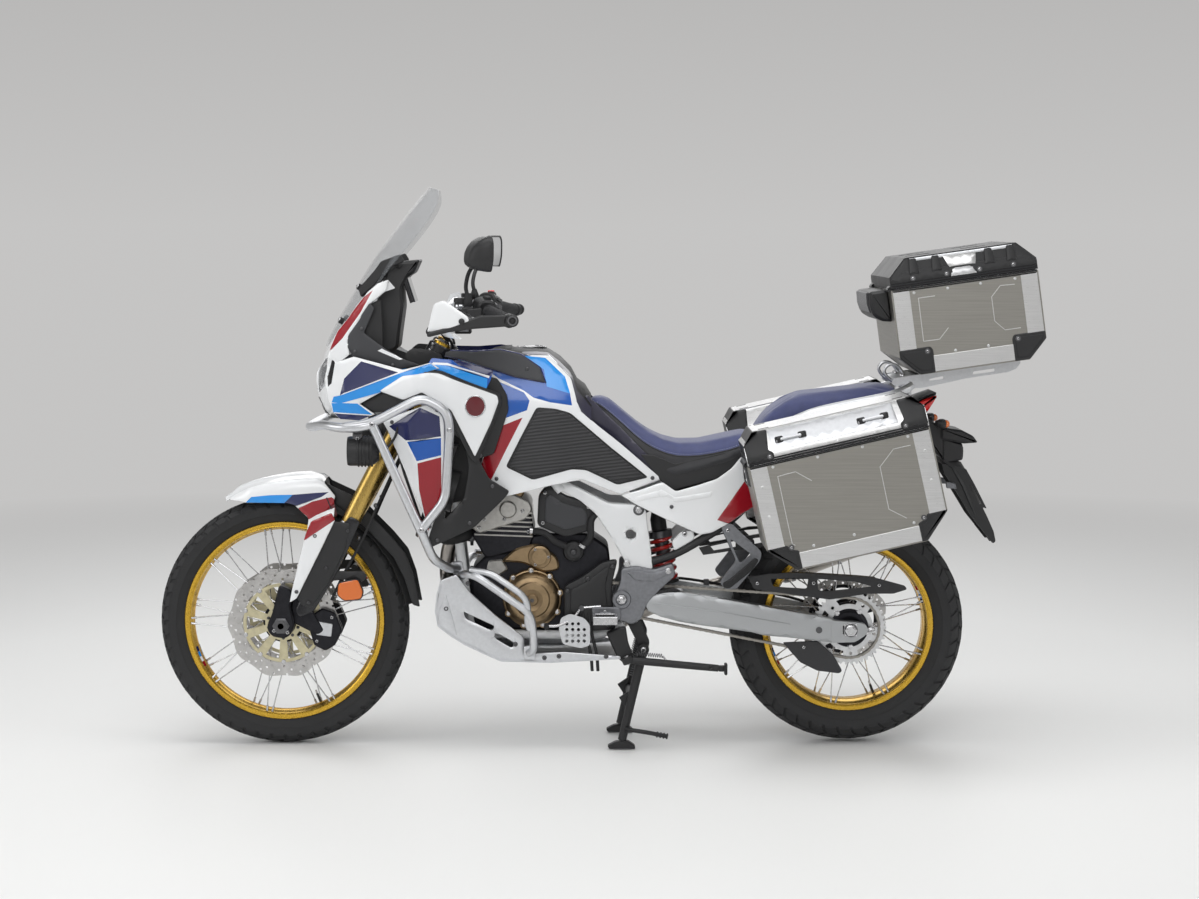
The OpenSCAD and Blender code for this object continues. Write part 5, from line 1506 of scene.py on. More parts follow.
# a rib that folds along the cover
tail.panel(rounded([(-168, 700), (-262, 728), (-300, 706), (-404, 722), (-398, 706), (-300, 692), (-262, 708),
                    (-190, 692)], 5), lambda x, z: tail_y(x, z) + 1.6, 3, WHITE, (), 16, 2.5)
REAR_COVER = [(-484, 818), (-520, 862), (-584, 884), (-700, 917), (-930, 960), (-968, 948), (-940, 918),
              (-700, 866), (-530, 800), (-498, 745), (-489, 770)]
tail.panel(rounded(REAR_COVER, 7), lambda x, z: smooth_line([(-970, 96), (-700, 126), (-480, 130)], x), 5,
           BLACK, (), 15, 4)
screw(tail, -290, 680, tail_y)
screw(tail, -520, 690, tail_y)
screw(tail, -700, 890, lambda x, z: 126)
tail.mirror()
tail.make("tail_panels", "chassis", "tail_covers", "white_paint")
under = Mesh()
rows = []
for x, z, w in ((-300, 690, 96), (-420, 700, 98), (-560, 762, 98), (-760, 812, 92), (-960, 868, 80)):
    rows.append([(x, w * s / 4, z + 10 * abs(s / 4) ** 3) for s in range(-4, 5)])
grid(under, rows, 4, BLACK)
under.make("tail_tray", "chassis", slot="black_plastic")


# ---------------------------------------------------------------- frame and engine

# crash bars of polished tube, with fog lamps
bars = Mesh()
FRONT_BAR = [(517, 292, 919), (560, 288, 910), (612, 266, 909), (655, 222, 912), (694, 130, 900),
             (712, 0, 893)]
bars.tube(smooth_path(FRONT_BAR[:-1] + [(712, 0, 893)] + [(x, -y, z) for x, y, z in FRONT_BAR[-2::-1]], 7),
          25, SILVER, 20)
side_bars = Mesh()
side_bars.tube(bend_path([(600, 272, 909), (520, 292, 922), (385, 294, 992), (322, 294, 958), (311, 294, 912),
                          (323, 294, 717), (388, 290, 636)], 30, 6), 25, SILVER, 20)
side_bars.tube(bend_path([(520, 292, 922), (455, 291, 776), (390, 290, 632), (359, 250, 549), (320, 190, 516),
                          (300, 99, 505)], 26, 6), 25, SILVER, 20)
side_bars.tube(bend_path([(296, 99, 480), (272, 190, 503), (240, 208, 495), (98, 215, 396), (90, 214, 345),
                          (88, 196, 290), (102, 178, 280)], 26, 6), 22, SILVER, 18)
side_bars.tube(bend_path([(262, 192, 512), (205, 207, 505), (118, 214, 446), (104, 214, 420), (106, 212, 370),
                          (98, 212, 350)], 20, 5), 19, SILVER, 16)
for p, axis in (((300, 108, 505), (1, 0, 0)), ((96, 190, 283), (0, 1, 0)), ((388, 300, 636), (0, 1, 0)),
                ((311, 304, 905), (0, 1, 0)), ((518, 303, 920), (0, 1, 0))):
    side_bars.bolt(p, axis, 15, STEEL, 5)
side_bars.prism(rounded([(318, 522), (286, 524), (282, 488), (312, 484)], 6), 92, 104, SILVER, 2)
side_bars.prism(rounded(rect(116, 84, 300, 262), 8), 172, 180, SILVER, 2)
# fog lamp on its bracket
side_bars.lathe([(0, 0), (26, 0), (36, 12), (40, 26), (40, 78), (38, 84), (36, 84), (36, 80), (0, 80)],
                (504, 250, 844), (1, 0, 0), BLACK, 40)
side_bars.lathe([(0, 0), (35, 0), (35, 3), (22, 6), (0, 7)], (584, 250, 844), (1, 0, 0), LENS, 40)
side_bars.lathe([(34, 0), (30, -4), (16, -14), (0, -18)], (583, 250, 844), (1, 0, 0), REFLECTOR, 36)
for k in range(5):
    side_bars.lathe([(40, 0), (43, 1), (43, 4), (40, 5)], (520 + k * 9, 250, 844), (1, 0, 0), BLACK, 40)
side_bars.prism(rounded([(575, 858), (545, 858), (548, 905), (572, 905)], 5), 264, 270, DARK_STEEL, 1)
side_bars.lathe([(16, -9), (16, 9), (11, 9), (11, -9)], (560, 276, 907), (0.9, 0.1, 0), DARK_STEEL, 24)
side_bars.bolt((560, 270, 880), (0, 1, 0), 12, STEEL)
side_bars.tube(smooth_path([(506, 250, 844), (485, 246, 850), (462, 236, 880), (450, 226, 920)], 5), 7,
               RUBBER, 10)
bars.merge(side_bars.mirror())
bars.make("crash_bars_and_fog_lamps", "chassis", "crash_bars", "silver_plate")

# skid plate: a pan with its folded edges, slots and screws
plate = Mesh()
PAN = [(302, 495), (345, 478), (358, 392), (352, 350), (283, 300), (180, 253), (44, 249), (-150, 260),
       (-150, 266), (5, 278), (112, 272), (118, 321), (196, 382), (263, 444)]
SLOTS = [[(284, 392), (277, 372), (204, 336), (196, 350)], [(198, 334), (196, 316), (150, 288), (140, 302)]]


def pan_y(x, z):
    """Half the width of the engine guard plate."""
    return 150 + min(6, max(0, (z - 260) * 0.03))


plate.panel(rounded(PAN, 6), pan_y, 5, SILVER, (), 16, 3, [rounded(s, 7) for s in SLOTS])
plate.panel(rounded([(330, 440), (352, 392), (344, 352), (300, 322), (312, 372)], 6),
            lambda x, z: pan_y(x, z) + 2, 3, SILVER, (), 16, 2)
for x, z in ((-110, 264), (20, 266), (270, 470), (140, 300), (330, 400), (60, 262)):
    screw(plate, x, z, pan_y, 13)
plate.mirror()
bottom = [(345, 480), (357, 436), (361, 392), (354, 350), (318, 322), (283, 300), (232, 275), (180, 252),
          (44, 248), (-150, 258)]
grid(plate, [[(x, -154 + 308 * k / 10, z - (0 if z > 262 else 2 * (k % 2))) for k in range(11)]
             for x, z in bottom],
     5, SILVER)
for k in (-2, -1, 0, 1, 2):
    plate.prism([(170, 250), (30, 246), (-120, 252), (-120, 258), (30, 253), (170, 256)], k * 48 - 5,
                k * 48 + 5, SILVER, 1.5)
plate.make("skid_plate_shell", "chassis", "skid_plate", "silver_plate")

# radiators
rads = Mesh()
core = [(364, 612), (400, 614), (330, 856), (292, 854)]
rads.prism(core, 94, 210, BLACK, 3)
for k in range(34):
    p = Vector((402, 0, 616)) + Vector((332 - 402, 0, 852 - 616)) * (k / 33)
    rads.prism([(p.x - 2, p.z - 1.5), (p.x + 3, p.z - 1), (p.x + 3, p.z + 1), (p.x - 2, p.z + 1.5)], 104, 200,
               DARK_STEEL, 0.4)
rads.prism([(404, 606), (408, 612), (335, 862), (328, 862)], 200, 214, BLACK, 2)
rads.prism([(404, 606), (408, 612), (335, 862), (328, 862)], 90, 104, BLACK, 2)
rads.prism([(404, 604), (410, 610), (404, 630), (396, 628)], 92, 212, BLACK, 2)
rads.prism([(340, 842), (346, 846), (338, 864), (330, 862)], 92, 212, BLACK, 2)
fan_axis = Vector((0.958, 0, 0.286))
fan_at = Vector((320, 152, 728))
rads.lathe([(56, -20), (58, -18), (58, 10), (54, 10), (54, -18)], fan_at, fan_axis, BLACK, 40, closed=True)
for k in range(7):
    a = k * 51.4
    u, w = Vector((-0.286, 0, 0.958)), Vector((0, 1, 0))
    r = [fan_at + (u * math.cos(math.radians(a + d)) + w * math.sin(math.radians(a + d))) * q + fan_axis * h
         for q, d, h in ((14, 0, -8), (50, 12, -12), (50, 34, 0), (14, 30, 0))]
    rads.add(r + [p + fan_axis * 2 for p in r],
             [[0, 1, 2, 3], [7, 6, 5, 4], [0, 4, 5, 1], [1, 5, 6, 2], [2, 6, 7, 3], [3, 7, 4, 0]], GREY)
rads.lathe([(0, -16), (20, -16), (22, -10), (22, 6), (0, 6)], fan_at, fan_axis, BLACK, 24)
rads.tube(bend_path([(352, 150, 604), (330, 120, 585), (290, 90, 588), (262, 60, 600)], 26), 30, RUBBER, 16)
rads.mirror()
rads.make("radiators_and_fans", "chassis", "radiators", "radiator_dark")

# frame: white spars, cradle tubes and the pivot plates
spars = Mesh()
half = Mesh()
half.tube(smooth_path([(steer_x(1010), 20, 1010), (steer_x(1010) - 110, 52, 930), (80, 112, 800),
                       (12, 114, 722)], 8),
          30, FRAME_WHITE, 18)
half.tube(bend_path([(steer_x(945), 14, 945), (310, 64, 700), (285, 82, 480), (264, 82, 320), (-90, 82, 312),
                     (-160, 98, 350)], 45, 6), 26, FRAME_WHITE, 18)
BEAM = [(17, 755), (55, 744), (-40, 694), (-82, 658), (-119, 603), (-140, 566), (-156, 537), (-176, 500),
        (-240, 500), (-234, 560), (-226, 620), (-221, 668), (-192, 684), (-119, 688)]
HOLE = arc(-179, 601, 15, 0, 340, 17)


def beam_y(x, z):
    """Half the width of the frame beam, fuller beside the engine's top."""
    return 122 + 8 * math.exp(-((z - 640) / 70) ** 2)


half.panel(rounded(BEAM, 9), beam_y, 30, FRAME_WHITE, (), 14, 5, [HOLE])
PIVOT = [(-152, 508), (-195, 514), (-240, 504), (-296, 522), (-302, 486), (-262, 450), (-226, 412),
         (-208, 366), (-182, 350), (-143, 364), (-128, 400), (-138, 440), (-150, 470)]
half.panel(rounded(PIVOT, 10), lambda x, z: 132, 26, CAST, (), 14, 5)
half.panel(rounded([(-165, 498), (-196, 504), (-240, 494), (-284, 508), (-288, 492), (-240, 470),
                    (-190, 474)], 6),
           lambda x, z: 135, 4, CAST, (), 14, 2.5)
half.lathe([(0, 6), (8, 6), (10, 4), (14, 4), (16, 7), (24, 7), (26, 4), (26, -6), (0, -6)], (-153, 132, 421),
           (0, 1, 0), CAST, 36)
half.lathe([(0, 3), (9, 3), (9, 8), (7, 9), (0, 9)], (-153, 134, 421), (0, 1, 0), STEEL, 6)
half.lathe([(0, 0), (15, 0), (15, 4), (11, 6), (0, 6)], (-200, 126, 669), (0, 1, 0), DARK_STEEL, 24)
half.nut((-200, 131, 669), (0, 1, 0), 15, STEEL)
half.nut((-168, 131, 520), (0, 1, 0), 16, STEEL)
half.nut((-282, 135, 500), (0, 1, 0), 14, STEEL)
half.prism(rounded([(-165, 360), (-195, 300), (-202, 262), (-226, 262), (-232, 300), (-205, 360)], 8), 96,
           104, BLACK)
spars.merge(half.mirror())
spars.lathe([(0, -76), (31, -76), (33, -72), (33, -58), (30, -54), (30, 54), (33, 58), (33, 72), (31, 76),
             (0, 76)],
            on_steering(1003), leg_axis(), FRAME_WHITE, 36)
spars.rod((-195, -112, 620), (-195, 112, 620), 30, FRAME_WHITE)
spars.rod((-190, -110, 365), (-190, 110, 365), 24, FRAME_WHITE)
spars.rod((270, -82, 322), (270, 82, 322), 22, FRAME_WHITE)
spars.prism(rounded([(-150, 345), (-110, 330), (-140, 262), (-158, 245), (-182, 245), (-184, 270),
                     (-172, 300), (-165, 345)], 6), 120, 148, BLACK, 4)
spars.make("frame_detail", "chassis", "frame", "white_frame")


# ---- engine

engine = Mesh()
# crankcase halves and their covers
CASE = [(262, 345), (262, 498), (216, 545), (120, 590), (60, 600), (-60, 600), (-118, 560), (-128, 470),
        (-114, 400), (-120, 346), (-90, 332), (230, 332)]
engine.prism(rounded(CASE, 14), -86, 86, ENGINE_BLACK, 6)
engine.prism(rounded([(250, 330), (240, 306), (60, 300), (20, 318), (-60, 322), (-80, 334)], 10), -70, 70,
             CAST, 6)
for k in range(9):
    engine.prism(rect(236 - k * 17, 231 - k * 17, 309, 298), -60, 60, CAST, 1)
# cylinders: block, head, cam cover, all leaning forward
BLOCK = [(262, 598), (222, 530), (100, 560), (86, 600), (96, 655), (150, 700), (200, 690)]
engine.prism(rounded(BLOCK, 10), -98, 98, ENGINE_BLACK, 5)
for k in range(6):
    a = Vector((254 - k * 4, 0, 596 + k * 13))
    b = Vector((92, 0, 590 + k * 13))
    engine.prism([(a.x, a.z), (b.x, b.z), (b.x, b.z + 5), (a.x, a.z + 5)], -101, 101, ENGINE_SILVER, 1)
HEAD = [(268, 622), (240, 600), (110, 640), (92, 668), (100, 690), (168, 722), (250, 700)]
engine.prism(rounded(HEAD, 9), -102, 102, ENGINE_SILVER, 4)
COVER = [(262, 690), (236, 668), (120, 700), (112, 722), (150, 748), (230, 736)]
engine.prism(rounded(COVER, 9), -94, 94, BRONZE, 5)
for x, z in ((240, 690), (140, 718), (195, 702)):
    engine.nut((x, 94, z), (0, 1, 0), 13, STEEL)
    engine.nut((x, -94, z), (0, -1, 0), 13, STEEL)
for y in (-48, 48):
    engine.rod((190, y, 730), (204, y, 772), 26, BLACK)
    engine.tube(smooth_path([(204, y, 772), (196, y, 796), (150, y * 0.9, 806), (90, y * 0.6, 800)], 5), 8,
                RUBBER, 10)
# head side: water fittings and studs
engine.lathe([(0, 0), (24, 0), (24, 6), (20, 10), (0, 10)], (160, 100, 668), (0, 1, 0), ENGINE_SILVER, 28)
for x, z in ((226, 640), (120, 664), (210, 690), (240, 618), (104, 606), (170, 640)):
    engine.bolt((x, 100, z), (0, 1, 0), 12, STEEL)
# left: generator cover with its ribs
GEN = (94, 419)
engine.lathe([(82, 0), (82, 12), (79, 16), (76, 17), (74, 22), (66, 34), (60, 38), (50, 40), (46, 44),
              (30, 46), (26, 44), (0, 44)], (GEN[0], 84, GEN[1]), (0, 1, 0), BRONZE, 64)
for k in range(9):
    a = math.radians(k * 40 + 8)
    p = (GEN[0] + 78 * math.cos(a), 98, GEN[1] + 78 * math.sin(a))
    engine.lathe([(0, 4), (9, 4), (10, 0), (10, -14), (0, -14)], p, (0, 1, 0), BRONZE, 18)
    engine.nut((p[0], 102, p[2]), (0, 1, 0), 11, STEEL, 6)
for k in range(12):
    a = math.radians(k * 30 + 12)
    u = Vector((math.cos(a), 0, math.sin(a)))
    c = Vector((GEN[0], 84, GEN[1]))
    side_v = Vector((-u.z, 0, u.x)) * 1.8
    pts = [c + u * 74 + Vector((0, 20, 0)), c + u * 62 + Vector((0, 39, 0)), c + u * 50 + Vector((0, 42, 0)),
           c + u * 50 + Vector((0, 38, 0)), c + u * 60 + Vector((0, 34, 0))]
    engine.add([p + side_v for p in pts] + [p - side_v for p in pts],
               [[0, 1, 2, 3, 4], [9, 8, 7, 6, 5]] + [[i, i + 5, (i + 1) % 5 + 5, (i + 1) % 5]
                                                     for i in range(5)],
               BRONZE)
engine.lathe([(0, 4), (14, 4), (16, 2), (16, -2), (0, -2)], (GEN[0], 129, GEN[1]), (0, 1, 0), BRONZE, 28)
engine.lathe(rect(0, 6, 7, 2), (GEN[0], 129, GEN[1]), (0, 1, 0), DARK_STEEL, 6)
# starter gear housing and the neck beside it
engine.prism(rounded([(182, 522), (120, 520), (60, 492), (16, 500), (24, 536), (78, 574), (140, 560)], 14),
             80, 104, BRONZE, 5)
engine.lathe([(0, 14), (20, 14), (24, 11), (30, 9), (32, 4), (32, -20), (0, -20)], (73, 104, 537),
             (0, 1, 0), BRONZE, 40)
for a in (60, 180, 300):
    engine.bolt((73 + 24 * math.cos(math.radians(a)), 113, 537 + 24 * math.sin(math.radians(a))), (0, 1, 0),
                9, STEEL)
engine.prism(rounded([(190, 480), (160, 500), (176, 528), (214, 526), (222, 496)], 8), 80, 96,
             ENGINE_SILVER, 4)
# black sprocket cover with its raised rim
FRONT_COVER = [(5, 457), (-46, 484), (-100, 524), (-143, 531), (-126, 457), (-138, 334), (-72, 332), (6, 373)]
engine.panel(rounded(FRONT_COVER, 12), lambda x, z: 124 - abs(x + 66) * 0.03, 22, BLACK, (), 14, 6)
engine.panel(rounded(inset(FRONT_COVER, 17), 8), lambda x, z: 127 - abs(x + 66) * 0.03, 5, BLACK, (), 14, 3)
for x, z in ((-4, 445), (-128, 512), (-118, 350), (-20, 372), (-64, 340), (-60, 478)):
    engine.bolt((x, 124, z), (0, 1, 0), 13, DARK_STEEL)
# water pump, hoses and the black side cover of the air box
engine.lathe([(0, 22), (18, 22), (26, 17), (29, 10), (30, 0), (30, -26), (0, -26)], (-21, 96, 552),
             (0, 1, 0), BLACK, 36)
engine.bolt((-21, 118, 552), (0, 1, 0), 16, DARK_STEEL)
AIR = [(50, 740), (0, 706), (-60, 690), (-79, 666), (-78, 612), (-30, 600), (2, 592), (80, 624), (76, 708)]
engine.panel(rounded(AIR, 12), lambda x, z: 118 - ((x - 4) / 90) ** 2 * 12, 30, BLACK, (), 14, 7)
engine.panel(rounded(inset(AIR, 20), 9), lambda x, z: 121 - ((x - 4) / 90) ** 2 * 12, 5, GREY, (), 14, 3)
for x, z in ((58, 716), (-66, 624), (64, 632), (-62, 676)):
    engine.bolt((x, 114, z), (0, 1, 0), 11, STEEL)
engine.tube(smooth_path([(-40, 104, 560), (-66, 112, 590), (-70, 110, 640), (-96, 100, 668)], 6), 20,
            RUBBER, 14)
engine.tube(smooth_path([(100, 104, 610), (60, 112, 604), (30, 112, 580), (0, 106, 566)], 6), 18, RUBBER, 14)
for p, d in (((96, 104, 610), (1, 0, 0.1)), ((-45, 106, 568), (-0.5, 0.1, 0.8)),
             ((-92, 102, 665), (-0.8, -0.2, 0.5))):
    engine.lathe(rect(12, 13, -4, 4), p, d, STEEL, 20, closed=True)
# perforated guard, drain hoses, level plug
GUARD = [(15, 372), (-10, 384), (-50, 372), (-66, 352), (-66, 296), (-40, 288), (10, 300), (20, 340)]
holes = [arc(x, z, 4.5, 0, 330, 11) for x in (-50, -34, -18, -2) for z in (308, 324, 340, 356)
         if (x, z) != (-50, 356)]
engine.plate(rounded(GUARD, 8), 146, 149, SILVER, holes)
engine.rod((-40, 120, 330), (-40, 147, 330), 12, DARK_STEEL)
for dx in (0, 16):
    engine.tube(smooth_path([(-60 + dx, 120, 400), (-70 + dx, 134, 330), (-84 + dx, 136, 270),
                             (-88 + dx, 134, 222)], 6),
                9, RUBBER, 12)
# right: clutch cover
CLUTCH = (40, 430)
engine.lathe([(100, 0), (100, 18), (96, 22), (93, 24), (90, 40), (78, 60), (66, 66), (58, 70), (40, 72),
              (0, 72)],
             (CLUTCH[0], -84, CLUTCH[1]), (0, -1, 0), BRONZE, 64)
for k in range(10):
    a = math.radians(k * 36)
    p = (CLUTCH[0] + 95 * math.cos(a), -100, CLUTCH[1] + 95 * math.sin(a))
    engine.lathe([(0, 8), (9, 8), (10, 4), (10, -12), (0, -12)], p, (0, -1, 0), BRONZE, 18)
    engine.nut((p[0], -108, p[2]), (0, -1, 0), 11, STEEL, 6)
engine.lathe([(0, 4), (34, 4), (36, 0), (0, 0)], (CLUTCH[0], -156, CLUTCH[1]), (0, -1, 0), ENGINE_BLACK, 40)
engine.prism(rounded([(190, 360), (250, 350), (256, 440), (216, 500), (160, 520), (150, 470)], 14), -118,
             -84, BRONZE, 6)
engine.lathe([(0, 12), (20, 12), (24, 8), (26, 0), (26, -20), (0, -20)], (196, -118, 420), (0, -1, 0),
             ENGINE_BLACK, 32)
engine.lathe([(34, -24), (34, 46), (30, 52), (0, 52)], (262, -40, 420), (1, 0, 0), ENGINE_BLACK, 36)
for k in range(14):
    a = math.radians(k * 360 / 14)
    p = Vector((262, -40 + 34 * math.cos(a), 420 + 34 * math.sin(a)))
    engine.tube([p, p + Vector((44, 0, 0))], 3, ENGINE_BLACK, 6)
engine.tube(smooth_path([(-118, 60, 400), (-150, 66, 410), (-158, 66, 430)], 4), 12, DARK_STEEL, 10)
# front sprocket
engine.plate(sprocket_outline((-95, 425), 36, 16), CHAIN_Y - 3, CHAIN_Y + 3, DARK_STEEL,
             [arc(-95, 425, 12, 0, 345, 23)])
engine.rod((-95, 60, 425), (-95, CHAIN_Y + 6, 425), 22, DARK_STEEL)
# gear lever with its rubber toe piece
engine.tube(smooth_path([(-40, 128, 395), (-20, 140, 372), (20, 150, 352), (52, 152, 350)], 5), 9, STEEL, 12)
engine.rod((54, 140, 350), (54, 186, 352), 15, RUBBER)
engine.tube([Vector((-46, 128, 398)), Vector((-96, 130, 402))], 7, STEEL, 10)
engine.rod((-42, 120, 396), (-42, 134, 396), 16, DARK_STEEL)
engine.make("engine_detail", "chassis", "engine", "engine_cast")

# exhaust
pipe = Mesh()
for y in (-52, 46):
    pipe.tube(smooth_path([(258, y, 590), (300, y, 592), (326, y, 560), (334, y * 0.9, 500),
                           (330, y * 0.5 - 10, 440), (312, -44, 380), (288, -84, 330),
                           (262, -118, 308)], 6), 38, EXHAUST, 20)
    pipe.lathe([(30, -4), (30, 4), (20, 4), (20, -4)], (262, y, 591), (1, 0, 0), DARK_STEEL, 28, closed=True)
pipe.tube(smooth_path([(276, -104, 316), (240, -124, 303), (100, -128, 301), (-60, -128, 302),
                       (-150, -138, 318), (-235, -158, 352), (-330, -168, 384), (-500, -178, 436),
                       (-556, -180, 452)], 6), 44, EXHAUST, 20)
s0, s1 = Vector((-540, -180, 446)), Vector((-985, -186, 613))
mid = Vector((-600, -182, 470))
pipe.lathe([(22, 0), (25, 8), (30, 40), (38, 66), (40, 84)], s0, s1 - s0, EXHAUST, 32)
axis = (Vector((-960, -186, 604)) - mid).normalized()
pipe.lathe([(38, -2), (50, 4), (57, 14), (59, 26), (59, 330), (57, 352), (50, 372), (40, 384), (34, 386),
            (30, 380), (24, 340), (0, 340)], mid, axis,
           [DARK_STEEL, DARK_STEEL, DARK_STEEL, EXHAUST, DARK_STEEL, DARK_STEEL, DARK_STEEL, STEEL, STEEL,
            DARK_STEEL, DARK_STEEL], 48)
pipe.lathe(rect(27, 29, 0, 36), mid + axis * 352, axis, STEEL, 32, closed=True)
for h in (40, 180, 320):
    pipe.lathe([(59.3, h - 6), (61, h - 5), (61, h + 5), (59.3, h + 6)], mid, axis, DARK_STEEL, 48)
# heat shield
rows = []
for k in range(9):
    h = 60 + k * 30
    c = mid + axis * h
    up = Vector((0, 0, 1)) - axis * axis.z
    up.normalize()
    out = Vector((0, -1, 0))
    rows.append([c + (out * math.cos(math.radians(a)) + up * math.sin(math.radians(a))) * 66
                 for a in range(-50, 81, 13)])
grid(pipe, rows, 2.5, BLACK)
for h, a in ((75, -30), (75, 50), (285, -30), (285, 50)):
    out = Vector((0, -math.cos(math.radians(a)), math.sin(math.radians(a))))
    pipe.bolt(mid + axis * h + out * 66, out, 11, STEEL, 4)
pipe.prism(rounded([(-640, 560), (-690, 590), (-670, 640), (-620, 640)], 8), -132, -124, BLACK, 2)
pipe.make("exhaust_system", "chassis", "exhaust", "exhaust_steel")


# ---------------------------------------------------------------- rear drive

def arm_half(sign):
    """One side of the swingarm: a deep pressed beam."""
    m = Mesh()
    y0, y1 = 100, 130
    beam = [(-226, 428), (-300, 440), (-330, 439), (-420, 424), (-531, 404), (-640, 384), (-735, 365),
            (-742, 352), (-742, 306), (-735, 298), (-640, 310), (-545, 319), (-511, 328), (-420, 341),
            (-311, 358), (-226, 388)]
    if sign < 0:
        y0, y1 = 96, 126
    m.panel(smooth_path(beam, 2, True), lambda x, z: (y1 - 1 - max(0,
            abs(z - (372 + (x + 480) * 0.13 - 0)) - 26) * 0.12),
            y1 - y0 - 2, ARM, (), 26, 4)
    if sign < 0:
        m2 = Mesh()
        m2.merge(m, Matrix.Diagonal((1, -1, 1, 1)))
        m = m2
    return m


ARM = metal("swingarm_alloy", (0.42, 0.43, 0.44), 0.42, 0.05, 60)
CHAIN_BLACK = plastic("chain_guard_black", (0.022, 0.022, 0.024), 0.5)
SPRING_RED = paint("spring_red", (0.42, 0.012, 0.010), 0.32)


def swingarm_shell():
    """The two alloy arms, their crosspiece and axle blocks."""
    m = arm_half(1)
    m.merge(arm_half(-1))
    for s in (-1, 1):
        y = 130.0 if s > 0 else -126.0
        # welded seam along the beam, axle block, adjuster and its bolts
        m.tube([(-240, y, 411), (-420, y + s * 0.5, 386), (-620, y + s * 0.5, 350)], 3, ARM, 8)
        block = [(-735, 360), (-800, 356), (-828, 350), (-838, 334), (-828, 318), (-800, 300), (-735, 298)]
        m.prism(rounded(block, 6), min(y, y - s * 28), max(y, y - s * 28), ARM, 2.5,
                holes=[rect(-766, -806, 346, 322)])
        m.prism(rounded(rect(-770, -806, 352, 316), 4), min(y - s * 6, y + s * 3),
                max(y - s * 6, y + s * 3), STEEL, 1.2)
        m.nut((-787.5, y + s * 3, 334), (0, s, 0), 34, STEEL, 12)
        m.rod((-787.5, y, 334), (-787.5, y + s * 20, 334), 20, STEEL)
        m.rod((-838, y - s * 14, 334), (-856, y - s * 14, 334), 10, STEEL, 16)
        m.nut((-840, y - s * 14, 334), (-1, 0, 0), 16, STEEL, 7)
        m.lathe([(0, 0), (9, 0), (9, 3), (0, 4)], (-700, y - s * 1, 334), (0, s, 0), DARK_STEEL, 18)
        m.lathe([(0, 0), (22, 0), (24, 2), (24, 5), (16, 7), (0, 7)], (-153, y - s * 6, 421), (0, s, 0),
                STEEL, 28)
        m.nut((-153, y + s * 1, 421), (0, s, 0), 26, STEEL, 6)
    # cross brace ahead of the wheel
    m.prism(rounded([(-250, 425), (-330, 430), (-342, 376), (-300, 360), (-250, 392)], 12), -98, 98, ARM, 6)
    # rub strip on the beam, under the chain
    m.prism(rounded([(-228, 446), (-300, 450), (-318, 442), (-228, 430)], 4), 100, 124, BLACK, 2)
    m.make("swingarm_shell", "chassis", "swingarm", "swingarm_aluminium")


swingarm_shell()


def oval(run, n):
    """Evenly spaced points along a closed run."""
    length = [0]
    for a, b in zip(run, run[1:] + run[:1]):
        length.append(length[-1] + (Vector(b) - Vector(a)).length)
    out = []
    for k in range(n):
        want = length[-1] * k / n
        i = max(j for j in range(len(run)) if length[j] <= want)
        a, b = Vector(run[i]), Vector(run[(i + 1) % len(run)])
        t = (want - length[i]) / max(1e-6, (b - a).length)
        out.append(a.lerp(b, t))
    return out


def chain_links():
    """The drive chain, its plates laid round both sprockets."""
    m = Mesh()
    front_c, front_r, rear_r = Vector((-95, 425)), 39, 84
    rear_c = Vector((REAR[0], REAR[1]))
    run = []
    d = (front_c - rear_c)
    base = math.degrees(math.atan2(d.y, d.x))
    lean = math.degrees(math.asin((rear_r - front_r) / d.length))
    run += [tuple(p) for p in arc(front_c.x, front_c.y, front_r, base - 90 + lean, base + 90 - lean, 12)]
    run += [tuple(p) for p in arc(rear_c.x, rear_c.y, rear_r, base + 90 - lean, base + 270 + lean, 24)]
    links = oval(run, 104)
    for k in range(104):
        a, b = links[k], links[(k + 1) % 104]
        u = (b - a).normalized() * 7.6
        n = Vector((-u.y, u.x)) * 0.72
        out = 7.4 if k % 2 else 5.4
        shape = [a - u * 0.7 + n * 0.6, a - u * 0.9, a - u * 0.7 - n * 0.6, b + u * 0.7 - n * 0.6,
                 b + u * 0.9, b + u * 0.7 + n * 0.6]
        for s in (-1, 1):
            y = CHAIN_Y + s * out
            m.prism([tuple(p) for p in shape][::-1], y - 0.9, y + 0.9, CHAIN, 0.3)
        m.rod((a.x, CHAIN_Y - 8.2, a.y), (a.x, CHAIN_Y + 8.2, a.y), 4.6, STEEL, 8, 0.5)
        m.rod((a.x, CHAIN_Y - 4.4, a.y), (a.x, CHAIN_Y + 4.4, a.y), 9.6, CHAIN, 8, 0)
    m.make("drive_chain_links", "chassis", "chain", "chain_steel")


chain_links()


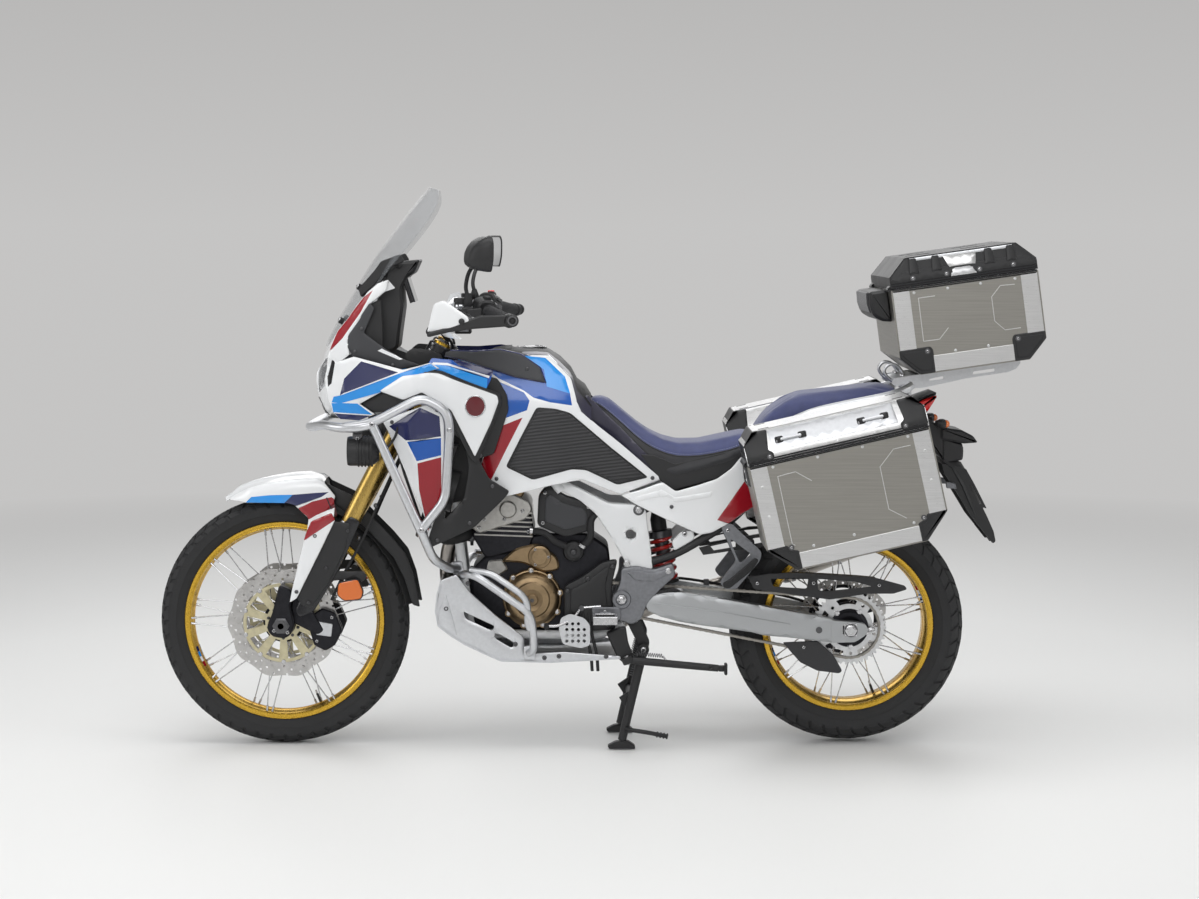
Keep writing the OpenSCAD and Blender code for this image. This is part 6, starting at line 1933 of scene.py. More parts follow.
def chain_guards():
    """The cover above the chain and the rub strip below it."""
    m = Mesh()
    outline = [(-505, 478), (-560, 488), (-645, 491), (-803, 481), (-860, 476), (-940, 454), (-946, 444),
               (-908, 432), (-838, 432), (-733, 416), (-640, 428), (-520, 446)]
    windows = [rounded([(-566, 474), (-672, 476), (-668, 446), (-574, 452)], 6),
               rounded([(-696, 474), (-800, 466), (-850, 452), (-736, 440), (-700, 440)], 6)]
    m.prism(rounded(outline, 5), 102, 108, CHAIN_BLACK, 1.5, holes=windows)
    m.prism(rounded([(-505, 478), (-645, 491), (-803, 481), (-860, 476), (-860, 470), (-803, 475),
                     (-645, 485), (-505, 472)],
                    2), 78, 104, CHAIN_BLACK, 1.5)
    for p in ((-530, 462), (-686, 462), (-868, 456)):
        m.bolt((p[0], 108, p[1]), (0, 1, 0), 11, STEEL, 4)
    lower = [(-601, 296), (-698, 300), (-742, 262), (-768, 216), (-760, 208), (-698, 216), (-650, 240)]
    m.prism(rounded(lower, 6), 102, 107, CHAIN_BLACK, 1.5)
    m.bolt((-660, 107, 282), (0, 1, 0), 10, STEEL, 3)
    m.make("chain_guards", "chassis", (), "black_plastic")


chain_guards()


def rear_shock():
    """The damper behind the engine with its coil spring and reservoir."""
    m = Mesh()
    a, b = Vector((-285, 0, 446)), Vector((-262, 0, 600))
    top = Vector((-255, 0, 650))
    length, u = (b - a).length, (b - a).normalized()
    m.lathe([(0, 0), (18, 0), (34, 4), (34, 12), (22, 14), (20, length * 0.5)], a, u, BLACK, 32)
    m.lathe([(20, 0), (20, length * 0.35), (34, length * 0.36), (34, length * 0.5 - 3), (0, length * 0.5)],
            a + u * length * 0.5, u, DARK_STEEL, 32)
    m.lathe([(0, 0), (22, 0), (22, 30), (16, 50), (0, 50)], b, (top - b).normalized(), BLACK, 28)
    m.tube(helix(a + u * 14, u, 28, 5.5, length - 34, 132), 11.5, SPRING_RED, 10)
    m.make("rear_shock_spring", "chassis", "rear_shock", "shock_red")


rear_shock()


def foot_pegs():
    """The rider's pegs with their brackets, and the passenger's folded pegs."""
    m = Mesh()
    # rider's folding peg: serrated steel frame with a rubber pad
    for x in (-78, -136):
        m.prism(rect(x - 3, x + 3, 364, 386), 146, 222, STEEL, 1)
    m.prism(rect(-140, -74, 364, 386), 216, 223, STEEL, 1)
    m.prism(rect(-140, -74, 364, 384), 144, 152, STEEL, 1)
    for k in range(7):
        y = 156 + k * 9
        m.prism(rect(-136, -78, 370, 383), y, y + 4, RUBBER, 1)
    m.prism(rect(-132, -82, 368, 379), 152, 218, RUBBER, 1)
    m.prism(rounded([(-70, 400), (-150, 400), (-152, 366), (-120, 356), (-76, 360)], 8), 125, 141, CAST, 2.5)
    m.rod((-107, 138, 352), (-107, 138, 392), 13, STEEL, 20)
    m.prism(rounded(rect(-126, -92, 362, 388), 4), 139, 148, CAST, 2)
    # passenger's peg, folded up against its hanger
    m.prism(rounded([(-430, 470), (-447, 478), (-520, 540), (-530, 534), (-512, 506), (-450, 456),
                     (-434, 456)], 6), 151,
            168, RUBBER, 3)
    for t in range(5):
        x, z = -452 - t * 14, 476 + t * 11.4
        m.prism([(x - 3, z - 10), (x + 3, z - 15), (x + 7, z - 8), (x - 1, z)], 167, 170, RUBBER, 0.6)
    m.mirror()
    m.make("foot_peg_treads", "chassis", "footpegs", "black_metal")


foot_pegs()


# ---------------------------------------------------------------- luggage

def case_matrix(x, z, tilt, y, sign=1):
    """From a case's own side view, drawn rearwards from its front lid corner, to the machine."""
    return (Matrix.Translation((x, y, z)) @ Matrix.Rotation(math.radians(tilt), 4, "Y")
            @ Matrix.Diagonal((-1, sign, 1, 1)))


def case_corner(m, outline, w, depth, bolts=()):
    """A moulded black corner on the outer face, with its screws."""
    m.prism(rounded(outline, 5), w - depth, w + 3.2, BLACK, 2.5)
    m.prism(rounded(inset(outline, 8), 5), w + 2, w + 4.2, BLACK, 1.5)
    for s, h in bolts:
        m.lathe([(7.5, 0), (7.5, 1.2), (5.5, 1.6), (0, 1.6)], (s, w + 3.2, h), (0, 1, 0), DARK_STEEL, 18)
        m.bolt((s, w + 3.4, h), (0, 1, 0), 8, STEEL, 2)


def groove(m, points, w, width=2.0):
    """A plain engraved line, drawn as a fine bright ridge on the outer face."""
    for a, b in zip(points, points[1:]):
        u = Vector((b[0] - a[0], b[1] - a[1])).normalized() * (width / 2)
        n = (-u.y, u.x)
        m.prism([(a[0] - u.x + n[0], a[1] - u.y + n[1]), (b[0] + u.x + n[0], b[1] + u.y + n[1]),
                 (b[0] + u.x - n[0], b[1] + u.y - n[1]), (a[0] - u.x - n[0], a[1] - u.y - n[1])],
                w - 0.6, w + 0.5, EDGE, 0.2)


def rivets(m, points, w, mat=None):
    """Domed rivets on the outer face."""
    for s, h in points:
        m.lathe([(4, -0.5), (4, 0.4), (3, 1.3), (0, 1.8)], (s, w, h), (0, 1, 0), mat or ALUMINIUM, 14)


def open_box(l, d, c, w, strip, bottom_strip):
    """An open aluminium box: brushed faces, folded edge strips and an inner lining."""
    m = Mesh()
    face = [(0, -2), (l, -2), (l, -d + c), (l - c, -d), (c, -d), (0, -d + c)]
    m.prism(face, w - 3, w, BRUSHED, 0.6)
    m.prism([(1, -8), (strip, -8), (strip, -d + c + 6), (strip + 6, -d + c - 22), (c, -d + 2), (1, -d + c)],
            w - 1, w + 1.6, EDGE, 0.7)
    m.prism([(l - 1, -8), (l - strip, -8), (l - strip, -d + c + 6), (l - strip - 6, -d + c - 22),
             (l - c, -d + 2), (l - 1, -d + c)], w - 1, w + 1.6, EDGE, 0.7)
    m.prism(rect(c, l - c, -d + 1, -d + bottom_strip), w - 1, w + 1.6, EDGE,
            0.7)
    m.mirror()
    path = [(0, -2), (0, -60), (0, -d + c), (c, -d), (l / 2, -d), (l - c, -d), (l, -d + c), (l, -60), (l, -2)]
    n = 8
    grid(m, [[(s, -w + 2 * w * k / n, h) for k in range(n + 1)] for s, h in path], 3, BRUSHED)
    grid(m, [[(min(max(s, 4), l - 4), -w + 4 + (2 * w - 8) * k / n, max(h, -d + 4))
              for k in range(n + 1)][::-1]
             for s, h in path], 1, BLACK)
    # rolled rim
    rim = rect(1.5, l - 1.5, w - 1.5, -w + 1.5)
    m.tube([Vector((s, y, -2)) for s, y in rounded(rim, 14, 4)], 6, EDGE, 8, closed=True)
    return m


def open_lid(l, h, c, w, slope_from, lean, mat):
    """A folded lid, open below, with its sides leaning in above a fold line."""
    m = Mesh()
    outline = [(0, 2), (l, 2), (l, h - c), (l - c, h), (c, h), (0, h - c)]

    def width(z):
        return w - max(0, z - slope_from) / (h - slope_from) * lean

    m.panel(rounded(outline, 4), lambda s, z: width(z), 3, mat, (), 18, 1.5)
    m.mirror()
    path = [(0, 2), (0, slope_from), (0, h - c), (c * 0.5, h - c * 0.5), (c, h), (l * 0.33, h), (l * 0.67, h),
            (l - c, h), (l - c * 0.5, h - c * 0.5), (l, h - c), (l, slope_from), (l, 2)]
    n = 8
    grid(m, [[(s, (-1 + 2 * k / n) * (width(z) - 0.5), z) for k in range(n + 1)] for s, z in path][::-1], 3,
         mat)
    for k in range(5):
        s = l * (0.3 + 0.1 * k)
        m.prism([(s - 5, h - 1), (s + 5, h - 1), (s + 3, h + 1.6), (s - 3, h + 1.6)], -w + lean + 26,
                w - lean - 26, mat, 1)
    return m, width


def rail(m, l, w, low, high):
    """The black rail with its seal round a case's mouth."""
    for z0, z1, out in ((low, low + (high - low) * 0.42, 2.2), (low + (high - low) * 0.55, high, 2.8)):
        outer = rounded(rect(-2, l + 2, w + out, -w - out), 8, 3)
        inner = inset(outer, 7)
        if area(outer) < 0:
            outer = outer[::-1]
        k = len(outer)
        verts = [(s, y, z) for z in (z0, z1) for s, y in outer] + [(s, y, z) for z in (z0, z1)
                                                                   for s, y in inner]
        faces = []
        for i in range(k):
            j = (i + 1) % k
            faces += [[i, j, k + j, k + i], [2 * k + j, 2 * k + i, 3 * k + i, 3 * k + j],
                      [k + i, k + j, 3 * k + j, 3 * k + i], [j, i, 2 * k + i, 2 * k + j]]
        m.add(verts, faces, GLOSSY)


def handle(m, s, width, z, length):
    """A strap loop: two black clips with a bright bar between them."""
    y = width(z) - 2
    for q in (s, s + length):
        m.prism(rounded(rect(q - 11, q + 11, z - 9, z + 9), 4), y, y + 8, BLACK, 2)
        m.prism(rounded(rect(q - 5, q + 5, z - 5, z + 6), 3), y + 6, y + 14, BLACK, 2)
        m.bolt((q - 7, y + 8, z - 3), (0, 1, 0), 6, STEEL, 1.6)
    m.rod((s, y + 10, z + 1), (s + length, y + 10, z + 1), 8, SILVER, 14)


def hinge_barrel(m, y0, y1):
    """A knuckle of a case's hinge."""
    m.lathe(rect(0, 5, 0, y1 - y0), (-7, y0, 0), (0, 1, 0), BLACK, 18)
    m.prism([(-11, 0), (-9, 6), (2, 14), (2, 2), (-3, 2)], y0, y1, BLACK, 0.8)
    for k in range(3):
        y = y0 + (y1 - y0) * (k + 0.5) / 3
        m.lathe([(3, 0), (3, 1.5), (0, 2)], (-1.2, y, 9.5), (-0.6, 0, 0.8), STEEL, 10)


def pannier(side_name, y_mid, w, sign):
    """One side case and its lid, drawn with its outer face towards +y."""
    l, d, c, h = 480, 292, 66, 86
    w -= 5.8
    box = open_box(l, d, c, w, 45, 42)
    outer = Mesh()
    groove(outer, [(151, -71), (115, -39), (67, -41), (66, -223), (72, -228)], w)
    groove(outer, [(423, -38), (378, -38), (334, -76), (333, -190), (373, -223)], w)
    rivets(outer, [(60, -14), (180, -14), (300, -14), (422, -14), (120, -240), (180, -256), (300, -256),
                   (390, -240), (230, -236)], w + 0.2)
    rivets(outer, [(22, -60), (22, -140), (458, -60), (458, -140)], w + 1.4, EDGE)
    for s, z in ((2, -90), (2, -150), (478, -90), (478, -150)):
        outer.lathe([(4, 0), (3, 1.4), (0, 1.8)], (s, 0, z), (1 if s > 100 else -1, 0, 0), ALUMINIUM, 12)
    low_front = [(-2, -224), (52, -224), (58, -236), (80, -244), (80, -294), (64, -294), (-2, -228)]
    low_rear = [(l - a, b) for a, b in low_front]
    for corner, bolts in ((low_front, [(62, -232)]), (low_rear, [(l - 62, -232)])):
        case_corner(outer, corner, w, 60, bolts)
    inner = Mesh()
    for corner in (low_front, low_rear):
        case_corner(inner, corner, w, 50)
    box.merge(outer)
    box.merge(inner, Matrix.Diagonal((1, -1, 1, 1)))
    rail(box, l, w, -8, 0)
    # latch plates at the front and rear edges, and the carry lock on the inner face
    for s0, s1 in ((-9, -1), (l + 1, l + 9)):
        plate_mesh = Mesh()
        plate_mesh.prism(rounded([(s0, -4), (s1, -4), (s1, -66), (s0, -58)], 3), -26, 26, DARK_STEEL, 1.5)
        for z in (-20, -44):
            plate_mesh.lathe([(5, 0), (4, 2), (0, 2.4)], (s0 if s0 < 0 else s1, 0, z),
                             (-1 if s0 < 0 else 1, 0, 0), STEEL, 14)
        plate_mesh.rod((s0 + 4, -20, -8), (s0 + 4, 20, -8), 7, STEEL)
        box.merge(plate_mesh)
    box.prism(rounded(rect(150, 330, -50, -80), 8), -w - 3, -w + 1, BLACK, 1.5)
    box.prism(rounded(rect(150, 330, -190, -220), 8), -w - 3, -w + 1, BLACK, 1.5)
    lid, width = open_lid(l, h - 2, 30, w, 25, 26, EDGE)
    fit = Mesh()
    fit.panel([(72, 27), (l - 74, 27), (l - 80, h - 6), (66, h - 6)], lambda s, z: width(z) + 1.4, 2,
              SILVER, (), 20, 1)
    handle(fit, 92, width, 52, 62)
    handle(fit, 312, width, 52, 62)
    front_cap = [(-2, 6), (70, 6), (70, 24), (58, 32), (66, h - 2), (26, h - 1), (-2, h - 30)]
    rear_cap = [(l - a, b) for a, b in front_cap]
    for cap, bolt_at in ((front_cap, (58, 15)), (rear_cap, (l - 58, 15))):
        fit.panel(rounded(cap, 5), lambda s, z: width(z) + 3, 14, BLACK, (), 16, 3)
        fit.lathe([(7.5, 0), (7.5, 1.4), (0, 1.8)], (bolt_at[0], w + 3, bolt_at[1]), (0, 1, 0), DARK_STEEL,
                  18)
        fit.bolt((bolt_at[0], w + 3.6, bolt_at[1]), (0, 1, 0), 8, STEEL, 2)
    rivets(fit, [(140, 13), (240, 13), (340, 13)], w + 0.2)
    back_fit = Mesh()
    for cap in (front_cap, rear_cap):
        back_fit.panel(rounded(cap, 5), lambda s, z: width(z) + 3, 14, BLACK, (), 16, 3)
    lid.merge(fit)
    lid.merge(back_fit, Matrix.Diagonal((1, -1, 1, 1)))
    # caps over the lid's ends and its four top tie points
    end_cap = [(-3, h - 32), (-3, 6), (-0.5, 6), (-0.5, h - 33), (25, h - 2), (40, h - 2), (40, h + 0.5),
               (26, h + 0.5)]
    for cap in (end_cap, [(l - s, z) for s, z in end_cap[::-1]]):
        lid.prism(cap, -w * 0.9, w * 0.9, BLACK, 0.5)
    for s in (60, l - 60):
        for t in (-1, 1):
            y = t * (width(h) - 16)
            lid.prism(rounded([(s - 20, h - 3), (s + 20, h - 3), (s + 16, h + 1), (s - 16, h + 1)], 2),
                      y - 12, y + 12, BLACK, 1)
    rail(lid, l, w, 2, 12)
    hinge_barrel(lid, -w + 44, w - 44)
    move = case_matrix(-480, 820, 12.8, y_mid, sign)
    for part, name, body, node in ((box, "pannier_box_" + side_name, "chassis", None),
                                   (lid, "pannier_lid_" + side_name + "_shell", "pannier_lid_" + side_name,
                                    "pannier_lid_" + side_name)):
        world_mesh = Mesh()
        world_mesh.merge(part, move)
        world_mesh.make(name, body, ["pannier_boxes"] if node is None and sign > 0 else (node or ()),
                        "case_aluminium", crease=30)


pannier("left", (236 + 470) / 2, (470 - 236) / 2, 1)
pannier("right", -(266 + 470) / 2, (470 - 266) / 2, -1)

# ---- top case

L, D, C, H, W = 396, 236, 50, 80, 212
top = open_box(L, D, C, W - 1.6, 46, 44)
fit = Mesh()
groove(fit, [(112, -32), (68, -32), (67, -150), (111, -150), (138, -123)], W - 1.6)
groove(fit, [(330, -31), (292, -29), (265, -56), (265, -122), (290, -150), (332, -150)], W - 1.6)
rivets(fit, [(58, -16), (150, -16), (240, -16), (334, -16), (150, -186), (240, -186)], W - 1.4)
FRONT_LOW = [(-2, -166), (84, -166), (90, -176), (90, -238), (48, -238), (-2, -188)]
for corner, b in ((FRONT_LOW, (74, -178)), ([(L - a, z) for a, z in FRONT_LOW], (L - 74, -178))):
    case_corner(fit, corner, W - 1.6, 60, [b])
fit.mirror()
top.merge(fit)
rail(top, L, W - 2, -9, 0)
# the black housing with the back rest at the front
HOUSING = [(-54, 0), (-57, -34), (-52, -66), (-30, -84), (0, -90), (0, -10), (-8, 0)]
top.prism(rounded(HOUSING, 8), -146, 146, BLACK, 8)
pad = Mesh()
pad.prism(rounded([(-60, -2), (-62, -34), (-57, -58), (-50, -58), (-52, -2)], 4), -120, 120, SEAT_BLACK, 4)
top.merge(pad)
for s in (-1, 1):
    top.prism(rounded([(-44, -2), (-38, -26), (-8, -26), (-6, -4), (-16, 2)], 4), s * 96 - 9, s * 96 + 9,
              BLACK, 2)
# the lock at the rear, with its rod
top.prism(rounded([(L - 1, -20), (L + 24, -22), (L + 24, -62), (L - 1, -66)], 6), -34, 34, BLACK, 4)
top.lathe([(0, 0), (15, 0), (17, 3), (17, 12), (14, 16), (0, 17)], (L + 22, 0, -40), (1, 0, 0), BLACK, 32)
top.rod((L + 36, 0, -40), (L + 39.4, 0, -40), 14, STEEL)
for y in (-130, -60, 60, 130):
    top.lathe([(5, 0), (4, 1.6), (0, 2)], (L - 0.5, y, -120), (1, 0, 0), ALUMINIUM, 12)
    top.lathe([(5, 0), (4, 1.6), (0, 2)], (0.5, y, -140), (-1, 0, 0), ALUMINIUM, 12)
lid, top_width = open_lid(L, H - 3, 46, W - 2, 24, 14, BLACK)
side_fit = Mesh()
side_fit.panel(rounded([(0, 14), (L, 14), (L, 26), (L - 40, 44), (38, 44), (0, 26)], 5),
               lambda s, z: top_width(z) + 2, 8, BLACK, (), 18, 2)
side_fit.panel([(163, 14), (233, 14), (234, 40), (240, 72), (148, 72), (162, 40)],
               lambda s, z: top_width(z) + 2.6, 5, EDGE,
               [([(163, 14), (233, 14), (234, 38), (162, 38)], ALUMINIUM)], 14, 2)
for s in (66, 128, 272, 332):
    side_fit.panel(rounded([(s - 14, 34), (s + 14, 34), (s + 10, 76), (s - 10, 76)], 4),
                   lambda a, z: top_width(z) + 5, 9, BLACK, (), 14, 3)
side_fit.rod((58, top_width(70) - 4, 72), (340, top_width(70) - 4, 72), 11, SILVER, 18)
for s in (60, 152, 242, 334):
    side_fit.lathe([(7.5, 0), (7.5, 1.2), (0, 1.6)], (s, W, 23), (0, 1, 0), DARK_STEEL, 18)
    side_fit.bolt((s, W + 0.6, 23), (0, 1, 0), 8, STEEL, 1.6)
lid.merge(side_fit.mirror())
for s, y0 in ((100, 70), (250, 70)):
    for t in (-1, 1):
        lid.prism(rounded([(s - 40, H - 4), (s + 40, H - 4), (s + 36, H + 1), (s - 36, H + 1)], 3),
                  t * y0 - 14, t * y0 + 14, BLACK, 1.5)
rail(lid, L, W - 2, 2, 13)
for s in (-1, 1):
    hinge_barrel(lid, s * 184 - 22, s * 184 + 22)
move = case_matrix(-882, 1276, 8, 0)
for part, name, body, node in ((top, "top_case_box", "chassis", "top_box"),
                               (lid, "top_case_lid", "top_box_lid", "top_box_lid")):
    world_mesh = Mesh()
    world_mesh.merge(part, move)
    world_mesh.make(name, body, node, "case_aluminium", crease=30)


# ---------------------------------------------------------------- controls

X_S = steer_x(1185)
GRIP_RUBBER = ribbed("grip_rubber", (0.020, 0.020, 0.022), 0.75, 150, 0.0008, (0, 1, 0))


def grip_point(t, ahead=0, up=0, side_sign=1):
    """A point along the left grip: 0 at its inner end, 1 at the bar's end."""
    return (X_S - 72 - 64 * t + ahead, side_sign * (250 + 182 * t), 1222 - 21 * t + up)


def bar_and_switches():
    """The handlebar with its grips, switches, levers and reservoirs."""
    m = Mesh()
    half = [(X_S, 0, 1182), (X_S, 56, 1182), (X_S - 3, 92, 1200), (X_S - 8, 132, 1220), (X_S - 30, 186, 1229),
            (X_S - 72, 250, 1222), (X_S - 136, 432, 1201)]
    m.tube(smooth_path(half, 4), 21.5, SILVER, 18)
    # two risers with their clamps over the bar, drawn on the left and mirrored
    y = 46
    m.lathe(rect(0, 15, 0, 26), (X_S, y - 13, 1182), (0, 1, 0), CAST, 28)
    for dx in (-13, 13):
        m.bolt((X_S + dx, y, 1194), (0, 0, 1), 11, STEEL, 7)
    m.prism(rounded([(X_S - 20, 1182), (X_S + 20, 1182), (X_S + 18, 1196), (X_S - 18, 1196)], 5), y - 13,
            y + 13, CAST, 2)
    m.rod((X_S, y, 1156), (X_S, y, 1178), 30, CAST, 28)
    # rubber grip with end flanges and a weighted end cap
    a, b = Vector(grip_point(0.12)), Vector(grip_point(0.93))
    u = (b - a).normalized()
    m.lathe([(11, 0), (19, 0), (20, 3), (17, 5), (16.3, 30), (17.2, 62), (16.3, 100),
             (16.3, (b - a).length - 5), (18.5, (b - a).length - 2), (18.5, (b - a).length),
             (11, (b - a).length)], a, u, GRIP_RUBBER, 32)
    end = Vector(grip_point(0.93)) + u * 1
    m.lathe([(0, 0), (17.5, 0), (18.5, 3), (18.5, 15), (16, 18), (9, 18), (8, 13), (0, 13)], end, u, BLACK,
            32)
    # switch block with a rocker, buttons and a small trigger behind
    s0 = Vector(grip_point(-0.12))
    block = Mesh()
    block.prism(rounded([(-27, -30), (22, -31), (28, -10), (26, 22), (10, 31), (-20, 28), (-30, 8)], 8),
                -27, 27, BLACK, 5)
    for x, z, w in ((-30, 12, 9), (-31, -8, 11), (-28, -22, 8)):
        block.prism(rounded(rect(x - 4, x + 3, z - w / 2, z + w / 2), 2), -15, 14,
                    DARK_STEEL, 1.5)
    block.prism(rounded([(-18, 27), (4, 27), (2, 36), (-14, 36)], 3), -13, 8, RUBBER, 2)
    block.bolt((12, -20, -30), (0, 0, -1), 7, STEEL, 3)
    turned = Matrix.Rotation(math.radians(20), 4, "Z") @ Matrix.Rotation(math.radians(-12), 4, "X")
    m.merge(block, Matrix.Translation(s0) @ turned)
    # lever perch, lever blade and its reservoir
    perch = Vector(grip_point(-0.34))
    m.prism(rounded([(perch.x - 16, perch.z - 15), (perch.x + 34, perch.z - 12), (perch.x + 38, perch.z + 6),
                     (perch.x + 12, perch.z + 17), (perch.x - 16, perch.z + 15)], 6), perch.y - 12,
                     perch.y + 12, CAST, 3)
    lever = [(perch.x + 32, perch.y + 2, perch.z - 4), (perch.x + 48, perch.y + 30, perch.z - 6),
             (perch.x + 40, perch.y + 90, perch.z - 14), (perch.x + 8, perch.y + 170, perch.z - 28),
             (perch.x - 10, perch.y + 205, perch.z - 33)]
    m.sweep(smooth_path(lever, 5), [[(-5, -3), (5, -3), (6, 0), (5, 3), (-5, 3),
                                     (-6, 0)]] * len(smooth_path(lever, 5)),
            STEEL)
    m.ball(lever[-1], 13, STEEL)
    m.lathe([(0, 0), (16, 0), (18, 3), (18, 30), (19.5, 31), (19.5, 40), (17, 42), (0, 42)],
            (X_S - 2, 236, 1214), (0, 0, 1), BLACK, 32)
    m.lathe([(18.6, 12), (19, 13), (19, 23), (18.6, 24)], (X_S - 2, 236, 1214), (0, 0, 1), REFLECTOR, 32)
    return m


left_bar = bar_and_switches()
both_bars = left_bar.mirror()
# the red stop switch sits on the right-hand block only
both_bars.prism(rounded([(X_S - 80, 1250), (X_S - 58, 1250), (X_S - 60, 1264), (X_S - 78, 1264)], 3), -262,
                -244, RED_LENS, 3)
both_bars.make("handlebar_and_controls", "steering", "handlebar", "bar_silver")


def hand_guard():
    """The guards ahead of the grips, with their brackets."""
    m = Mesh()
    # wind deflector shell: its near face stands to the side of the grip, and it wraps forwards and inwards
    rows = []
    for t in range(9):
        k = t / 8
        y = 430 - 138 * k
        front = X_S + 66 + 14 * math.sin(math.pi * min(1, k * 0.9 + 0.1)) - 46 * (1 - k) * (1 - k)
        top = 1246 - 26 * abs(k - 0.35) * 1.3 - 20 * (1 - k) * (1 - k)
        low = 1156 + 10 * k
        row = []
        for i in range(9):
            a = i / 8
            x = front - 20 * (2 * a - 1) ** 2 - (26 * (1 - a) if a < 0.5 else 14 * a) * 0.6
            row.append((x, y, low + (top - low) * a))
        rows.append(row)
    grid(m, rows, 5, WHITE)
    side_face = [(X_S + 34, 1255), (X_S + 60, 1246), (X_S + 66, 1227), (X_S + 79, 1172), (X_S + 20, 1178),
                 (X_S - 34, 1186), (X_S - 29, 1211)]
    m.panel(rounded(side_face, 5), lambda x, z: 440 - max(0, x - X_S - 20) * 0.18, 5, WHITE, (), 14, 2.5)
    m.lathe([(0, 0), (8, 0), (8, 2), (4, 4), (0, 4)], (X_S - 12, 442, 1200), (0, 1, 0), BLACK, 24)
    m.bolt((X_S - 12, 444, 1200), (0, 1, 0), 8, STEEL, 2)
    # the black bow under it, from the bar's end round to the inner clamp
    m.prism(rounded([(X_S - 152, 1188), (X_S - 40, 1180), (X_S + 20, 1172), (X_S + 78, 1158),
                     (X_S + 80, 1170), (X_S + 20, 1186), (X_S - 30, 1204), (X_S - 60, 1215),
                     (X_S - 152, 1217)], 8), 428, 441, BLACK, 4)
    bow = [(X_S + 70, 428, 1168), (X_S + 78, 388, 1172), (X_S + 66, 322, 1186), (X_S + 20, 298, 1200),
           (X_S - 30, 293, 1212)]
    m.tube(smooth_path(bow, 4), 13, BLACK, 14)
    m.lathe([(0, 0), (16, 0), (17, 3), (17, 12), (14, 15), (8, 15), (7, 9), (0, 9)], (X_S - 143, 436, 1202),
            (-0.1, 1, 0), BLACK, 32)
    m.lathe(rect(9, 13, 0, 1), (X_S - 144.5, 451.2, 1202), (-0.1, 1, 0), DARK_STEEL, 32)
    m.prism(rounded([(X_S - 60, 1200), (X_S - 20, 1200), (X_S - 20, 1226), (X_S - 60, 1230)], 5), 289, 297,
            BLACK, 2)
    m.mirror()
    m.make("hand_guard_shells", "steering", "hand_guards", "white_paint")


hand_guard()


def mirror_pair():
    """The mirrors on their bent stems."""
    m = Mesh()
    x = X_S - 30
    stem = [(x + 8, 250, 1256), (x + 14, 252, 1284), (x + 8, 270, 1316), (x - 4, 300, 1338),
            (x - 16, 330, 1350)]
    m.tube(smooth_path(stem, 4), 11, BLACK, 16)
    # clamp with a rubber boot and lock nut
    m.lathe([(0, 0), (11, 0), (13, 4), (12, 16), (9, 26), (6, 34), (0, 34)], (x + 8, 250, 1234),
            (0.05, 0.05, 1), RUBBER, 24)
    m.nut((x + 8, 250, 1228), (0, 0, 1), 20, DARK_STEEL, 9)
    m.prism(rounded([(x - 6, 1204), (x + 26, 1206), (x + 24, 1230), (x - 6, 1232)], 5), 236, 264, BLACK, 3)
    # the housing, drawn with its glass towards -x: a low-nosed teardrop shell round an inset glass
    head = Mesh()
    shape = rounded([(-60, -32), (-40, -44), (44, -46), (64, -14), (66, 30), (52, 46), (-44, 46),
                     (-62, 30)], 12, 4)
    pane = inset(shape, 5)
    k = len(shape)
    rings = []
    for depth, size in ((0, 1), (8, 1.01), (20, 0.95), (34, 0.82), (46, 0.62), (54, 0.4), (58, 0.14)):
        rings.append([(depth, y * (0.25 + 0.75 * size), z * size - (1 - size) * 17) for y, z in shape])
    verts = [p for ring in rings for p in ring]
    faces = []
    for r in range(len(rings) - 1):
        for i in range(k):
            j = (i + 1) % k
            faces.append([r * k + i, r * k + j, (r + 1) * k + j, (r + 1) * k + i])
    faces.append([(len(rings) - 1) * k + i for i in range(k)])
    head.add(verts, faces, BLACK)
    verts = [(0, y, z) for y, z in shape] + [(3, y, z) for y, z in pane]
    head.add(verts, [[(i + 1) % k, i, k + i, k + (i + 1) % k] for i in range(k)], GLOSSY)
    head.add([(3, y, z) for y, z in pane], [list(range(k))[::-1]], MIRROR)
    m.merge(head, Matrix.Translation((206, 380, 1374)) @ Matrix.Rotation(math.radians(17), 4, "Z"))
    m.mirror()
    m.make("mirror_heads_and_stems", "steering", "mirrors", "black_metal")


mirror_pair()


# ---------------------------------------------------------------- seats

def seat_form(stations, trim=7):
    """A closed lofted form. Each station is x, top, side edge, bottom, half-widths at the top and side."""
    m = Mesh()
    rings = []
    for x, top, edge, low, w0, w1 in stations:
        w0, w1, top = w0 - trim, w1 - trim, top - trim * 0.6
        half = [(0, top), (w0 * 0.45, top - 1), (w0 * 0.8, top - 3), (w0, top - 10), (w1, edge - 6),
                (w1, (edge + low) / 2), (w1 - 7, low), (w1 - 30, low + 4), (w1 * 0.4, low + 10),
                (0, low + 12)]
        rings.append([(x, y, z) for y, z in half] + [(x, -y, z) for y, z in half[-2:0:-1]])
    k = len(rings[0])
    verts = [p for ring in rings for p in ring]
    faces = []
    for r in range(len(rings) - 1):
        for i in range(k):
            j = (i + 1) % k
            faces.append([r * k + i, r * k + j, (r + 1) * k + j, (r + 1) * k + i])
    faces += [list(range(k))[::-1], [(len(rings) - 1) * k + i for i in range(k)]]
    m.add(verts, faces, SEAT_BLUE)
    return m


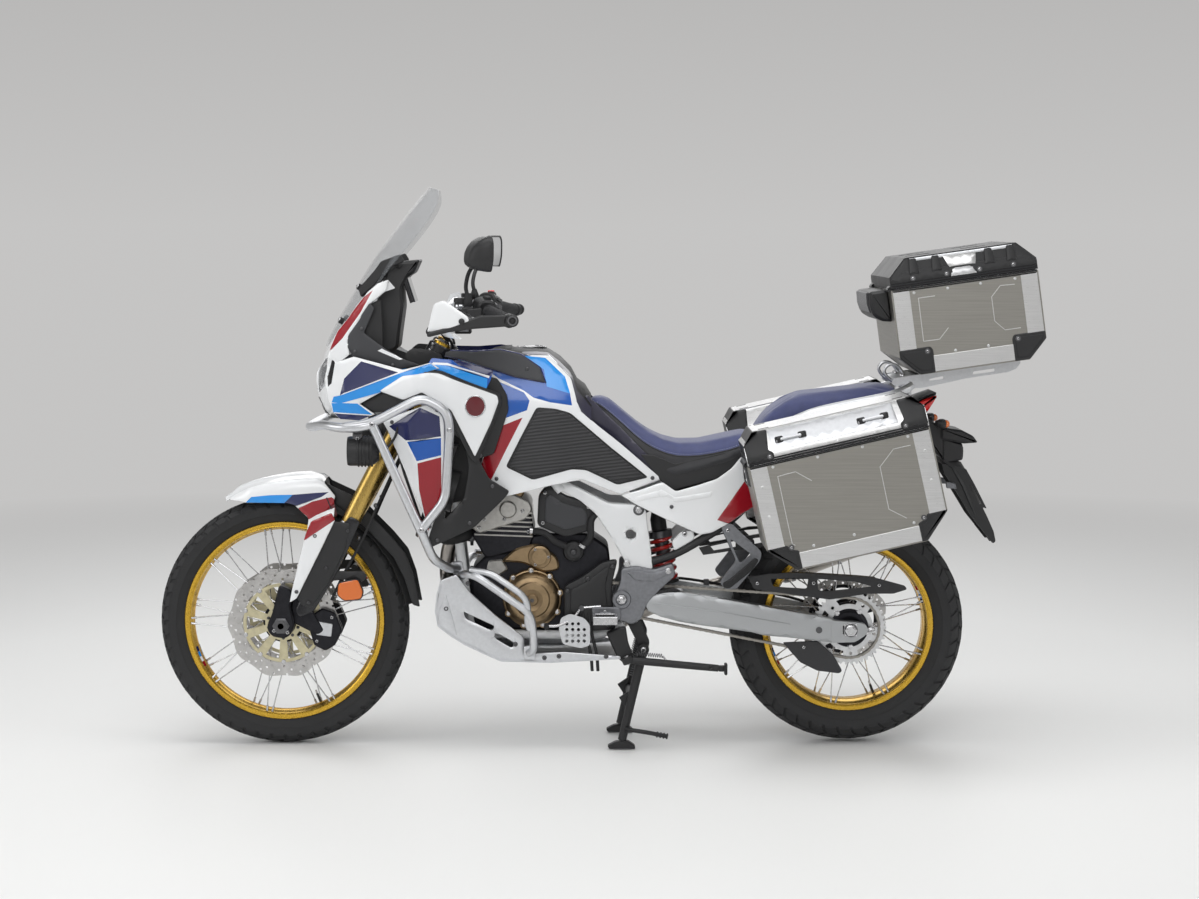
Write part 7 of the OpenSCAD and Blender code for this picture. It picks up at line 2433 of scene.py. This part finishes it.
def stuffed(m, name, held, cap=9, voxel=6.0, pressure=4.0):
    """Fills a closed form out like foam under a stretched cover, and returns the object."""
    data = bpy.data.meshes.new(name)
    data.from_pydata([(MID_X + v.x * MM, v.y * MM, v.z * MM) for v in m.verts], [], m.faces)
    bm = bmesh.new()
    bm.from_mesh(data)
    bmesh.ops.recalc_face_normals(bm, faces=bm.faces)
    bm.to_mesh(data)
    bm.free()
    obj = bpy.data.objects.new(name, data)
    scene = bpy.context.scene
    scene.collection.objects.link(obj)
    remesh = obj.modifiers.new("remesh", "REMESH")
    remesh.mode = "VOXEL"
    remesh.voxel_size = voxel * MM
    obj.data = bpy.data.meshes.new_from_object(obj.evaluated_get(bpy.context.evaluated_depsgraph_get()))
    obj.modifiers.clear()
    before = [v.co.copy() for v in obj.data.vertices]
    pins = obj.vertex_groups.new(name="held")
    pins.add([v.index for v in obj.data.vertices if held((v.co.x - MID_X) / MM, v.co.z / MM)], 1.0,
             "REPLACE")
    cloth = obj.modifiers.new("cover", "CLOTH")
    cloth.settings.quality = 6
    cloth.settings.mass = 0.3
    cloth.settings.tension_stiffness = 18
    cloth.settings.compression_stiffness = 18
    cloth.settings.use_pressure = True
    cloth.settings.uniform_pressure_force = pressure
    cloth.settings.effector_weights.gravity = 0
    cloth.settings.vertex_group_mass = "held"
    cloth.collision_settings.use_collision = False
    for f in range(1, 21):
        scene.frame_set(f)
    now = obj.evaluated_get(bpy.context.evaluated_depsgraph_get())
    after = [v.co.copy() for v in now.data.vertices]
    obj.modifiers.clear()
    scene.frame_set(1)
    for v, a, b in zip(obj.data.vertices, before, after):
        step = b - a
        if step.length > cap * MM:
            step = step.normalized() * cap * MM
        v.co = a + step
    bm = bmesh.new()
    bm.from_mesh(obj.data)
    for k in range(5):
        bmesh.ops.smooth_vert(bm, verts=bm.verts, factor=0.5, use_axis_x=True, use_axis_y=True,
                              use_axis_z=True)
    bm.to_mesh(obj.data)
    bm.free()
    once = obj.modifiers.new("fine", "SUBSURF")
    once.levels = once.render_levels = 1
    obj.data = bpy.data.meshes.new_from_object(obj.evaluated_get(bpy.context.evaluated_depsgraph_get()))
    obj.modifiers.clear()
    return obj


def two_tone(obj, line, upper, lower):
    """Splits the cover along a line in the side view: one vinyl above it and another below."""
    bm = bmesh.new()
    bm.from_mesh(obj.data)
    for x, z in line[1:-1]:
        bmesh.ops.bisect_plane(bm, geom=bm.verts[:] + bm.edges[:] + bm.faces[:],
                               plane_co=(MID_X + x * MM, 0, 0), plane_no=(1, 0, 0))
    for a, b in zip(line, line[1:]):
        lo, hi = min(a[0], b[0]), max(a[0], b[0])
        if a == line[0]:
            hi += 500
        if b == line[-1]:
            lo -= 500
        some = [f for f in bm.faces if lo <= (f.calc_center_median().x - MID_X) / MM <= hi]
        geom = list({v for f in some for v in f.verts}) + list({e for f in some for e in f.edges}) + some
        bmesh.ops.bisect_plane(bm, geom=geom, plane_co=at(a[0], 0, a[1]),
                               plane_no=(-(b[1] - a[1]), 0, b[0] - a[0]))
    for f in bm.faces:
        c = f.calc_center_median()
        x, z = (c.x - MID_X) / MM, c.z / MM
        f.material_index = 0 if z > line_height(line, x) else 1
        f.smooth = True
    obj.data.materials.clear()
    obj.data.materials.append(upper)
    obj.data.materials.append(lower)
    bm.to_mesh(obj.data)
    bm.free()


def line_height(line, x):
    """Height of a line drawn front to rear at x, carried on past its ends."""
    for a, b in zip(line, line[1:]):
        if x >= b[0] or b == line[-1]:
            return a[1] + (b[1] - a[1]) * (x - a[0]) / (b[0] - a[0])


def on_cover(tree_of, x, z, lift=0.6):
    """The point of a cover's left face at x, z in mm, or None."""
    hit = tree_of.ray_cast(at(x, 400, z), Vector((0, -1, 0)))[0]
    if hit is None:
        return None
    return ((hit.x - MID_X) / MM, hit.y / MM + lift, hit.z / MM)


def seams(obj, line, name, cord, offsets=(6,), pitch=7):
    """A piped seam along the line, with a row of stitches on each side of it."""
    bm = bmesh.new()
    bm.from_mesh(obj.data)
    cover = BVHTree.FromBMesh(bm)
    bm.free()
    m = Mesh()
    path = densify_open(line, 9)
    points = [p for p in (on_cover(cover, x, z, 0.4) for x, z in path) if p]
    m.tube(points, 3.6, cord, 8)
    for off in offsets:
        run = densify_open([(x, z + off) for x, z in line], pitch)
        for a, b in zip(run, run[1:]):
            p = on_cover(cover, a[0], a[1], 0.2)
            q = on_cover(cover, a[0] + (b[0] - a[0]) * 0.6, a[1] + (b[1] - a[1]) * 0.6, 0.2)
            if p and q and abs(p[1] - q[1]) < 4:
                m.rod(p, q, 1.0, THREAD, 6, 0.2)
    m.mirror()
    return m.make(name, "chassis")


def densify_open(line, step):
    """Adds points to an open line so that none are further than step apart."""
    out = [line[0]]
    for a, b in zip(line, line[1:]):
        n = max(1, round(math.dist(a, b) / step))
        out += [(a[0] + (b[0] - a[0]) * k / n, a[1] + (b[1] - a[1]) * k / n) for k in range(1, n + 1)]
    return out


RIDER = [(-66, 972, 962, 950, 44, 56), (-84, 982, 962, 936, 58, 72), (-104, 978, 950, 918, 70, 84),
         (-145, 942, 914, 878, 88, 101), (-192, 903, 872, 838, 104, 117), (-225, 880, 849, 800, 114, 127),
         (-262, 861, 830, 766, 123, 136), (-307, 849, 817, 760, 131, 141), (-370, 850, 819, 776, 133, 142),
         (-448, 866, 834, 800, 131, 141), (-496, 877, 850, 818, 122, 134), (-520, 879, 860, 838, 108, 122)]
RIDER_LINE = smooth_path([(-62, 968), (-98, 952), (-145, 914), (-192, 872), (-225, 848), (-262, 830),
                          (-307, 818), (-370, 819), (-448, 834), (-526, 860)], 2)
rider = stuffed(seat_form(RIDER), "rider_seat_pad", lambda x, z: z < line_height([(s[0], s[3] + 16)
                                                                                  for s in RIDER], x), 9)
two_tone(rider, RIDER_LINE, SEAT_BLUE, SEAT_BLACK)
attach(rider, "chassis")
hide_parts("seat_front")
seams(rider, RIDER_LINE[1:-1], "rider_seat_seams", SEAT_BLACK, (5,))

PILLION = [(-524, 896, 882, 868, 70, 82), (-545, 924, 902, 878, 92, 102), (-566, 948, 912, 884, 104, 113),
           (-605, 976, 934, 892, 115, 123), (-645, 984, 944, 906, 119, 126), (-687, 988, 950, 918, 120, 126),
           (-780, 998, 964, 936, 120, 126), (-860, 1008, 978, 952, 116, 122),
           (-900, 1012, 990, 966, 108, 114), (-916, 1008, 992, 976, 92, 100)]
PILLION_LINE = [(-518, 872), (-566, 904), (-605, 912), (-687, 934), (-780, 950), (-860, 966), (-918, 980)]
pillion = stuffed(seat_form(PILLION), "passenger_seat_pad",
                  lambda x, z: z < line_height([(s[0], s[3] + 14) for s in PILLION], x), 8)
two_tone(pillion, PILLION_LINE, SEAT_BLUE, SEAT_BLACK)
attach(pillion, "chassis")
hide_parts("seat_rear")
seams(pillion, PILLION_LINE[1:-1], "passenger_seat_seams", SEAT_BLACK, (5,))


def seat_base():
    """Moulded pan below the rider's seat, and the storage cover beside the tail."""
    m = Mesh()
    outline = [(-206, 822), (-258, 752), (-290, 722), (-416, 756), (-474, 800), (-488, 826), (-440, 828),
               (-300, 796), (-240, 820)]
    m.prism(rounded(outline, 4), 112, 126, BLACK, 1)
    m.mirror()
    m.prism([(-262, 762), (-300, 740), (-470, 790), (-510, 826), (-470, 812), (-300, 766)], -112, 112,
            BLACK, 2)
    m.prism([(-510, 826), (-560, 884), (-900, 958), (-900, 946), (-560, 868), (-520, 818)], -100, 100,
            BLACK, 2)
    m.make("seat_base_pan", "chassis")


seat_base()


# ---------------------------------------------------------------- tail

def rear_mudguard():
    """The mudguard, the bare number bracket it carries and its lamp."""
    m = Mesh()
    # upper tray between the tail panels, with a peak behind
    m.prism(rounded([(-962, 925), (-1010, 914), (-1052, 884), (-1049, 800), (-990, 850), (-962, 862)], 8),
            -66, 66, BLACK, 6)
    wing = [(-1040, 892), (-1098, 884), (-1130, 868), (-1144, 849), (-1104, 846), (-1040, 858)]
    m.prism(rounded(wing, 6), -72, 72, BLACK, 6)
    # number bracket block, with no plate on it
    m.prism(rounded([(-1046, 862), (-1102, 846), (-1106, 826), (-1104, 800), (-1046, 786)], 5), -60, 60,
            BLACK, 5)
    m.prism(rounded(rect(-1101, -1109, 834, 806), 2), -34, 34, REFLECTOR, 1.5)
    # the long blade: a bowed channel with side flanges and a slot in its rear wing
    spine = [(-1040, 800), (-1072, 776), (-1100, 728), (-1128, 664), (-1158, 604), (-1184, 570)]
    back = [(-1110, 786), (-1124, 760), (-1146, 716), (-1166, 668), (-1186, 612), (-1197, 572)]
    wide = [60, 64, 66, 64, 56, 40]
    n = 10
    rows = []
    for a, b, w in zip(spine, back, wide):
        rows.append([(a[0] + (b[0] - a[0]) * 0.92 * (1 - (2 * k / n - 1) ** 2) ** 0.5, -w + 2 * w * k / n,
                      a[1] + (b[1] - a[1]) * 0.92 * (1 - (2 * k / n - 1) ** 2) ** 0.5) for k in range(n + 1)])
    grid(m, rows, 4, BLACK)
    wing_mesh = Mesh()
    blade = [(-1046, 790), (-1112, 776), (-1136, 734), (-1172, 664), (-1160, 668), (-1174, 640),
             (-1192, 600), (-1198, 572), (-1190, 566), (-1130, 640), (-1086, 712), (-1050, 766)]
    slot = rounded([(-1122, 730), (-1130, 728), (-1158, 676), (-1150, 678)], 2)
    wing_mesh.prism(rounded(blade, 4), 58, 64, BLACK, 2, holes=[slot])
    m.merge(wing_mesh.mirror())
    # lamp arms and the two turn signals, set between the cases
    for s in (-1, 1):
        m.rod((-1030, s * 60, 905), (-1036, s * 92, 905), 13, RUBBER, 18, 2)
        m.ball((-1036, s * 112, 905), 40, BLACK, (0.9, 1.15, 0.7))
        m.ball((-1044, s * 112, 905), 36, ORANGE, (0.8, 1.05, 0.66))
        m.prism(rounded([(-1056, 740), (-1082, 736), (-1086, 720), (-1058, 722)], 3), s * 66 - 7,
                s * 66 + 7, CAST, 2)
    m.make("rear_mudguard_shell", "chassis", "rear_mudguard", "black_plastic")


rear_mudguard()


def tail_lamp():
    """The lamp below the rack."""
    m = Mesh()
    lens = [(-968, 955), (-984, 968), (-1029, 981), (-1022, 966), (-1003, 936), (-968, 934)]
    m.prism(rounded(lens, 4), -74, 74, RED_LENS, 6)
    m.prism(rounded([(-970, 951), (-986, 961), (-1018, 970), (-1002, 944), (-970, 940)], 4), -66, 66,
            REFLECTOR, 3)
    m.prism(rounded([(-962, 966), (-985, 976), (-1026, 990), (-1024, 981), (-984, 968), (-962, 954)], 3),
            -78, 78, BLACK, 3)
    m.prism([(-962, 936), (-1002, 936), (-996, 928), (-962, 926)], -78, 78, BLACK, 2)
    for k in range(9):
        y = -60 + 15 * k
        m.prism([(-975, 949), (-1010, 962), (-1008, 958), (-975, 945)], y - 1, y + 1, RED_LENS, 0.4)
    m.make("tail_lamp_unit", "chassis", "tail_light", "tail_red")


tail_lamp()


# ---------------------------------------------------------------- subframe and racks

def rear_frame():
    """The tubes that carry the tail."""
    m = Mesh()
    upper = [(-205, 104, 662), (-330, 92, 735), (-500, 92, 800), (-960, 92, 915)]
    lower = [(-225, 110, 520), (-300, 106, 540), (-450, 104, 628), (-640, 96, 822)]
    m.tube(bend_path(upper, 60), 25, BLACK, 18)
    m.tube(bend_path(lower, 60), 23, BLACK, 18)
    # black brace with triangular openings
    m.prism([(-368, 560), (-520, 596), (-640, 600), (-660, 584), (-520, 560), (-380, 540)], 90, 100, BLACK, 2,
            holes=[[(-400, 564), (-470, 580), (-470, 562), (-410, 552)],
                   [(-490, 584), (-570, 592), (-600, 584), (-500, 566)]])
    # weld gussets, bolts and the hanger for the passenger's peg
    m.prism(rounded([(-300, 552), (-356, 586), (-352, 610), (-318, 606), (-292, 580)], 8), 100, 112, WHITE,
            2.5)
    m.bolt((-328, 112, 600), (0, 1, 0), 15, STEEL, 5)
    m.bolt((-222, 112, 520), (0, 1, 0), 15, STEEL, 5)
    hanger = [(-427, 622), (-455, 632), (-540, 552), (-536, 528), (-470, 448), (-440, 448), (-424, 468),
              (-470, 528)]
    m.prism(rounded(hanger, 9), 118, 128, CAST, 2.5, holes=[rounded([(-452, 590), (-512, 545), (-480, 520),
                                                                     (-462, 560)], 8)])
    m.bolt((-446, 128, 612), (0, 1, 0), 12, STEEL, 4)
    m.mirror()
    for x, z in ((-500, 800), (-640, 836), (-950, 912)):
        m.rod((x, -92, z), (x, 92, z), 19, BLACK, 18)
    tray = [(-300, 722), (-420, 752), (-520, 800), (-960, 900), (-960, 882), (-560, 762), (-420, 702),
            (-300, 692)]
    m.prism(rounded(tray, 8), -79, 79, BLACK, 4)
    for k in range(5):
        x = -560 - k * 80
        z = 764 + (-560 - x) * 0.3
        m.prism([(x, z - 7), (x - 50, z + 8), (x - 50, z + 3), (x, z - 12)], -60, 60, BLACK, 1)
    m.make("rear_frame_tubes", "chassis", "subframe", "black_metal")


rear_frame()


def racks():
    """The rack and the rails that carry the cases."""
    m = Mesh()
    rail_path = [(-598, 140, 905), (-640, 150, 926), (-690, 158, 945), (-780, 157, 965), (-880, 154, 985),
                 (-930, 138, 1002), (-950, 122, 1012)]
    flat = [(-5, -11), (5, -11), (8, -6), (8, 6), (5, 11), (-5, 11), (-8, 6), (-8, -6)]
    path = smooth_path(rail_path, 5)
    m.sweep(path, [flat] * len(path), SILVER)
    m.tube(path, 17.6, SILVER, 18)
    for x, y, z in ((-640, 150, 926), (-930, 138, 1002)):
        m.lathe([(0, 0), (10, 0), (11, 2), (11, 12), (0, 12)], (x, y - 14, z - 4), (0, 0.6, -0.8), SILVER, 20)
        m.bolt((x, y - 2, z + 6), (0, 0, 1), 9, STEEL, 3)
    hoop = [(-537, 682), (-700, 691), (-905, 736), (-940, 800), (-905, 899), (-700, 862), (-537, 810)]
    hole = [(-553, 698), (-700, 707), (-895, 750), (-922, 800), (-893, 881), (-700, 846), (-553, 796)]
    m.prism(rounded(hoop, 20, 5), 200, 214, BLACK, 3, holes=[rounded(hole, 14, 5)])
    for z in (692, 796):
        m.rod((-550, 107, z), (-550, 203, z), 13, BLACK, 16)
        m.bolt((-550, 214, z), (0, 1, 0), 10, STEEL, 3)
    m.rod((-948, 78, 927), (-948, 78, 1022), 15, SILVER, 20)
    m.mirror()
    for s, face in ((1, 236), (-1, -266)):
        for x, z in ((-620, 694), (-860, 734), (-620, 829), (-860, 884)):
            m.rod((x, s * 207, z), (x, face, z), 9, STEEL, 14)
            m.lathe([(6, 0), (12, 0), (13, 3), (13, 8), (6, 8)], (x, face - s * 9, z), (0, s, 0), RUBBER, 22)
    # plate below the top case: folded sheet with slots, its front loop and its stays
    plate_shape = [(-896, 1016), (-902, 1030), (-940, 1037), (-1040, 1051), (-1246, 1081), (-1252, 1075),
                   (-1240, 1058), (-1218, 1048), (-1100, 1030), (-980, 1004), (-950, 1004), (-930, 1012),
                   (-910, 1008)]
    slots = [rounded([(-1000, 1031), (-1040, 1037), (-1040, 1029), (-1000, 1023)], 3.5),
             rounded([(-1120, 1049), (-1180, 1058), (-1180, 1049), (-1120, 1041)], 3.5)]
    rack = Mesh()
    rack.prism(rounded(plate_shape, 3), 108, 114, SILVER, 1.5, holes=slots)
    m.merge(rack.mirror())
    m.prism([(-905, 1019), (-905, 1028), (-940, 1035), (-1250, 1079), (-1250, 1070), (-940, 1026)], -112,
            112, SILVER, 1.5)
    for x in (-980, -1060, -1140, -1210):
        z = 1035 + (-940 - x) * 0.142
        m.prism([(x + 14, z - 9), (x - 14, z - 5), (x - 14, z + 3), (x + 14, z - 1)], -80, 80, DARK_STEEL, 1)
    loop = [(-905, 60, 1020), (-890, 62, 1032), (-882, 62, 1050), (-896, 62, 1066), (-918, 62, 1062),
            (-936, 62, 1040)]
    hoops = Mesh()
    hoops.tube(smooth_path(loop, 4), 9, SILVER, 12)
    hoops.bolt((-930, 90, 1037), (0, 0, 1), 12, STEEL, 4)
    hoops.bolt((-930, 64, 1037), (0, 0, 1), 12, STEEL, 4)
    m.merge(hoops.mirror())
    m.make("racks_and_grab_rails", "chassis", "luggage_rack", "silver_plate")


racks()


# ---------------------------------------------------------------- stands

STAND_AT = (-214, 280)
STAND_LEAN = math.radians(13)


def stand_point(l, y, off=0.0):
    """A point of the lowered centre stand, l down its leg from the pivot."""
    return (STAND_AT[0] + l * math.sin(STAND_LEAN) + off * math.cos(STAND_LEAN), y,
            STAND_AT[1] - l * math.cos(STAND_LEAN) + off * math.sin(STAND_LEAN))


def centre_stand():
    """The two legs of the centre stand with their feet and crosspiece."""
    m = Mesh()
    # pivot bosses, flattened legs, gussets and feet
    m.lathe([(8, 0), (15, 0), (16, 2), (16, 22), (15, 24), (8, 24)], (STAND_AT[0], 105, STAND_AT[1]),
            (0, 1, 0), BLACK, 28)
    m.bolt((STAND_AT[0], 129, STAND_AT[1]), (0, 1, 0), 17, STEEL, 5)
    m.tube([stand_point(4, 117), stand_point(120, 117), stand_point(200, 117), stand_point(262, 117)],
           [26, 25, 24, 24], BLACK, 18)
    foot = stand_point(270, 117)
    m.prism(rounded([(foot[0] - 38, 1), (foot[0] + 34, 1), (foot[0] + 39, 10), (foot[0] + 16, 22),
                     (foot[0] - 18, 24), (foot[0] - 38, 10)], 4), 104, 130, BLACK, 3)
    m.prism(rounded([(foot[0] - 30, 0.5), (foot[0] + 30, 0.5), (foot[0] + 30, 4), (foot[0] - 30, 4)], 1.5),
            105, 129, DARK_STEEL, 1)
    a, b, c = stand_point(120, 117, 6), stand_point(178, 117, 6), stand_point(150, 117, 34)
    m.prism([(a[0], a[2]), (b[0], b[2]), (c[0], c[2])], 96, 108, BLACK, 2)
    # return springs hooked between the leg and the frame
    top, low = Vector((-206, 96, 300)), Vector(stand_point(96, 98, 14))
    u = (low - top).normalized()
    m.tube(helix(top + u * 12, u, 5.5, 14, (low - top).length - 24, 168), 2.2, DARK_STEEL, 6)
    m.mirror()
    m.rod(stand_point(150, -117), stand_point(150, 117), 22, BLACK, 20)
    # tread arm for the rider's boot on the left, with a ribbed end
    tang = Vector(stand_point(225, 117))
    path = [tang, tang + Vector((-12, 24, -3)), tang + Vector((-60, 26, -10)), tang + Vector((-118, 24, -22))]
    m.tube(bend_path([tuple(p) for p in path], 12), 12, BLACK, 14)
    end = tang + Vector((-118, 24, -22))
    for k in range(4):
        q = end + Vector((9 * k, 0, 1.7 * k))
        m.lathe([(6, 0), (8.4, 0.5), (8.4, 4), (6, 4.5)], q, (1, 0, 0.19), RUBBER, 16)
    m.make("centre_stand_legs", "centre_stand", "centre_stand", "black_metal")


centre_stand()


def side_stand():
    """The leg of the side stand with its foot."""
    m = Mesh()
    p = Vector((-170, 166, 258))
    d = Vector((-0.9955, 0.03, -0.09)).normalized()
    foot = p + d * 262
    m.lathe([(0, -9), (16, -9), (17, -7), (17, 7), (16, 9), (0, 9)], p, (0.4, 0, 0.9), BLACK, 28)
    m.rod(p - Vector((0.4, 0, 0.9)).normalized() * 12, p + Vector((0.4, 0, 0.9)).normalized() * 12, 14,
          STEEL, 18)
    m.tube([p + d * 4, p + d * 60, p + d * 180, p + d * 250], [22, 21, 20, 19], BLACK, 18)
    m.prism(rounded(rect(foot.x - 12, foot.x - 4, foot.z - 15, foot.z + 16), 3), foot.y - 8, foot.y + 21,
            BLACK, 3)
    m.prism(rounded(rect(foot.x - 6, foot.x + 12, foot.z - 7, foot.z + 9), 3), foot.y - 6, foot.y + 9,
            BLACK, 2)
    m.rod(p + d * 226 + Vector((0, 6, 0)), p + d * 232 + Vector((0, 30, 8)), 9, BLACK, 14)
    m.tube(helix(p + d * 22 + Vector((0, 0, 20)), d, 5, 12, 74, 144), 2.2, DARK_STEEL, 6)
    m.rod(p + d * 96 + Vector((0, 0, 20)), p + d * 108 + Vector((0, 0, 6)), 5, STEEL, 10)
    m.make("side_stand_leg", "side_stand", "side_stand", "black_metal")


side_stand()


# ---------------------------------------------------------------- hoses and cables

def bar_cables():
    """Cables and hoses from the handlebar to the head."""
    m = Mesh()
    head = steer_x(1080)
    runs = [
        ([(X_S - 16, 214, 1216), (X_S + 34, 168, 1206), (X_S + 58, 112, 1176), (X_S + 44, 66, 1130),
          (head + 30, 40, 1064)], 8),
        ([(X_S - 28, 206, 1212), (X_S + 26, 150, 1190), (X_S + 48, 96, 1158), (X_S + 30, 52, 1112),
          (head + 26, 30, 1050)], 7),
        ([(X_S - 6, 190, 1210), (X_S + 46, 132, 1196), (X_S + 60, 88, 1160), (X_S + 40, 44, 1110),
          (head + 30, 18, 1046)], 6),
    ]
    for path, d in runs:
        m.tube(smooth_path(path, 6), d, RUBBER, 12)
        m.lathe(rect(0, d * 0.8, 0, 12), path[0], (0.3, -0.9, -0.2), STEEL, 14)
    m.mirror()
    # instrument loom across the head and its clips
    m.tube(smooth_path([(X_S + 20, -60, 1166), (X_S + 52, 0, 1150), (X_S + 20, 60, 1166)], 6), 9, RUBBER, 12)
    m.prism(rounded([(X_S - 22, 1150), (X_S + 26, 1150), (X_S + 22, 1168), (X_S - 20, 1168)], 5), -30, 30,
            BLACK, 3)
    m.make("handlebar_cables", "steering")


bar_cables()


def brake_hoses():
    """Hoses along the fork legs and along the swingarm."""
    m = Mesh()
    for s in (1, -1):
        path = [leg_point(905, -38, s * 84), leg_point(800, -40, s * 92), leg_point(690, -46, s * 108),
                leg_point(600, -52, s * 116), leg_point(500, -50, s * 110), leg_point(430, -52, s * 96)]
        m.tube(smooth_path(path, 6), 8, RUBBER, 12)
        for z in (690, 600):
            p = Vector(leg_point(z, -42, s * 112))
            m.ball(p, 14, DARK_STEEL)
    m.make("front_brake_hoses", "steering")
    rear = Mesh()
    path = [(-236, -112, 446), (-330, -106, 446), (-470, -104, 424), (-620, -104, 396), (-700, -100, 372),
            (-730, -92, 352)]
    rear.tube(smooth_path(path, 6), 8, RUBBER, 12)
    for x, z in ((-400, 436), (-560, 408)):
        rear.prism(rounded(rect(x - 8, x + 8, z - 12, z + 8), 3), -111, -98, DARK_STEEL, 1)
    rear.make("rear_brake_hose", "chassis")


brake_hoses()

# the two axles keep their CAD shapes
for node in ("front_axle", "rear_axle"):
    for slot in frame["nodes"][node].material_slots:
        slot.material = DARK_STEEL


# ---------------------------------------------------------------- studio

def stage_plane(name, size, z, mat):
    """A square plane for the studio, outside the part."""
    data = bpy.data.meshes.new(name)
    h = size / 2
    data.from_pydata([(-h, -h, z), (h, -h, z), (h, h, z), (-h, h, z)], [], [(0, 1, 2, 3)])
    data.materials.append(mat)
    obj = bpy.data.objects.new(name, data)
    bpy.context.scene.collection.objects.link(obj)
    return obj


WALL = (0.56, 0.555, 0.55, 1)
FLOOR = new_material("studio_floor", (0.80, 0.80, 0.79), 0.55)
stage_plane("floor", 90, -0.001, FLOOR)

world = bpy.data.worlds.new("studio")
bpy.context.scene.world = world
world.use_nodes = True
tree = world.node_tree
background = tree.nodes["Background"]
background.inputs["Color"].default_value = (0.82, 0.83, 0.84, 1)
background.inputs["Strength"].default_value = 0.42
seen = tree.nodes.new("ShaderNodeBackground")
seen.inputs["Strength"].default_value = 1.0
sky = tree.nodes.new("ShaderNodeTexCoord")
split = tree.nodes.new("ShaderNodeSeparateXYZ")
wall = tree.nodes.new("ShaderNodeValToRGB")
wall.color_ramp.elements[0].position = 0.0
wall.color_ramp.elements[0].color = WALL
wall.color_ramp.elements[1].position = 0.12
wall.color_ramp.elements[1].color = (0.46, 0.455, 0.45, 1)
high = wall.color_ramp.elements.new(0.5)
high.color = (0.16, 0.16, 0.16, 1)
tree.links.new(sky.outputs["Generated"], split.inputs["Vector"])
tree.links.new(split.outputs["Z"], wall.inputs["Fac"])
tree.links.new(wall.outputs["Color"], seen.inputs["Color"])
# the camera, mirrors and glass see the wall; every other ray is lit by the plain background
rays = tree.nodes.new("ShaderNodeLightPath")
direct = tree.nodes.new("ShaderNodeMath")
direct.operation = "MAXIMUM"
through = tree.nodes.new("ShaderNodeMath")
through.operation = "MAXIMUM"
tree.links.new(rays.outputs["Is Camera Ray"], direct.inputs[0])
tree.links.new(rays.outputs["Is Glossy Ray"], direct.inputs[1])
tree.links.new(direct.outputs["Value"], through.inputs[0])
tree.links.new(rays.outputs["Is Transmission Ray"], through.inputs[1])
mix = tree.nodes.new("ShaderNodeMixShader")
tree.links.new(through.outputs["Value"], mix.inputs["Fac"])
tree.links.new(background.outputs["Background"], mix.inputs[1])
tree.links.new(seen.outputs["Background"], mix.inputs[2])
tree.links.new(mix.outputs["Shader"], tree.nodes["World Output"].inputs["Surface"])

# the floor fades into the wall's own brightness well away from the machine
floor_tree = FLOOR.node_tree
place = floor_tree.nodes.new("ShaderNodeTexCoord")
away = floor_tree.nodes.new("ShaderNodeVectorMath")
away.operation = "LENGTH"
fade = floor_tree.nodes.new("ShaderNodeMapRange")
fade.inputs["From Min"].default_value = 2.6
fade.inputs["From Max"].default_value = 7.0
glow = floor_tree.nodes.new("ShaderNodeEmission")
glow.inputs["Color"].default_value = WALL
blend = floor_tree.nodes.new("ShaderNodeMixShader")
floor_tree.links.new(place.outputs["Object"], away.inputs[0])
floor_tree.links.new(away.outputs["Value"], fade.inputs["Value"])
floor_tree.links.new(fade.outputs["Result"], blend.inputs["Fac"])
floor_tree.links.new(floor_tree.nodes["Principled BSDF"].outputs["BSDF"], blend.inputs[1])
floor_tree.links.new(glow.outputs["Emission"], blend.inputs[2])
floor_tree.links.new(blend.outputs["Shader"], floor_tree.nodes["Material Output"].inputs["Surface"])


def lamp(name, place, target, size, size_y, watts):
    """A soft rectangular studio lamp."""
    data = bpy.data.lights.new(name, "AREA")
    data.shape = "RECTANGLE"
    data.size, data.size_y = size, size_y
    data.energy = watts
    obj = bpy.data.objects.new(name, data)
    obj.location = place
    obj.rotation_euler = (Vector(target) - Vector(place)).to_track_quat("-Z", "Y").to_euler()
    bpy.context.scene.collection.objects.link(obj)
    return obj


lamp("overhead", (0, 0.6, 5.2), (0, 0, 0.5), 6.5, 3.2, 170)
lamp("near_side", (0.6, 5.2, 3.4), (0, 0, 0.7), 5.0, 2.6, 115)
lamp("front_side", (4.8, 1.6, 2.4), (0, 0, 0.8), 2.4, 2.4, 45)
lamp("rear_side", (-4.8, 1.8, 2.6), (0, 0, 0.8), 2.4, 2.4, 38)
lamp("far_side", (0, -4.6, 3.0), (0, 0, 0.7), 4.5, 2.2, 60)

# the photograph's viewpoint: square to the left side, seven metres away
LENS_MM = 75.4
VIEWPOINT = at(0, 7000, 1450)
AIM = at(-94, 0, 825)
camera_data = bpy.data.cameras.new("camera")
camera_data.sensor_width = 36
camera_data.lens = LENS_MM
camera_data.clip_end = 200
camera = bpy.data.objects.new("camera", camera_data)
camera.location = VIEWPOINT
camera.rotation_euler = (AIM - VIEWPOINT).to_track_quat("-Z", "Y").to_euler()
bpy.context.scene.collection.objects.link(camera)
bpy.context.scene.camera = camera
bpy.context.scene.view_settings.view_transform = "Standard"
